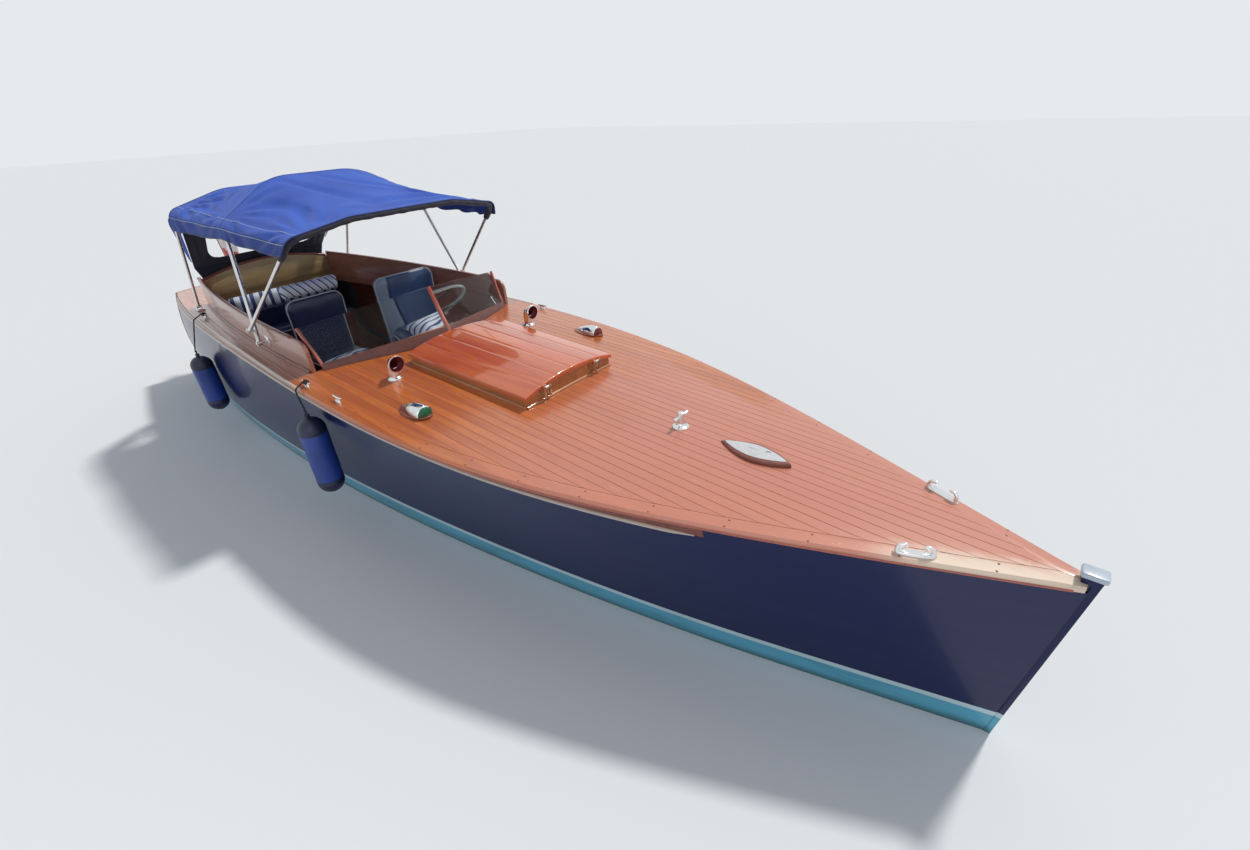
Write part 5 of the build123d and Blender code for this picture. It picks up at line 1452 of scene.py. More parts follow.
def loopInside(low, high, z, settings):
    # A round-cornered loop in plan, a little inside the two corners
    inset, corner = settings["inset"], settings["corner"]
    near, far = [a + inset + corner for a in low], [a - inset - corner for a in high]
    centres = ((far[0], far[1]), (near[0], far[1]), (near[0], near[1]), (far[0], near[1]))
    points = []
    for start, centre in enumerate(centres):
        points += [(x, y, z) for x, y in quarterArc(centre, corner, start, 10)]
    return points + points[:1]


seats = {
    "aftX": -0.8316, "frontX": -0.380, "backX": -0.892, "low": 0.6804, "top": 0.810, "backTop": 1.185,
    "floor": 0.330, "innerY": 0.108, "helmY": 0.628, "mateY": 0.522, "wingY": 0.245, "backMid": -0.862,
    "cushionRound": 0.028, "cushionPuff": 0.012, "weltDown": 0.030,
    "backThick": 0.060, "backRound": 0.018, "backPuff": 0.010, "backCorner": 0.065, "weltFrom": 0.72,
}


def buildSeat(side, outer, settings, vinyl, label):
    near, far = sorted((side * settings["innerY"], side * outer))
    low, high = (settings["aftX"], near, settings["low"]), (settings["frontX"], far, settings["top"])
    cushion = padBlock(label + "Cushion", low, high, settings["cushionRound"], vinyl)
    puffed(cushion, softSettings, settings["cushionPuff"], settings["low"])
    loop = loopInside(
        (settings["aftX"], near), (settings["frontX"], far), settings["top"] - settings["weltDown"], welts
    )
    welt = weltOn(cushion, label + "Welt", loop, welts)
    onBody(cushion, "hull", "navy_vinyl", ["front_seat_cushions"])
    onBody(welt, "hull", "navy_vinyl")
    return cushion


def buildSeatBack(side, outer, settings, vinyl, label):
    near, far = sorted((side * settings["innerY"], side * outer))
    low, high = settings["floor"], settings["backTop"]
    shrink = softSettings["shrink"]
    outline, corner = [], settings["backCorner"]
    for start, y in enumerate((far - shrink - corner, near + shrink + corner)):
        outline += quarterArc((y, high - shrink - corner), corner, start, 6)
    outline += [(near + shrink, low + 0.002), (far - shrink, low + 0.002)]
    thick = settings["backThick"] - 2 * shrink
    back = platePiece(label + "Back", outline, thick, vinyl, settings["backRound"], settings["backMid"])
    puffed(back, softSettings, settings["backPuff"], low)
    face, start = settings["backMid"] + 0.017, settings["weltFrom"]
    path = [(face, y, z) for y, z in [(far - shrink, start)] + outline[:-2] + [(near + shrink, start)]]
    welt = weltOn(back, label + "BackWelt", path, welts)
    onBody(welt, "hull", "navy_vinyl")
    return back


def buildHelmWing(back, settings):
    # The side panel in paler vinyl, a painted highlight along the curved wing, with its sewn edge and its
    # button
    middle = settings["backMid"]
    seamAt = lambda z: settings["wingY"] - 0.035 * np.sin(np.clip((z - 0.80) / 0.40, 0, 1) * np.pi * 0.9)
    pressed(back, lambda p: np.where(p[:, 0] > middle, p[:, 1] - seamAt(p[:, 2]), 1.0), 0.006, 0.010)
    # Front faces outside the seam take the paler vinyl: painted highlight
    back.data.materials.append(wingHighlightVinyl)
    centres = np.array([f.center for f in back.data.polygons])
    paler = (centres[:, 1] < seamAt(centres[:, 2])) & (centres[:, 0] > middle - 0.010)
    back.data.polygons.foreach_set("material_index", paler.astype(int))
    zs = np.linspace(0.70, settings["backTop"] - 0.012, 60)
    line = [(-0.80, float(seamAt(z)), z) for z in zs]
    seam = tubePiece("helmSeam", evened(onSurface(back, line, 0.0008)), 0.0034, mateVinyl, 8)
    place = onSurface(back, [(-0.80, float(seamAt(0.985)), 0.985)], 0.0)[0]
    profile = [
        (-0.004, 0.0), (-0.004, 0.011), (0.002, 0.0125), (0.006, 0.010), (0.0085, 0.005), (0.009, 0.0)
    ]
    button = turnedPiece("button", profile, place, (1, 0, 0.1), wingHighlightVinyl, 24)
    onBody(joinPieces("helmSeam", [seam, button]), "hull", "navy_vinyl")


def drapedPad(name, low, high, thick, under, material, gridStep=0.010):
    # A soft squab that lies on another piece and crowns between its edges
    tree = BVHTree.FromObject(under, bpy.context.evaluated_depsgraph_get())
    xs = np.linspace(low[0], high[0], int((high[0] - low[0]) / gridStep))
    ys = np.linspace(low[1], high[1], int((high[1] - low[1]) / gridStep))
    top, bottom = [], []
    for i, x in enumerate(xs):
        for j, y in enumerate(ys):
            hit = tree.ray_cast(Vector((x, y, high[2] + 0.3)), Vector((0, 0, -1)))[0]
            floor = hit.z if hit else high[2]
            u, v = 2 * i / (len(xs) - 1) - 1, 2 * j / (len(ys) - 1) - 1
            crown = (1 - abs(u) ** 5) * (1 - abs(v) ** 5)
            tuck = 0.0025 * math.sin(9 * v + 3 * u) * (1 - u * u) + 0.002 * math.sin(13 * u - 5 * v)
            top.append((x, y, floor + 0.003 + thick * crown ** 0.5 + tuck * crown))
            bottom.append((x, y, floor + 0.0015))
    count = len(ys)
    faces = gridFaces(len(xs), count)
    offset = len(top)
    faces += gridFaces(len(xs), count, offset, flip=True)
    rim = [i * count for i in range(len(xs))]
    loop = rim + [(len(xs) - 1) * count + j for j in range(1, count)]
    loop += [i * count + count - 1 for i in range(len(xs) - 2, -1, -1)] + list(range(count - 2, 0, -1))
    faces += [(a, b, b + offset, a + offset) for a, b in zip(loop, loop[1:] + loop[:1])]
    piece = tidyNormals(makePiece(name, top + bottom, faces, [material]), 1e-6)
    return sharpen(splitFiner(piece, 2), 70.0)


squabs = {
    "helmSquab": {"long": 0.3296, "fromY": 0.165, "toY": 0.585, "thick": 0.034, "inset": 0.012},
    "mateSquab": {"long": 0.2380, "fromY": -0.470, "toY": -0.150, "thick": 0.028, "inset": 0.012},
}


def buildSeats(settings):
    helm = buildSeat(1, settings["helmY"], settings, helmVinyl, "helm")
    mate = buildSeat(-1, settings["mateY"], settings, mateVinyl, "mate")
    helmBack = buildSeatBack(1, settings["helmY"], settings, helmVinyl, "helm")
    mateBack = buildSeatBack(-1, settings["mateY"], settings, mateVinyl, "mate")
    buildHelmWing(helmBack, settings)
    for back in (helmBack, mateBack):
        onBody(back, "hull", "navy_vinyl", ["front_seat_backs"])
    for name, seat in (("helmSquab", helm), ("mateSquab", mate)):
        form = squabs[name]
        front = settings["frontX"] - form["inset"]
        low, high = (front - form["long"], form["fromY"], 0.80), (front, form["toY"], 0.82)
        squab = drapedPad(name, low, high, form["thick"], seat, squabStripes)
        onBody(squab, "hull", "striped_cloth")


rollForm = {"x": -0.862, "z": 1.2274, "from": -0.502, "to": -0.128, "radius": 0.0415}


def bolsterPiece(name, start, end, radius, material, rings=90, sides=72):
    # A stuffed roll with gathered ends
    start, end = Vector(start), Vector(end)
    axis = (end - start).normalized()
    side = axis.cross(Vector((0, 0, 1))).normalized()
    above = side.cross(axis)
    length = (end - start).length
    verts = []
    for i in range(rings):
        t = i / (rings - 1)
        near = min(t, 1 - t) * length
        cap = min(1.0, near / (radius * 0.75))
        size = radius * math.sqrt(max(1 - (1 - cap) ** 2.6, 0.0))
        along = start + axis * (t * length)
        for k in range(sides):
            turn = 2 * math.pi * k / sides
            gather = 0.045 * math.cos(14 * turn) * (1 - cap)
            lumps = 0.012 * math.sin(3 * turn + 9 * t) + 0.008 * math.sin(5 * turn - 23 * t)
            r = max(size * (1 + gather + lumps), 0.0012)
            verts.append(along + side * (r * math.cos(turn)) + above * (r * math.sin(turn)))
    return sharpen(tidyNormals(makePiece(name, verts, ringFaces(rings, sides), [material]), 1e-6), 70.0)


def buildRoll(form):
    start, end = ((form["x"], form[key], form["z"]) for key in ("from", "to"))
    roll = bolsterPiece("seatRoll", start, end, form["radius"], rollStripes)
    onBody(roll, "hull", "striped_cloth", ["front_seat_roll"])


bench = {
    "frontX": -1.940, "cushionAft": -2.1496, "backX": -2.200, "half": 0.470, "low": 0.5604, "top": 0.680,
    "backTop": 0.975, "stripesFrom": 0.838, "backThick": 0.100, "seamY": 0.157,
    "cushionRound": 0.024, "cushionPuff": 0.010, "weltDown": 0.028, "backRound": 0.040, "backPuff": 0.012,
}


def buildBench(settings):
    half, low = settings["half"], settings["low"]
    aft, front, top = settings["cushionAft"], settings["frontX"], settings["top"]
    cushion = padBlock(
        "benchCushion", (aft, -half, low), (front, half, top), settings["cushionRound"], mateVinyl
    )
    puffed(cushion, softSettings, settings["cushionPuff"], low)
    loop = loopInside((aft, -half), (front, half), top - settings["weltDown"], welts)
    welt = weltOn(cushion, "benchWelt", loop, welts)
    onBody(cushion, "hull", "navy_vinyl", ["bench_cushion"])
    onBody(welt, "hull", "navy_vinyl")
    middle, reach = settings["backX"], settings["backThick"] / 2
    low, high = (middle - reach, -half, low), (middle + reach, half, settings["backTop"])
    back = padBlock("benchBack", low, high, settings["backRound"], benchStripes)
    puffed(back, softSettings, settings["backPuff"], settings["low"])
    # Below the striped top the back takes the very dark navy vinyl: painted shade on its front
    back.data.materials.append(mateVinyl)
    for face in back.data.polygons:
        face.material_index = int(face.center.z < settings["stripesFrom"])
    pressed(back, lambda p: p[:, 2] - settings["stripesFrom"], 0.008, 0.010)
    for y in (-settings["seamY"], settings["seamY"]):
        pressed(back, lambda p, y=y: p[:, 1] - y, 0.008, 0.012)
    onBody(back, "hull", "striped_cloth", ["bench_back"])


buildSeats(seats)
buildRoll(rollForm)
buildBench(bench)
print("stage: seats padded")


# Canopy
hoopForm = {
    "front": {"shoulder": (-0.028, 0.664, 1.668), "crown": (0.004, 0.330, 1.728), "skirt": (1.592, 0.694)},
    "main": {"shoulder": (-0.897, 0.664, 1.674), "crown": (-0.975, 0.290, 1.886), "skirt": (1.604, 0.684)},
    "aft": {"shoulder": (-1.912, 0.642, 1.676), "crown": (-1.858, 0.300, 1.780), "skirt": (1.560, 0.646)},
}
canopyForm = {
    "distance": 0.0168, "shoulderRound": 0.060, "crownRound": 0.440, "tubeShoulder": 0.090, "thick": 0.0020,
    "counts": (8, 7, 18, 10, 14, 10, 18, 7, 8), "bayColumns": 48, "sagFront": 0.020, "sagAft": 0.016,
    "wrinkle": 0.0165, "pucker": 0.026, "long": 0.0200, "keep": 0.08, "hem": 0.0045, "foldAt": -0.936,
    "foldZ": 1.85
}


# Folds from each corner of the two bays: u runs forward from the aft hoop and v to port,
# then how many, how strong and how far they reach
canopyFolds = (
    (2.02, -0.80, 24.0, 1.0, 0.95), (2.02, 0.80, 20.0, 0.6, 0.9), (-0.02, -0.80, 22.0, 1.2, 0.8),
    (-0.02, 0.80, 20.0, 0.8, 0.8), (1.0, -0.80, 18.0, 0.75, 0.55), (1.0, 0.80, 18.0, 0.6, 0.55),
)


def rounded(points, radii, counts):
    # The polyline with its corners rounded, each straight and each arc in its own number of steps
    points = [np.asarray(p, float) for p in points]
    places = [points[0]]
    last = points[0]
    step = 0
    for i in range(1, len(points) - 1):
        into = points[i] - points[i - 1]
        out = points[i + 1] - points[i]
        into /= np.linalg.norm(into)
        out /= np.linalg.norm(out)
        turn = math.acos(max(-1.0, min(1.0, float(into @ out))))
        reach = radii[i] * math.tan(turn / 2)
        start, end = points[i] - into * reach, points[i] + out * reach
        for k in range(1, counts[step] + 1):
            places.append(last + (start - last) * k / counts[step])
        step += 1
        inward = out - into * float(into @ out)
        inward /= np.linalg.norm(inward)
        centre = start + inward * radii[i]
        for k in range(1, counts[step] + 1):
            angle = turn * k / counts[step]
            places.append(centre - inward * radii[i] * math.cos(angle) + into * radii[i] * math.sin(angle))
        step += 1
        last = end
    for k in range(1, counts[step] + 1):
        places.append(last + (points[-1] - last) * k / counts[step])
    return np.array(places)


def offsetCorners(points, distance):
    moved = []
    for i, point in enumerate(points):
        normals = []
        for a, b in ((i - 1, i), (i, i + 1)):
            if 0 <= a and b < len(points):
                run = np.subtract(points[b], points[a])
                run = run / np.linalg.norm(run)
                normals.append(np.array([run[1], -run[0]]))
        whole = sum(normals)
        moved.append(np.asarray(point) + whole * distance * len(normals) / float(whole @ whole))
    return moved


def canopySection(hoop, distance):
    sx, sy, sz = hoop["shoulder"]
    cx, cy, cz = hoop["crown"]
    skirtZ, skirtHalf = hoop["skirt"]
    outline = [(skirtHalf, skirtZ), (sy, sz), (cy, cz), (-cy, cz), (-sy, sz), (-skirtHalf, skirtZ)]
    corners = offsetCorners(outline, distance)
    near, wide = canopyForm["shoulderRound"] + distance, canopyForm["crownRound"] + distance
    flat = rounded(corners, [0, near, wide, wide, near, 0], canopyForm["counts"])
    lean = (cx - sx) / (cz - sz)
    return np.stack([sx + lean * (flat[:, 1] - sz), flat[:, 0], flat[:, 1]], 1)


def canopySheet(settings):
    sections = [canopySection(hoopForm[name], settings["distance"]) for name in ("aft", "main", "front")]
    columns = settings["bayColumns"]
    rows = []
    for bay in range(2):
        for k in range(columns + (bay == 1)):
            t = k / columns
            rows.append(sections[bay] * (1 - t) + sections[bay + 1] * t)
    grid = np.array(rows)
    alongU = np.concatenate([np.linspace(0, 1, columns, endpoint=False), np.linspace(1, 2, columns + 1)])
    length = runLengths(sections[1])
    acrossV = length / length[-1] * 2 - 1
    u, v = np.meshgrid(alongU, acrossV, indexing="ij")
    du = np.gradient(grid, axis=0)
    dv = np.gradient(grid, axis=1)
    normal = np.cross(dv, du)
    normal /= np.linalg.norm(normal, axis=2)[:, :, None]
    if normal[len(rows) // 2, grid.shape[1] // 2, 2] < 0:
        normal = -normal
    t = np.where(u < 1, u, u - 1)
    window = np.sin(np.pi * np.clip(t, 0, 1)) ** 0.7
    onTop = smoothRamp(1 - np.abs(v), 0.10, 0.42)
    sag = np.where(u < 1, settings["sagAft"], settings["sagFront"]) * window ** 1.5 * (0.25 + 0.75 * onTop)
    lift = -sag
    # Folds fan out of the corners and run over the top
    for cornerU, cornerV, count, strength, span in canopyFolds:
        a, b = u - cornerU, (v - cornerV) * 0.80
        away = np.hypot(a, b)
        angle = np.arctan2(b, a)
        fold = np.sin(count * angle + 3.1 * cornerU + 2.0 * np.sin(4.0 * angle))
        fold = np.sign(fold) * np.abs(fold) ** 0.8
        fading = smoothRamp(away, 0.03, 0.25) * (1 - smoothRamp(away, 0.3 * span, span))
        lift += settings["wrinkle"] * strength * fold * window * fading
    run = 9.0 * (v * 0.9 + 0.35 * t) + 1.4 * np.sin(3.0 * t + 2.0 * v)
    long = np.maximum(0.0, np.sin(run * 2.1)) ** 3
    lift -= settings["long"] * long * window * onTop * (u > 1) * (0.4 + 0.6 * np.sin(2.2 * v + 1.0) ** 2)
    bunch = np.sin(41 * t + 4 * v) * np.exp(-((v + 0.62) / 0.3) ** 2)
    bunch += 0.6 * np.sin(33 * t - 5 * v) * np.exp(-((v - 0.62) / 0.3) ** 2)
    lift += settings["pucker"] * 0.55 * bunch * window * (u < 1) * (1 - smoothRamp(t, 0.25, 0.8))
    flutter = np.sin(17 * u + 1.0) * 0.6 + np.sin(29 * u + 2.5) * 0.4
    skirt = smoothRamp(np.abs(v), 0.86, 1.0)
    lift += 0.006 * flutter * skirt * window
    grid = grid + normal * lift[:, :, None]
    grid[:, :, 2] -= 0.010 * skirt * window * (1 + 0.5 * np.sin(11 * u))
    return grid, normal


def seamAlong(name, points, width, tall, material, ups):
    half = width / 2
    profile = [(-half, 0), (-half * 0.8, tall), (half * 0.8, tall), (half, 0)]
    profile += [(half * 0.6, -tall), (-half * 0.6, -tall)]
    return sharpen(sweptProfile(name, points, profile, material, ups), 50.0)


def sheetArea(grid):
    # Each cell as two triangles
    a, b, c, d = grid[:-1, :-1], grid[:-1, 1:], grid[1:, 1:], grid[1:, :-1]
    halves = (np.cross(b - a, d - a), np.cross(b - c, d - c))
    return float(sum(np.linalg.norm(half, axis=2).sum() for half in halves)) / 2


def buildCanopy(settings):
    grid, normal = canopySheet(settings)
    count = grid.shape[1]
    counts = settings["counts"]
    skirt = counts[0] + 2
    # Faces near the skirt take the darker valance copy of the canvas: painted shade
    slots = [int(j < skirt or j >= count - 1 - skirt) for j in range(count - 1)] * (grid.shape[0] - 1)
    faces = gridFaces(grid.shape[0], count)
    sheet = makePiece("canopyCanvas", grid.reshape(-1, 3), faces, [canvasBlue, valanceShadeBlue], slots)
    sheet.data.update()
    middle = sheet.data.polygons[(grid.shape[0] // 2) * (count - 1) + count // 2]
    if middle.normal.z < 0:
        sheet.data.flip_normals()
    thickened(sheet, settings["thick"], 0.0)
    sharpen(splitFiner(sheet), 80.0)
    body = bodyOf["canopy_canvas"]
    skin = settings["thick"] / 2
    parts = []
    for inward in (counts[0] + 1, counts[0] + counts[1] + 1):
        for j in (inward, count - 1 - inward):
            line = grid[:, j] + normal[:, j] * (skin + 0.0004)
            parts.append(seamAlong("seam", line, 0.0050, 0.0011, canvasPiping, normal[:, j]))
    for j in (0, count - 1):
        line = grid[:, j] + np.array([0, 0, 0.002])
        parts.append(sharpen(tubePiece("hem", line, settings["hem"], canvasDeep, 10), 60.0))
    for i in (0, -1):
        parts.append(tubePiece("hem", grid[i], settings["hem"] * 0.9, canvasDeep, 10))
    ridge, ridgeNormal = grid[settings["bayColumns"]], normal[settings["bayColumns"]]
    parts.append(
        seamAlong("seam", ridge + ridgeNormal * (skin + 0.0004), 0.012, 0.0010, canvasBlue, ridgeNormal)
    )
    trim = joinPieces("canopyHems", parts)
    onBody(sheet, body, "royal_canvas", ["canopy_canvas"])
    onBody(trim, body, "royal_canvas")
    longest = np.linalg.norm(np.diff(grid, axis=0), axis=2).sum(0).max()
    flat = (round(float(runLengths(ridge)[-1]), 3), round(float(longest), 3))
    area = min(sheetArea(grid), flat[0] * flat[1])
    for piece in (sheet, trim):
        foldCanopy(piece)
    return sheet


def foldCanopy(piece):
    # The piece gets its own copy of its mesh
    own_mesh(piece)


def hoopPath(foot, hoop, shoulderRound, crownRound, counts=(40, 10, 14, 12, 16, 12, 14, 10, 40)):
    shoulder, crown = hoop["shoulder"], hoop["crown"]
    points = [foot, shoulder, crown]
    points += [(x, -y, z) for x, y, z in reversed(points)]
    return rounded(points, [0, shoulderRound, crownRound, crownRound, shoulderRound, 0], counts)


def buildSleeve(settings):
    # The navy sleeve that holds the front hoop, with its full rounded ends
    path = hoopPath(
        (-0.687, 0.7967, 1.1054), hoopForm["front"], settings["tubeShoulder"], settings["crownRound"]
    )
    inside = path[np.linalg.norm(path - path[len(path) // 2], axis=1) < 0.735]
    lengths = runLengths(inside)
    t = np.linspace(0, lengths[-1], 220)
    path = placesAlong(inside, lengths, t)
    near = np.minimum(t, t[-1] - t)
    wobble = 0.0010 * np.sin(t * 55) + 0.0008 * np.sin(t * 91 + 1)
    radius = 0.0150 + 0.0060 * np.exp(-((near - 0.05) / 0.045) ** 2) + wobble
    radius *= np.sqrt(np.clip(near / 0.016, 0.04, 1.0))
    sleeve = tubePiece("frontSleeve", path + np.array([0.002, 0, 0.001]), radius, canvasNight, 20)
    return onBody(sleeve, bodyOf["canopy_front_hoop"], "dark_canvas")


buildCanopy(canopyForm)
buildSleeve(canopyForm)

curtainForm = {
    "top": (-1.958, 1.650), "back": -2.4204, "sill": 1.196, "flap": 1.105, "topHalf": 0.600,
    "sillHalf": 0.520, "flapHalf": 0.490, "columnTop": 0.150, "columnLow": 0.105, "bandTop": 1.256,
    "windowTop": 1.610, "windowRound": 0.070, "thick": 0.0024, "fold": 0.0065, "out": 0.002,
    "headRows": ((0.0, 0.0160), (-0.0125, 0.0105), (-0.0165, -0.0020), (-0.0220, -0.0180)), "keep": 0.3
}


def buildCurtain(form):
    (topX, topZ), backX, sill = form["top"], form["back"] - form["out"], form["sill"]
    topX -= form["out"]

    def placeAt(z):
        if z <= sill:
            return backX
        return backX + (topX - backX) * (z - sill) / (topZ - sill)

    def halfAt(z):
        if z <= sill:
            return float(np.interp(z, (form["flap"], sill), (form["flapHalf"], form["sillHalf"])))
        return float(np.interp(z, (sill, topZ), (form["sillHalf"], form["topHalf"])))

    def innerAt(z):
        low, high = form["sillHalf"] - form["columnLow"], form["topHalf"] - form["columnTop"]
        inner = float(np.interp(z, (form["bandTop"], form["windowTop"]), (low, high)))
        if z >= form["bandTop"]:
            inner -= edgeDrop(z - form["bandTop"], form["windowRound"])
        return inner

    zs = np.concatenate(
        [
            np.linspace(topZ, form["windowTop"], 5),
            np.linspace(form["windowTop"], form["bandTop"] + 0.07, 34)[1:],
            np.linspace(form["bandTop"] + 0.07, form["bandTop"], 12)[1:],
            np.linspace(form["bandTop"], sill, 8)[1:], np.linspace(sill, form["flap"], 12)[1:]
        ]
    )
    sideCount, middleCount = 22, 60
    rows = []
    for z in zs:
        half, inner = halfAt(z), innerAt(min(max(z, form["bandTop"]), form["windowTop"]))
        inner = min(inner, half - 0.04)
        ys = np.concatenate([
            np.linspace(-half, -inner, sideCount + 1), np.linspace(-inner, inner, middleCount + 1)[1:],
            np.linspace(inner, half, sideCount + 1)[1:],
        ])
        rows.append([(placeAt(z), y, z) for y in ys])
    grid = np.array(rows)
    slope = np.array([-(topZ - sill), 0.0, topX - backX]) / math.hypot(topZ - sill, topX - backX)
    y, z = grid[:, :, 1], grid[:, :, 2]
    share = np.abs(y) / np.array([halfAt(float(value)) for value in zs])[:, None]
    gather = np.sin(share * 58 + 0.8 * np.sin(6 * z)) * smoothRamp(share, 0.60, 0.78)
    broad = np.sin(9.0 * y + 1.5) * (1 - smoothRamp(share, 0.5, 0.8)) * 0.5
    hold = smoothRamp(z, sill - 0.02, sill + 0.10) * (1 - smoothRamp(z, topZ - 0.03, topZ))
    lift = form["fold"] * (gather + broad) * hold
    loose = 0.004 * np.sin(14 * y) * (1 - smoothRamp(z, form["flap"] + 0.01, sill))
    outward = 0.6 * np.abs(lift) + 0.4 * lift
    grid = grid + slope * outward[:, :, None]
    grid[:, :, 0] -= np.abs(loose)
    hoop = canopySection(hoopForm["aft"], 0.0)
    middle = hoop[len(hoop) // 2, 1]
    flat = hoop[np.abs(hoop[:, 1] - middle) < form["topHalf"] + 0.03]
    flat = flat[np.argsort(flat[:, 1])]
    head = []
    ys = grid[0, :, 1]
    hoopX, hoopZ = np.interp(ys, flat[:, 1], flat[:, 0]), np.interp(ys, flat[:, 1], flat[:, 2])
    for aft, above in form["headRows"]:
        head.append(np.stack([hoopX + aft, ys, hoopZ + above], 1))
    grid = np.concatenate([np.array(head), grid])
    zs = np.concatenate([topZ + 0.01 * np.arange(len(head), 0, -1), zs])
    count = grid.shape[1]
    faces = []
    for i in range(len(zs) - 1):
        windowed = zs[i] <= form["windowTop"] + 1e-6 and zs[i + 1] >= form["bandTop"] - 1e-6
        for j in range(count - 1):
            if windowed and sideCount <= j < sideCount + middleCount:
                continue
            a = i * count + j
            faces.append((a, a + 1, a + count + 1, a + count))
    sheet = makePiece("aftCurtain", grid.reshape(-1, 3), faces, [canvasNight])
    work = bmesh.new()
    work.from_mesh(sheet.data)
    bmesh.ops.delete(work, geom=[vert for vert in work.verts if not vert.link_faces], context="VERTS")
    work.to_mesh(sheet.data)
    work.free()
    thickened(sheet, form["thick"], 0.0)
    sharpen(sheet, 80.0)
    # Faces that look aft get the blue canvas; the inner faces keep the near-black copy as painted shade
    sheet.data.materials.append(canvasBlue)
    for face in sheet.data.polygons:
        face.material_index = int(face.normal.x < -0.05)
    edges = []
    for j in (sideCount, sideCount + middleCount):
        rowsIn = [i for i in range(len(zs)) if form["bandTop"] - 1e-6 <= zs[i] <= form["windowTop"] + 1e-6]
        edges.append(tubePiece("hem", grid[rowsIn, j], 0.0034, canvasDeep, 8))
    for j in (0, count - 1):
        edges.append(tubePiece("hem", grid[:, j], 0.0034, canvasDeep, 8))
    edges.append(tubePiece("hem", grid[-1], 0.0040, canvasDeep, 8))
    trim = joinPieces("curtainHems", edges)
    onBody(sheet, "hull", "dark_canvas", ["aft_curtain"])
    onBody(trim, "hull", "dark_canvas")
    flat = (round(float(runLengths(grid[2])[-1]), 3), round(float(runLengths(grid[:, 0])[-1]), 3))
    for piece in (sheet, trim):
        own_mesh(piece)
    return sheet


flapForm = {
    "top": (-1.950, 0.622, 1.640), "low": (-2.350, 0.541, 1.262), "reach": (-0.120, 0.012, -0.022),
    "rows": 34, "columns": 18, "fold": 0.0045, "thick": 0.0022, "keep": 0.12
}


def buildFlaps(form):
    # Loose side flaps that hang outside the curtain's edges
    start, end, reach = (np.array(form[key]) for key in ("top", "low", "reach"))
    for side, name in ((1, "flapPort"), (-1, "flapStarboard")):
        mirrored = np.array([1, side, 1])
        rows = []
        for s in np.linspace(0, 1, form["rows"]):
            size = float(smoothRamp(s, -0.25, 0.14)) * (1 - s) ** 0.8 + 0.03
            row = []
            for t in np.linspace(0, 1, form["columns"]):
                held = math.sin(math.pi * min(1, 3 * t)) * math.sin(math.pi * s)
                wave = form["fold"] * math.sin(13 * t + 7 * s + side) * held
                bow = 0.012 * math.sin(math.pi * t * 0.6) * (1 - s)
                spot = start + (end - start) * s + reach * size * t + np.array([0, bow + wave, 0])
                row.append(spot * mirrored)
            rows.append(row)
        grid = np.array(rows)
        sheet = makePiece(name, grid.reshape(-1, 3), gridFaces(form["rows"], form["columns"]), [canvasBlue])
        thickened(sheet, form["thick"], 0.0)
        # The flaps' hems in the darker valance copy: painted shade
        edges = [tubePiece("hem", line, 0.0030, valanceShadeBlue, 8) for line in (grid[:, -1], grid[0])]
        edge = joinPieces(name + "Hem", edges)
        widest = np.linalg.norm(np.diff(grid, axis=1), axis=2).sum(axis=1).max()
        flat = (round(float(widest), 3), round(float(runLengths(grid[:, 0])[-1]), 3))
        for piece in (sharpen(sheet, 80.0), edge):
            onBody(piece, bodyOf["canopy_aft_hoop"], "royal_canvas")
            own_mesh(piece)


buildCurtain(curtainForm)
buildFlaps(flapForm)

ensignForm = {
    "foot": -3.330, "lean": 18.0, "length": 0.450, "topShare": 0.97, "radius": 0.0104, "wide": 0.520,
    "tall": 0.230, "wave": 0.020, "thick": 0.0012, "rise": 0.006
}


def buildEnsign(form):
    lean = math.radians(form["lean"])
    floor = float(deckZ(form["foot"], 0.0)) + form["rise"]

    def along(length):
        return np.array([form["foot"] - length * math.sin(lean), 0.0, floor + length * math.cos(lean)])

    top, bottom = along(form["topShare"] * form["length"]), along(
        form["topShare"] * form["length"] - form["tall"]
    )
    near = (form["radius"] + 0.0006) / math.cos(lean)
    columns, rows = 72, 30
    u = np.linspace(0, 1, columns)
    v = np.linspace(0, 1, rows)
    uu, vv = np.meshgrid(u, v, indexing="ij")
    wave = form["wave"] * smoothRamp(uu, 0.0, 0.35) * np.sin(2 * math.pi * (1.6 * uu + 0.25 * vv) + 0.4)
    wave += 0.006 * np.sin(2 * math.pi * (4.1 * uu - 0.9 * vv)) * smoothRamp(uu, 0.05, 0.5)
    step = form["wide"] / (columns - 1)
    slip = np.sqrt(np.maximum(step ** 2 - np.diff(wave, axis=0) ** 2, (0.5 * step) ** 2))
    run = np.concatenate([np.zeros((1, rows)), np.cumsum(slip, axis=0)])
    start = bottom[None, None, :] * (1 - vv)[:, :, None] + top[None, None, :] * vv[:, :, None]
    grid = start + np.stack([near + run, wave, -0.030 * uu ** 1.6 * (1 - 0.2 * vv)], 2)
    flag = makePiece("ensignCloth", grid.reshape(-1, 3), gridFaces(columns, rows), [flagCloth])
    layer = flag.data.uv_layers.new(name="UVMap")
    shares = np.stack([uu, vv], 2).reshape(-1, 2)
    corners = np.empty(len(flag.data.loops), np.int32)
    flag.data.loops.foreach_get("vertex_index", corners)
    layer.data.foreach_set("uv", shares[corners].astype(np.float32).ravel())
    thickened(flag, form["thick"], 0.0)
    sharpen(flag, 80.0)
    hem = tubePiece("ensignHoist", [tuple(p) for p in grid[0]], 0.0032, flagWhite, 8)
    onBody(flag, "hull", "ensign_cloth", ["ensign"])
    onBody(hem, "hull", "ensign_cloth")
    return flag


buildEnsign(ensignForm)
print("stage: canopy, curtain and ensign sewn")

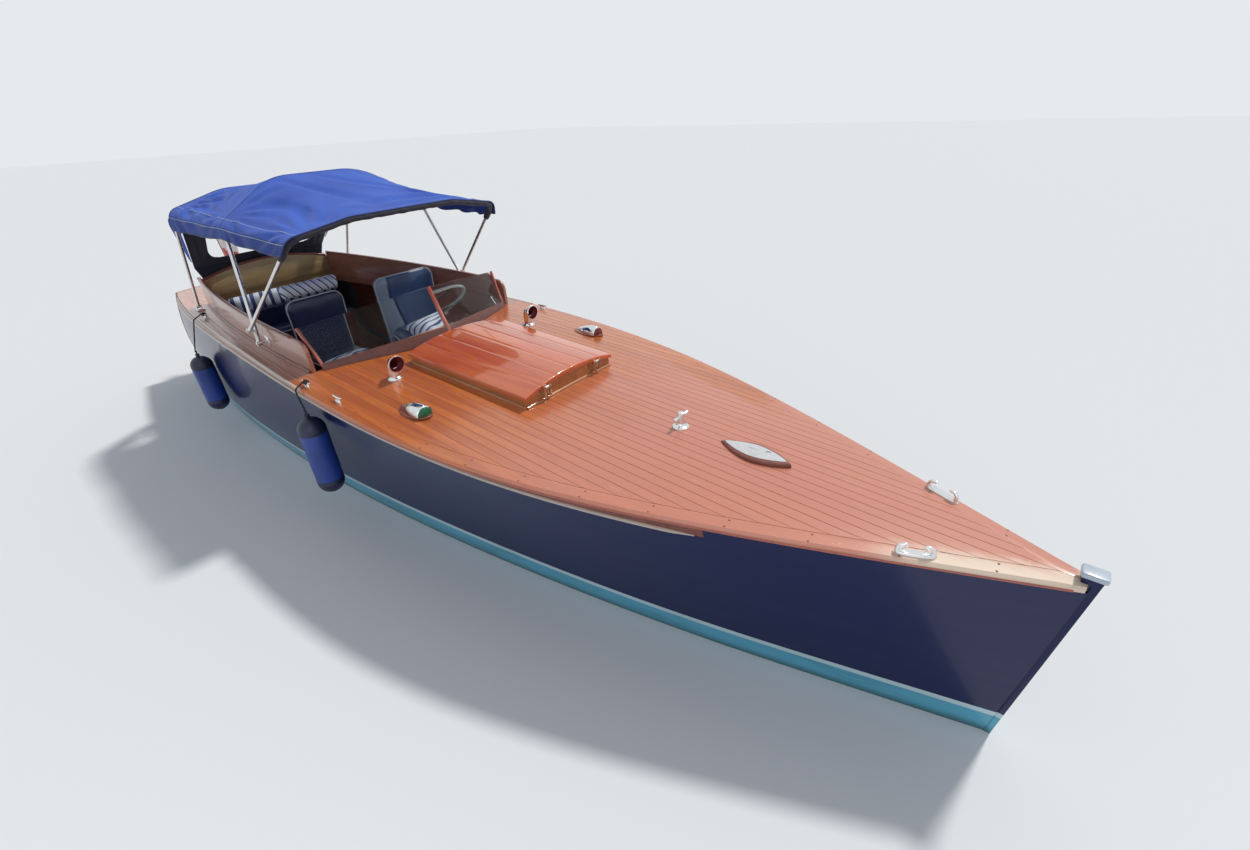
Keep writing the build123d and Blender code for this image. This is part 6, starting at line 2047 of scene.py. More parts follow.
# Fittings on deck
fittings = {
    "vent": {
        "x": 0.370, "y": 0.504, "mouthZ": 1.043, "pipe": 0.027, "mouth": 0.045, "wall": 0.0035,
        "bell": 0.054
    },
    "lamp": {"x": 0.783, "y": 0.649, "length": 0.200, "radius": 0.045, "pad": 0.010, "glass": 0.020},
    "bollard": {"x": 1.925, "post": 0.017, "height": 0.078, "bar": 0.009, "barHalf": 0.055, "barZ": 0.053},
    "pad": {"x": 2.300, "half": 0.165, "wide": 0.065, "wood": 0.016},
    "fairlead": {"x": 2.990, "y": 0.200, "turn": 23.0, "half": 0.070, "wide": 0.016},
    "cleats": [(0.335, -0.820), (0.170, 0.828), (0.020, -0.832), (-2.000, -0.690), (-2.000, 0.690)]
}


def buildVents(form):
    parts = []
    for side in (1, -1):
        x, y, z = form["x"], side * form["y"], form["mouthZ"]
        floor = float(deckZ(x, form["y"]))
        corner = [(x, y, floor - 0.01), (x, y, z), (x + form["bell"], y, z)]
        path = rounded(corner, [0, 0.027, 0], (10, 16, 14))
        tangents = directions(path)
        along = np.linspace(0, 1, len(path))
        radii = form["pipe"] + (form["mouth"] - form["pipe"]) * smoothRamp(along, 0.45, 1.0) ** 0.8
        turns = np.linspace(0, 2 * np.pi, 36, endpoint=False)

        def ring(i, radius, push=0.0):
            above = np.cross(tangents[i], (0, 1, 0))
            spread = np.cos(turns)[:, None] * above + np.sin(turns)[:, None] * np.array([0, 1.0, 0])
            return path[i] + tangents[i] * push + radius * spread

        last = len(path) - 1
        mouth = form["mouth"]
        rings = [ring(i, radii[i]) for i in range(len(path))]
        rings += [
            ring(last, mouth + r, p) for r, p in ((0.0026, 0.0008), (0.003, 0.0025), (0.0018, 0.0042))
        ]
        rings += [ring(last, mouth - form["wall"] * 0.6, 0.0044), ring(last, mouth - form["wall"], 0.002)]
        outer = len(rings) - 1
        rings += [ring(i, radii[i] - form["wall"]) for i in range(last, 11, -1)]
        parts.append(
            ringPiece("vent", rings, [chrome, ventRed], [0] * outer + [1] * (len(rings) - 1 - outer))
        )
        profile = [(-0.004, 0.0), (-0.004, 0.041), (0.002, 0.041), (0.006, 0.038), (0.008, 0.031)]
        profile += [(0.012, 0.028), (0.013, 0.0)]
        parts.append(turnedPiece("flange", profile, (x, y, floor), (0, 0, 1), chrome, 40))
        for k in range(3):
            turn = 2 * math.pi * k / 3 + 0.5
            spot = (x + 0.035 * math.cos(turn), y + 0.035 * math.sin(turn), floor + 0.0062)
            screwSpots.append((spot, (0, 0, 1)))
    return onBody(joinPieces("cowlVents", parts), "hull", "chrome", ["cowl_vents"])


def buildLenses(form):
    parts = []
    rim = form["x"] + form["length"] / 2 - form["glass"]
    for side, glass in ((1, redGlass), (-1, greenGlass)):
        y = side * form["y"]
        seat = float(deckZ(form["x"], form["y"])) + form["pad"]
        rings = []
        for t in np.linspace(0, 1, 12):
            radius = (form["radius"] - 0.006) * math.sqrt(max(1 - t ** 2.6, 0.0004))
            across = np.linspace(0, math.pi, 30)
            ring = [
                (rim + 0.018 * t, y + radius * math.cos(a), seat + radius * math.sin(a) + 0.0004)
                for a in across
            ]
            rings.append(ring)
        parts.append(ringPiece("lens", rings, [glass], None, 50.0))
    return onBody(joinPieces("lampLenses", parts), "hull", "green_glass", ["lamp_lenses"])


def buildBollard(form):
    floor = float(deckZ(form["x"], 0.0))
    r, h = form["post"], form["height"]
    profile = [(-0.004, 0.0), (-0.004, r + 0.022), (0.003, r + 0.022), (0.0065, r + 0.018)]
    profile += [
        (0.009, r + 0.008), (0.016, r + 0.001), (0.024, r), (h - 0.012, r), (h - 0.005, r - 0.002),
        (h - 0.001, r - 0.008), (h, 0.0)
    ]
    post = turnedPiece("post", profile, (form["x"], 0, floor), (0, 0, 1), chrome, 40)
    b, half = form["bar"], form["barHalf"]
    knob = [(-half, 0.0), (-half + 0.001, b * 0.6), (-half + 0.004, b * 1.1), (-half + 0.010, b * 1.15)]
    knob.append((-half + 0.016, b * 0.85))
    profile = knob + [(-0.02, b * 0.9), (0.02, b * 0.9)] + [
        (-along, radius) for along, radius in knob[::-1]
    ]
    bar = turnedPiece("bar", profile, (form["x"], 0, floor + form["barZ"]), (0, 1, 0), chrome, 28)
    for k in range(4):
        turn = math.pi * (0.25 + 0.5 * k)
        spot = (form["x"] + 0.031 * math.cos(turn), 0.031 * math.sin(turn), floor + 0.0058)
        screwSpots.append((spot, (0, 0, 1)))
    return onBody(joinPieces("bollardPost", [post, bar]), "hull", "chrome", ["bollard"])


def lensRing(x, z, half, wide, sides=64, power=1.75):
    turns = np.linspace(0, 2 * np.pi, sides, endpoint=False)
    ring = []
    for turn in turns:
        s = math.cos(turn)
        w = wide * max(1 - abs(s) ** power, 0.0) ** 0.92
        ring.append((x + half * s, math.copysign(w, math.sin(turn)), z))
    return ring


def buildPad(form):
    x = form["x"]
    floor = float(deckZ(x, 0.0))
    top = floor + form["wood"]
    half, wide = form["half"], form["wide"]
    levels = [(-0.012, 1.0), (0.004, 1.0), (0.010, 0.985), (0.0145, 0.955), (0.016, 0.92), (0.016, 0.5)]
    rings = [
        lensRing(x, floor + rise, half * (0.02 + 0.98 * share), wide * share) for rise, share in levels
    ]
    wood = ringPiece("bowPad", rings, [darkWood])
    onBody(wood, "hull", "mahogany", ["bow_pad"])
    levels = [(0.0, 0.86, 0.70), (0.003, 0.87, 0.72), (0.0065, 0.84, 0.66), (0.009, 0.78, 0.56)]
    levels += [(0.012, 0.62, 0.38), (0.0138, 0.30, 0.16)]
    rings = [lensRing(x, top + rise - 0.0005, half * a, wide * b) for rise, a, b in levels]
    metal = ringPiece("plate", rings, [chrome])
    profile = [(-0.006, 0.0), (-0.006, 0.017), (0.0005, 0.0175), (0.0022, 0.0160)]
    profile += [(0.0022, 0.0125), (-0.003, 0.0118), (-0.003, 0.0)]
    # The collar's inner wall, down into the hawse, is near-black: painted shade in the opening
    place, finishes = (x + 0.062, 0.0, top + 0.011), [chrome, hawseShadeBlack]
    collar = turnedPiece("collar", profile, place, (0.12, 0, 1), chrome, 40, finishes, [0, 0, 0, 0, 1, 1])
    shares = np.linspace(0, 0.62, 16)
    bridge = [(x - 0.075 + 0.150 * t, 0.0, top + 0.006 + 0.0075 * math.sin(math.pi * t)) for t in shares]
    rib = tubePiece("rib", bridge, 0.0042, chrome, 12)
    for away in (-0.118, 0.118):
        screwSpots.append(((x + away, 0, top + 0.0072), (0, 0, 1)))
    return onBody(joinPieces("bowFitting", [metal, collar, rib]), "hull", "chrome", ["bow_fitting"])


# Points (out from the middle, above the deck) of a fairlead's horn
hornPoints = (
    (0.055, 0.004), (0.056, 0.018), (0.053, 0.029), (0.045, 0.0355), (0.033, 0.0372), (0.024, 0.034)
)


def buildFairleads(form):
    parts = []
    for side in (1, -1):
        turn = -side * math.radians(form["turn"])
        x, y = form["x"], side * form["y"]
        floor = float(deckZ(x, form["y"]))
        cos, sin = math.cos(turn), math.sin(turn)

        def spot(a, b, c):
            return (x + a * cos - b * sin, y + a * sin + b * cos, floor + c)

        levels = [(-0.010, 1.0), (0.004, 1.0), (0.008, 0.95), (0.010, 0.86), (0.010, 0.4)]
        rings = []
        for rise, share in levels:
            ring = lensRing(0.0, 0.0, form["half"], form["wide"] * share, 48, 4.0)
            rings.append([spot(a * (0.06 + 0.94 * share), b, rise) for a, b, _ in ring])
        parts.append(ringPiece("base", rings, [chrome]))
        for end in (1, -1):
            out, rise = (splineThrough(range(len(hornPoints)), values) for values in zip(*hornPoints))
            steps = np.linspace(0, len(hornPoints) - 1, 26)
            path = [spot(end * float(out(s)), 0.0, float(rise(s))) for s in steps]
            sizes = np.interp(steps, (0, 1, 4, 4.7, 5), (0.0105, 0.0082, 0.0062, 0.0052, 0.0012))
            parts.append(tubePiece("horn", path, sizes, chrome, 16))
            screwSpots.append((spot(end * 0.034, 0, 0.0100), (0, 0, 1)))
    return onBody(joinPieces("bowFairleads", parts), "hull", "chrome", ["fairleads"])


def buildCleats(places):
    parts = []
    for x, y in places:
        floor = float(deckZ(x, y))
        levels = [(-0.010, 1.0), (0.0015, 1.0), (0.0035, 0.9), (0.0042, 0.5)]
        rings = [np.insert(circleProfile(0.026 * s, 32, 0.009 / 0.026), 2, rise, 1) for rise, s in levels]
        parts.append(ringPiece("plate", np.array(rings) + (x, y, floor), [chrome]))
        rise = np.linspace(0, 1, 8)
        sizes = np.interp(rise, (0, 0.4, 1), (0.0075, 0.0052, 0.0060))
        for lean in (-1, 1):
            path = [(x + lean * (0.015 - 0.003 * t), y, floor + 0.002 + 0.022 * t) for t in rise]
            parts.append(tubePiece("leg", path, sizes, chrome, 14))
        s = np.linspace(-1, 1, 33)
        path = [(x + 0.045 * a, y, floor + 0.024 + 0.004 * a * a) for a in s]
        sizes = 0.0072 * np.sqrt(np.clip(1 - np.abs(s) ** 6, 0.03, 1)) * (1 - 0.35 * np.abs(s))
        parts.append(tubePiece("horn", path, sizes, chrome, 16))
        for end in (-1, 1):
            screwSpots.append(((x + end * 0.020, y, floor + 0.0034), (0, 0, 1)))
    return onBody(joinPieces("sideCleats", parts), "hull", "chrome", ["side_cleats"])


# Where screws sit on the fittings, and marks on the dials, each with the way it faces
screwSpots, dialSpots = [], []
buildVents(fittings["vent"])
buildLenses(fittings["lamp"])
buildBollard(fittings["bollard"])
buildPad(fittings["pad"])
buildFairleads(fittings["fairlead"])
buildCleats(fittings["cleats"])
print("stage: deck fittings made")

# Fenders on their lines
fenderForm = {
    "rows": [{"x": 0.020, "top": 0.760, "length": 0.500, "home": (0.020, -0.832)},
             {"x": -2.000, "top": 0.640, "length": 0.460, "home": (-2.000, -0.690)}],
    "radius": 0.075, "line": 0.0046, "pitch": 0.030,
}


def twistedRope(name, path, radius, pitch, material):
    # Three strands laid round the path
    path = np.asarray(path, float)
    lengths = runLengths(path)
    t = np.linspace(0, lengths[-1], max(8, int(lengths[-1] / 0.0045)))
    line = evened(placesAlong(path, lengths, t), 2)
    tangents = directions(line)
    side = np.cross(tangents[0], (1.0, 0.3, 0.2))
    strands = [[], [], []]
    for point, tangent, run in zip(line, tangents, t):
        side = side - tangent * (side @ tangent)
        side /= np.linalg.norm(side)
        other = np.cross(tangent, side)
        for k in range(3):
            turn = 2 * math.pi * (run / pitch + k / 3)
            strands[k].append(point + radius * 0.52 * (math.cos(turn) * side + math.sin(turn) * other))
    return joinPieces(name, [tubePiece("strand", strand, radius * 0.56, material, 7) for strand in strands])


def buildFenders(form):
    bodies, lines = [], []
    packed = meshPoints(cadNodes["fenders"])
    for row in form["rows"]:
        near = packed[np.abs(packed[:, 0] - row["x"]) < 0.3]
        y = float(near[:, 1].max() + near[:, 1].min()) / 2
        r, length = form["radius"], row["length"]
        ends = [(r - r * math.cos(a), r * math.sin(a)) for a in np.linspace(0.16, math.pi / 2, 12)]
        lower = [(-0.004, 0.0), (-0.004, 0.011), (0.001, 0.0125)] + ends
        ridges = [
            (r + 0.010, r), (r + 0.013, r - 0.0016), (r + 0.016, r), (r + 0.022, r - 0.0016), (r + 0.026, r)
        ]
        alongs = np.linspace(r + 0.03, length - r - 0.03, 16)
        barrel = [(along, r + 0.0004 * math.sin(40 * along)) for along in alongs]
        upper = [(length - a, b) for a, b in (lower[1:] + ridges)[::-1]]
        profile = lower + ridges + barrel + upper
        profile += [(length + 0.018, 0.0155), (length + 0.022, 0.012), (length + 0.022, 0.0)]
        low, high = len(lower) + 3, len(profile) - len(upper) - 1
        slots = [0 if low <= k < high else 1 for k in range(len(profile) - 1)]
        place = (row["x"], y, row["top"] - length)
        finishes = [rubberBlue, rubberNavy]
        bodies.append(turnedPiece("fender", profile, place, (0, 0, 1), rubberBlue, 48, finishes, slots))
        oval = circleProfile(0.011, 24, 0.009 / 0.011)
        ring = [(row["x"] + a, y, row["top"] + 0.024 + b) for a, b in oval]
        bodies.append(tubePiece("eye", ring, 0.0038, rubberNavy, 10, True))
        homeX, homeY = row["home"]
        edgeZ = float(deckZ(homeX, homeY))
        edge = sideHalf(row["x"], edgeZ) + 0.020
        corners = [(row["x"], y, row["top"] + 0.030), (row["x"], y, row["top"] + 0.056)]
        corners += [
            (row["x"], -max(edge, abs(y) - r), edgeZ + 0.004), (homeX, homeY - 0.002, edgeZ + 0.037)
        ]
        down = rounded(corners, [0, 0.03, 0.022, 0], (6, 6, 40, 8, 16))
        a = np.linspace(0, 5.2 * math.pi, 90)
        hitch = np.stack(
            [0.00504 * a / math.pi - 0.010, 0.0118 * np.cos(a), 0.0245 + 0.0118 * np.sin(a)], 1
        )
        hitch += (homeX, homeY, edgeZ)
        a = np.linspace(0, 4 * math.pi, 60)
        knot = np.stack([0.0105 * np.cos(a), 0.0045 * np.sin(2 * a), 0.036 + 0.0095 * np.sin(a)], 1)
        knot += (row["x"], y, row["top"])
        for path, share in ((down, 1.0), (hitch, 0.9), (knot, 0.9)):
            lines.append(twistedRope("line", path, form["line"] * share, form["pitch"], ropeBlack))
    onBody(joinPieces("fenderBodies", bodies), "hull", "blue_rubber", ["fenders"])
    return onBody(joinPieces("fenderLines", lines), "hull", "rope", ["fender_lanyards"])


buildFenders(fenderForm)


def buildStaff(form):
    lean = math.radians(form["lean"])
    axis = (-math.sin(lean), 0, math.cos(lean))
    floor = float(deckZ(form["foot"], 0.0)) + form["rise"]
    length, r = form["length"], 0.010
    profile = [
        (0.0, 0.0), (0.0, r - 0.001), (0.003, r), (0.06, r), (0.10, r - 0.0004),
        (length - 0.012, r - 0.0022)
    ]
    ball = [(length - 0.016 * math.cos(a), 0.0155 * math.sin(a)) for a in np.linspace(0.55, math.pi, 14)]
    profile += [(length - 0.0142, r + 0.001)] + ball
    slots = [0] * 6 + [1] * (len(profile) - 7)
    staff = turnedPiece(
        "ensignStaff", profile, (form["foot"], 0, floor), axis, redWood, 28, [redWood, bronze], slots
    )
    return onBody(staff, "hull", "mahogany", ["ensign_staff"])


buildStaff(ensignForm)

# Steering wheel, dials and switches
wheelForm = {
    "centre": (-0.270, 0.360, 1.050), "tilt": 40.0, "radius": 0.126, "rim": 0.0088,
    "spokes": (90, 210, 330), "grips": 40
}


def buildWheel(form):
    tilt = math.radians(form["tilt"])
    axis = np.array([math.cos(tilt), 0, -math.sin(tilt)])
    across, above = np.array([0, 1.0, 0]), np.array([math.sin(tilt), 0, math.cos(tilt)])
    centre = np.array(form["centre"])
    at = lambda angle, r, push=0.0: centre + r * (
        math.cos(angle) * across + math.sin(angle) * above
    ) + push * axis
    angles = np.linspace(0, 2 * math.pi, 240, endpoint=False)
    grip = form["rim"] * (1 + 0.05 * np.cos(form["grips"] * angles))
    parts = [tubePiece("rim", [at(a, form["radius"]) for a in angles], grip, rimIvory, 16, True)]
    for degrees in form["spokes"]:
        angle = math.radians(degrees)
        reach = np.linspace(0.012, form["radius"] - 0.004, 16)
        sizes = np.interp(reach, (0.012, 0.05, 0.11, form["radius"]), (0.0072, 0.0056, 0.0048, 0.0070))
        path = [at(angle, r, 0.003 * math.sin(math.pi * r / 0.13)) for r in reach]
        parts.append(tubePiece("spoke", path, sizes, chrome, 14))
    profile = [(-0.020, 0.0), (-0.0195, 0.008), (-0.017, 0.014), (-0.012, 0.018), (-0.010, 0.0225)]
    profile += [
        (-0.006, 0.024), (0.010, 0.024), (0.016, 0.020), (0.022, 0.0125), (0.026, 0.009), (0.086, 0.009),
        (0.086, 0.0)
    ]
    parts.append(turnedPiece("hub", profile, centre, axis, chrome, 40))
    wheel = joinPieces("steeringWheel", parts)
    return onBody(wheel, bodyOf["steering_wheel"], "chrome", ["steering_wheel"])


panel = {
    "x": -0.125,
    "dials": [(0.195, 0.862, 0.041), (0.512, 0.862, 0.041), (0.105, 0.856, 0.024), (0.598, 0.856, 0.024)],
    "switches": [0.150, 0.200, 0.250, 0.300, 0.420, 0.470, 0.520, 0.570], "switchZ": 0.778,
    "plateZ": (0.752, 0.806), "lever": (0.660, 0.875)
}


def buildPanel(form):
    parts, needles = [], []
    face = form["x"]
    for y, z, r in form["dials"]:
        profile = [(0.002, 0.0), (0.002, r), (-0.004, r), (-0.009, r * 0.96), (-0.010, r * 0.90)]
        profile += [(-0.006, r * 0.86), (-0.004, r * 0.85), (-0.004, 0.0)]
        materials, slots = [chrome, dialBlack], [0, 0, 0, 0, 0, 0, 1]
        parts.append(turnedPiece("dial", profile, (face, y, z), (1, 0, 0), chrome, 48, materials, slots))
        for k in range(11):
            turn = math.radians(225 - 27 * k)
            spot = (face - 0.0045, y + 0.72 * r * math.cos(turn), z + 0.72 * r * math.sin(turn))
            dialSpots.append((spot, (0, math.cos(turn), math.sin(turn))))
        turn = math.radians(165 - 500 * r)
        reach = np.linspace(-0.16 * r, 0.62 * r, 6)
        needle = [(face - 0.0062, y + s * math.cos(turn), z + s * math.sin(turn)) for s in reach]
        needles.append(tubePiece("needle", needle, np.linspace(0.0012, 0.0005, 6), dialWhite, 8))
        profile = [(0.0, 0.0), (0.0, 0.003), (-0.003, 0.002), (-0.0035, 0.0)]
        needles.append(turnedPiece("cap", profile, (face - 0.005, y, z), (1, 0, 0), chrome, 16))
    for low, high in ((0.125, 0.325), (0.395, 0.595)):
        corners = (face - 0.003, low, form["plateZ"][0]), (face + 0.001, high, form["plateZ"][1])
        parts.append(boxPiece("plate", *corners, 0.0012, stainless, 2))
        for y in (low + 0.008, high - 0.008):
            screwSpots.append(((face - 0.003, y, form["switchZ"]), (-1, 0, 0)))
    for index, y in enumerate(form["switches"]):
        profile = [(0.0, 0.0), (0.0, 0.0075), (-0.004, 0.0075), (-0.0055, 0.0055), (-0.0055, 0.0)]
        parts.append(turnedPiece("nut", profile, (face - 0.003, y, form["switchZ"]), (1, 0, 0), chrome, 12))
        lean = -0.35 if index % 3 else 0.35
        path = [
            (face - 0.006 - 0.016 * t, y, form["switchZ"] + lean * 0.016 * t) for t in np.linspace(0, 1, 6)
        ]
        parts.append(tubePiece("toggle", path, np.linspace(0.0020, 0.0034, 6), chrome, 10))
    leverY, leverZ = form["lever"]
    profile = [
        (0.001, 0.0), (0.001, 0.026), (-0.006, 0.024), (-0.012, 0.016), (-0.020, 0.012), (-0.021, 0.0)
    ]
    parts.append(turnedPiece("lever", profile, (face, leverY, leverZ), (1, 0, 0), chrome, 32))
    corners = ((-0.014, 0.0, 0.0), (-0.030, -0.012, 0.085), (-0.085, -0.020, 0.145))
    path = rounded(np.add(corners, (face, leverY, leverZ)), [0, 0.04, 0], (8, 10, 8))
    parts.append(tubePiece("lever", path, np.linspace(0.0062, 0.0042, len(path)), chrome, 14))
    knob = [(-0.012 * math.cos(a), 0.0125 * math.sin(a)) for a in np.linspace(0, math.pi, 14)]
    parts.append(turnedPiece("knob", knob, tuple(path[-1]), (0, 0, 1), dialBlack, 24))
    return onBody(joinPieces("dashPanel", parts + needles), "hull", "chrome")


buildWheel(wheelForm)
buildPanel(panel)
print("stage: wheel and dash made")

# Propeller
screwForm = {
    "x": -2.690, "z": -0.365, "radius": 0.150, "root": 0.022, "hub": 0.034, "blades": 3, "pitch": 0.25,
    "wide": 0.052, "thick": 0.0045
}


def buildPropeller(form):
    x, z = form["x"], form["z"]
    parts = []
    rows, columns = 18, 13
    for blade in range(form["blades"]):
        turned = 2 * math.pi * blade / form["blades"]
        rings = []
        for t in np.linspace(0, 1, rows):
            r = form["root"] + (form["radius"] - form["root"]) * t
            fullness = max(math.sin(math.pi * (0.10 + 0.88 * t ** 0.85)), 0.0) ** 0.6
            chord = form["wide"] * fullness * (1 if t < 1 else 0.25)
            pitch = math.atan2(form["pitch"], 2 * math.pi * r)
            ring = []
            for side in (1, -1):
                shares = np.linspace(-1, 1, columns) if side > 0 else np.linspace(1, -1, columns)[1:-1]
                for s in shares:
                    lift = side * form["thick"] * (1.15 - 0.8 * t) * math.sqrt(max(1 - s * s, 0.0))
                    a = chord * s * math.sin(pitch) + lift * math.cos(pitch)
                    b = chord * s * math.cos(pitch) - lift * math.sin(pitch)
                    angle = turned + b / r * 0.85
                    ring.append((x + a, r * math.sin(angle), z + r * math.cos(angle)))
            rings.append(ring)
        parts.append(ringPiece("blade", rings, [bronze], None, 40.0))
    h = form["hub"]
    profile = [(-0.068, 0.0), (-0.066, 0.009), (-0.056, 0.019), (-0.045, 0.026), (-0.043, h * 0.95)]
    profile += [(0.0, h), (0.043, h * 0.92), (0.045, 0.0151), (0.365, 0.0148), (0.365, 0.0)]
    parts.append(turnedPiece("hub", profile, (x, 0, z), (1, 0, 0), bronze, 40))
    return onBody(joinPieces("propellerBlades", parts), bodyOf["propeller"], "bronze", ["propeller"])


buildPropeller(screwForm)

# Slatted lining inside the cockpit
liningForm = {
    "fromX": -2.38, "toX": -0.14, "low": 0.352, "step": 0.070, "slats": 7, "wide": 0.062, "inset": 0.0275,
    "thick": 0.007
}


def insideHalf(x, z, inset):
    side = sectionCurve(x, inset)[2]
    return float(np.interp(z, side[:, 1], side[:, 0]))


def buildLining(form):
    sets = []
    xs = np.linspace(form["fromX"], form["toX"], 56)
    for index in range(form["slats"]):
        low = form["low"] + index * form["step"]
        high = low + form["wide"]
        for side in (1, -1):
            rings = []
            for x in xs:
                ring = []
                thick = form["thick"]
                for z, inset in ((low, 0.0), (low + 0.002, thick), (high - 0.002, thick), (high, 0.0)):
                    y = insideHalf(x, z, form["inset"] + inset)
                    ring.append((float(stationX(x, z)), side * y, z))
                rings.append(ring)
            sets.append(np.array(rings))
    lining = meshFromRings("cockpitLining", sets, liningWood)
    return onBody(lining, "hull", "mahogany")


buildLining(liningForm)
print("stage: propeller and lining made")

# What repeats: bungs, screws, stitches and dial marks, set on points by geometry nodes
repeatForm = {
    "bung": 0.0045, "bungGap": 0.27, "screw": 0.0030, "railGap": 0.30, "stitch": 0.0045, "stitchGap": 0.011,
    "thread": 0.0006
}


def studTree():
    tree = bpy.data.node_groups.new("studsOnPoints", "GeometryNodeTree")
    interface = tree.interface
    interface.new_socket("Geometry", in_out="INPUT", socket_type="NodeSocketGeometry")
    for label, kind, value in (
        ("Radius", "NodeSocketFloat", 0.004), ("Height", "NodeSocketFloat", 0.001),
        ("Sides", "NodeSocketInt", 10), ("Uneven", "NodeSocketFloat", 0.0), ("Seed", "NodeSocketInt", 7),
        ("Surface", "NodeSocketMaterial", None)
    ):
        socket = interface.new_socket(label, in_out="INPUT", socket_type=kind)
        if value is not None:
            socket.default_value = value
    interface.new_socket("Geometry", in_out="OUTPUT", socket_type="NodeSocketGeometry")
    start = tree.nodes.new("NodeGroupInput").outputs
    points = add(tree, "GeometryNodeMeshToPoints", {"Mesh": start["Geometry"]})
    stud = add(
        tree, "GeometryNodeMeshCylinder",
        {"Vertices": start["Sides"], "Radius": start["Radius"], "Depth": start["Height"]}
    )
    facing = add(tree, "GeometryNodeInputNamedAttribute", {"Name": "facing"}, data_type="FLOAT_VECTOR")
    turn = add(tree, "FunctionNodeAlignRotationToVector", {"Vector": facing.outputs["Attribute"]}, axis="Z")
    lowest = add(tree, "ShaderNodeMath", {0: 1.0, 1: start["Uneven"]}, operation="SUBTRACT").outputs[0]
    size = add(tree, "FunctionNodeRandomValue", {"Seed": start["Seed"]}, data_type="FLOAT")
    tree.links.new(lowest, size.inputs[2])
    size.inputs[3].default_value = 1.0
    placed = add(
        tree, "GeometryNodeInstanceOnPoints",
        {
            "Points": points.outputs[0], "Instance": stud.outputs["Mesh"], "Rotation": turn.outputs[0],
            "Scale": size.outputs[1]
        }
    )
    real = add(tree, "GeometryNodeRealizeInstances", {"Geometry": placed.outputs[0]})
    dressedUp = add(
        tree, "GeometryNodeSetMaterial", {"Geometry": real.outputs[0], "Material": start["Surface"]}
    )
    end = tree.nodes.new("NodeGroupOutput")
    tree.links.new(dressedUp.outputs[0], end.inputs["Geometry"])
    return tree


studNodes = studTree()
studSockets = {
    item.name: item.identifier for item in studNodes.interface.items_tree if item.in_out == "INPUT"
}


def repeated(name, places, radius, height, material, sides=10, uneven=0.0):
    # places: (point, facing)
    piece = makePiece(name, [p for p, _ in places], [], [])
    facing = piece.data.attributes.new("facing", "FLOAT_VECTOR", "POINT")
    facing.data.foreach_set("vector", np.array([f for _, f in places], np.float32).ravel())
    modifier = piece.modifiers.new("studs", "NODES")
    modifier.node_group = studNodes
    values = {
        "Radius": radius, "Height": height, "Sides": sides, "Uneven": uneven, "Seed": 11,
        "Surface": material
    }
    for label, value in values.items():
        modifier[studSockets[label]] = value
    applyModifiers(piece)
    return sharpen(piece, 50.0)


def deckStuds(form):
    bungs, screws = [], []
    cover = deckSettings["cover"]
    for side in (1, -1):
        for x in np.arange(-0.02, 3.30, form["bungGap"]):
            for inward in (0.22, 0.78):
                y = deckLimit(x) - cover * inward
                bungs.append(((x, side * y, float(deckZ(x, y)) + 0.0001), (0, 0, 1)))
        for x in np.arange(-3.36, -2.44, form["bungGap"]):
            y = deckLimit(x) - cover * 0.5
            bungs.append(((x, side * y, float(deckZ(x, y)) + 0.0001), (0, 0, 1)))
        for x in np.arange(-2.30, -0.15, form["bungGap"]):
            y = (cockpitHalf(x) + deckLimit(x)) / 2 - 0.012
            bungs.append(((x, side * y, float(deckZ(x, y)) + 0.0001), (0, 0, 1)))
            bungs.append(
                ((x, side * (cockpitHalf(x) - cockpit["coamingThick"] - 0.0001), 0.985), (0, -side, 0))
            )
        for x in np.arange(-3.30, 2.20, form["railGap"]):
            z = float(atWater["deckZ"](x) - atWater["railDrop"](x))
            y = sideHalf(x, z) + hullSettings["railRadius"] - 0.0004
            screws.append(((float(stationX(x, z)), side * y, z), (0, side, 0)))
    return bungs, screws


def canvasStitches(form):
    # Rows of stitches by the shoulder seams, the ridge and the hems
    grid, normal = canopySheet(canopyForm)
    counts, count = canopyForm["counts"], grid.shape[1]
    lines = []
    for j in (counts[0] + 1, count - 2 - counts[0], 1, count - 2):
        lines.append((grid[:, j], normal[:, j]))
    middle = canopyForm["bayColumns"]
    for i in (middle - 1, middle + 1, 1, grid.shape[0] - 3):
        lines.append((grid[i], normal[i]))
    places = []
    for line, ups in lines:
        lengths = runLengths(line)
        t = np.arange(0.006, lengths[-1], form["stitchGap"])
        spots, up = placesAlong(line, lengths, t), placesAlong(ups, lengths, t)
        lift = canopyForm["thick"] / 2 + 0.0013
        places += [(tuple(p + n * lift), tuple(a)) for p, n, a in zip(spots, up, directions(spots))]
    return places


bungs, railScrews = deckStuds(repeatForm)
onBody(
    repeated("deckBungs", bungs, repeatForm["bung"], 0.0007, darkWood, 14, 0.08), "hull", "deck_mahogany"
)
onBody(repeated("railScrews", railScrews, repeatForm["screw"], 0.0014, bronze, 10), "hull", "bronze")
onBody(repeated("fittingScrews", screwSpots, repeatForm["screw"], 0.0016, stainless, 12), "hull", "chrome")
onBody(repeated("dialMarks", dialSpots, 0.0006, 0.0045, dialWhite, 6), "hull", "chrome")
thread, stitch = repeatForm["thread"], repeatForm["stitch"]
stitches = repeated("canopyStitches", canvasStitches(repeatForm), thread, stitch, canvasPiping, 5)
onBody(stitches, bodyOf["canopy_canvas"], "royal_canvas")
foldCanopy(stitches)
print("stage: bungs, screws and stitches set")


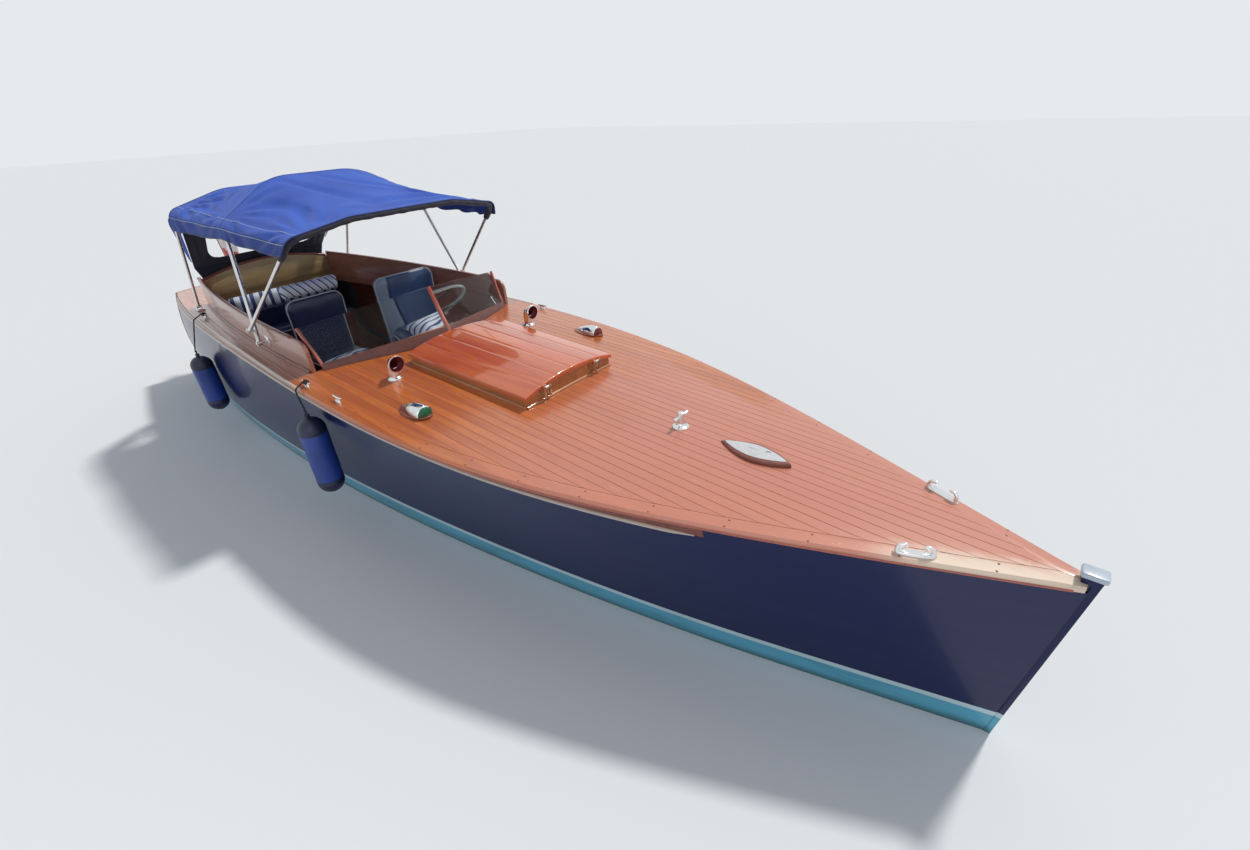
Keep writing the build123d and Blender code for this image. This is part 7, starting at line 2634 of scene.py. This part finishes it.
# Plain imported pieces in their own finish
dressed = [
    ("transom", "transomBoards", darkWood, "mahogany", 0.004),
    ("stem", "stemPost", paint, "navy_paint", 0.006),
    ("keel", "keelAndSkeg", paint, "navy_paint", 0.004),
    ("bulkhead", "bulkheadBoards", darkWood, "mahogany", 0.002),
    ("dashboard", "dashBoard", darkWood, "mahogany", 0.003),
    ("engine", "engineBlock", enginePaint, "engine_paint", 0.012),
    ("engine_bearers", "engineBearers", soleWood, "sole_wood", 0.004),
    ("bench_base", "benchBase", darkWood, "mahogany", 0.006),
    ("front_seat_bases", "seatBases", darkWood, "mahogany", 0.006),
    ("sole", "soleBoards", soleWood, "sole_wood", 0.0),
    ("stem_cap", "stemCap", capPaint, "pale_trim", 0.004),
    ("windscreen_boards", "screenBoards", baseWood, "mahogany", 0.003),
    ("windscreen_posts", "screenPosts", redWood, "mahogany", 0.0),
    ("windscreen_panes", "screenPanes", clearGlass, "glass", 0.0008),
    ("hatch_coaming", "hatchWalls", curbWood, "golden_wood", 0.0),
    ("canopy_feet", "canopyFeet", chrome, "chrome", 0.0008),
    ("canopy_aft_feet", "canopyAftFeet", chrome, "chrome", 0.0012),
    ("lamp_pads", "lampPads", darkWood, "mahogany", 0.002),
    ("side_lamps", "lampHoods", chrome, "chrome", 0.0),
    ("staff_socket", "staffSocket", chrome, "chrome", 0.0),
    ("steering_column", "steeringColumn", chrome, "chrome", 0.0),
    ("rudder", "rudderBlade", bronze, "bronze", 0.0),
    ("canopy_main_hoop", "mainHoop", stainless, "stainless", 0.0),
    ("canopy_front_hoop", "frontHoop", stainless, "stainless", 0.0),
    ("canopy_aft_hoop", "aftHoop", stainless, "stainless", 0.0),
]
for node, name, material, slot, bevel in dressed:
    piece = dressedCopy(node, name, material, bevel, 35.0, 0.5 if bevel else 0.0)
    onBody(piece, bodyOf[node], slot)
print("stage: plain pieces dressed")


def addFloor():
    size = 60.0
    verts = [(-size, -size, 0), (size, -size, 0), (size, size, 0), (-size, size, 0)]
    floor = makePiece(
        "floor", verts, [(0, 1, 2, 3)], [stageMaterial("floorPale", lightSettings)], smooth=False
    )
    return floor


addFloor()

print("stage: all pieces made")
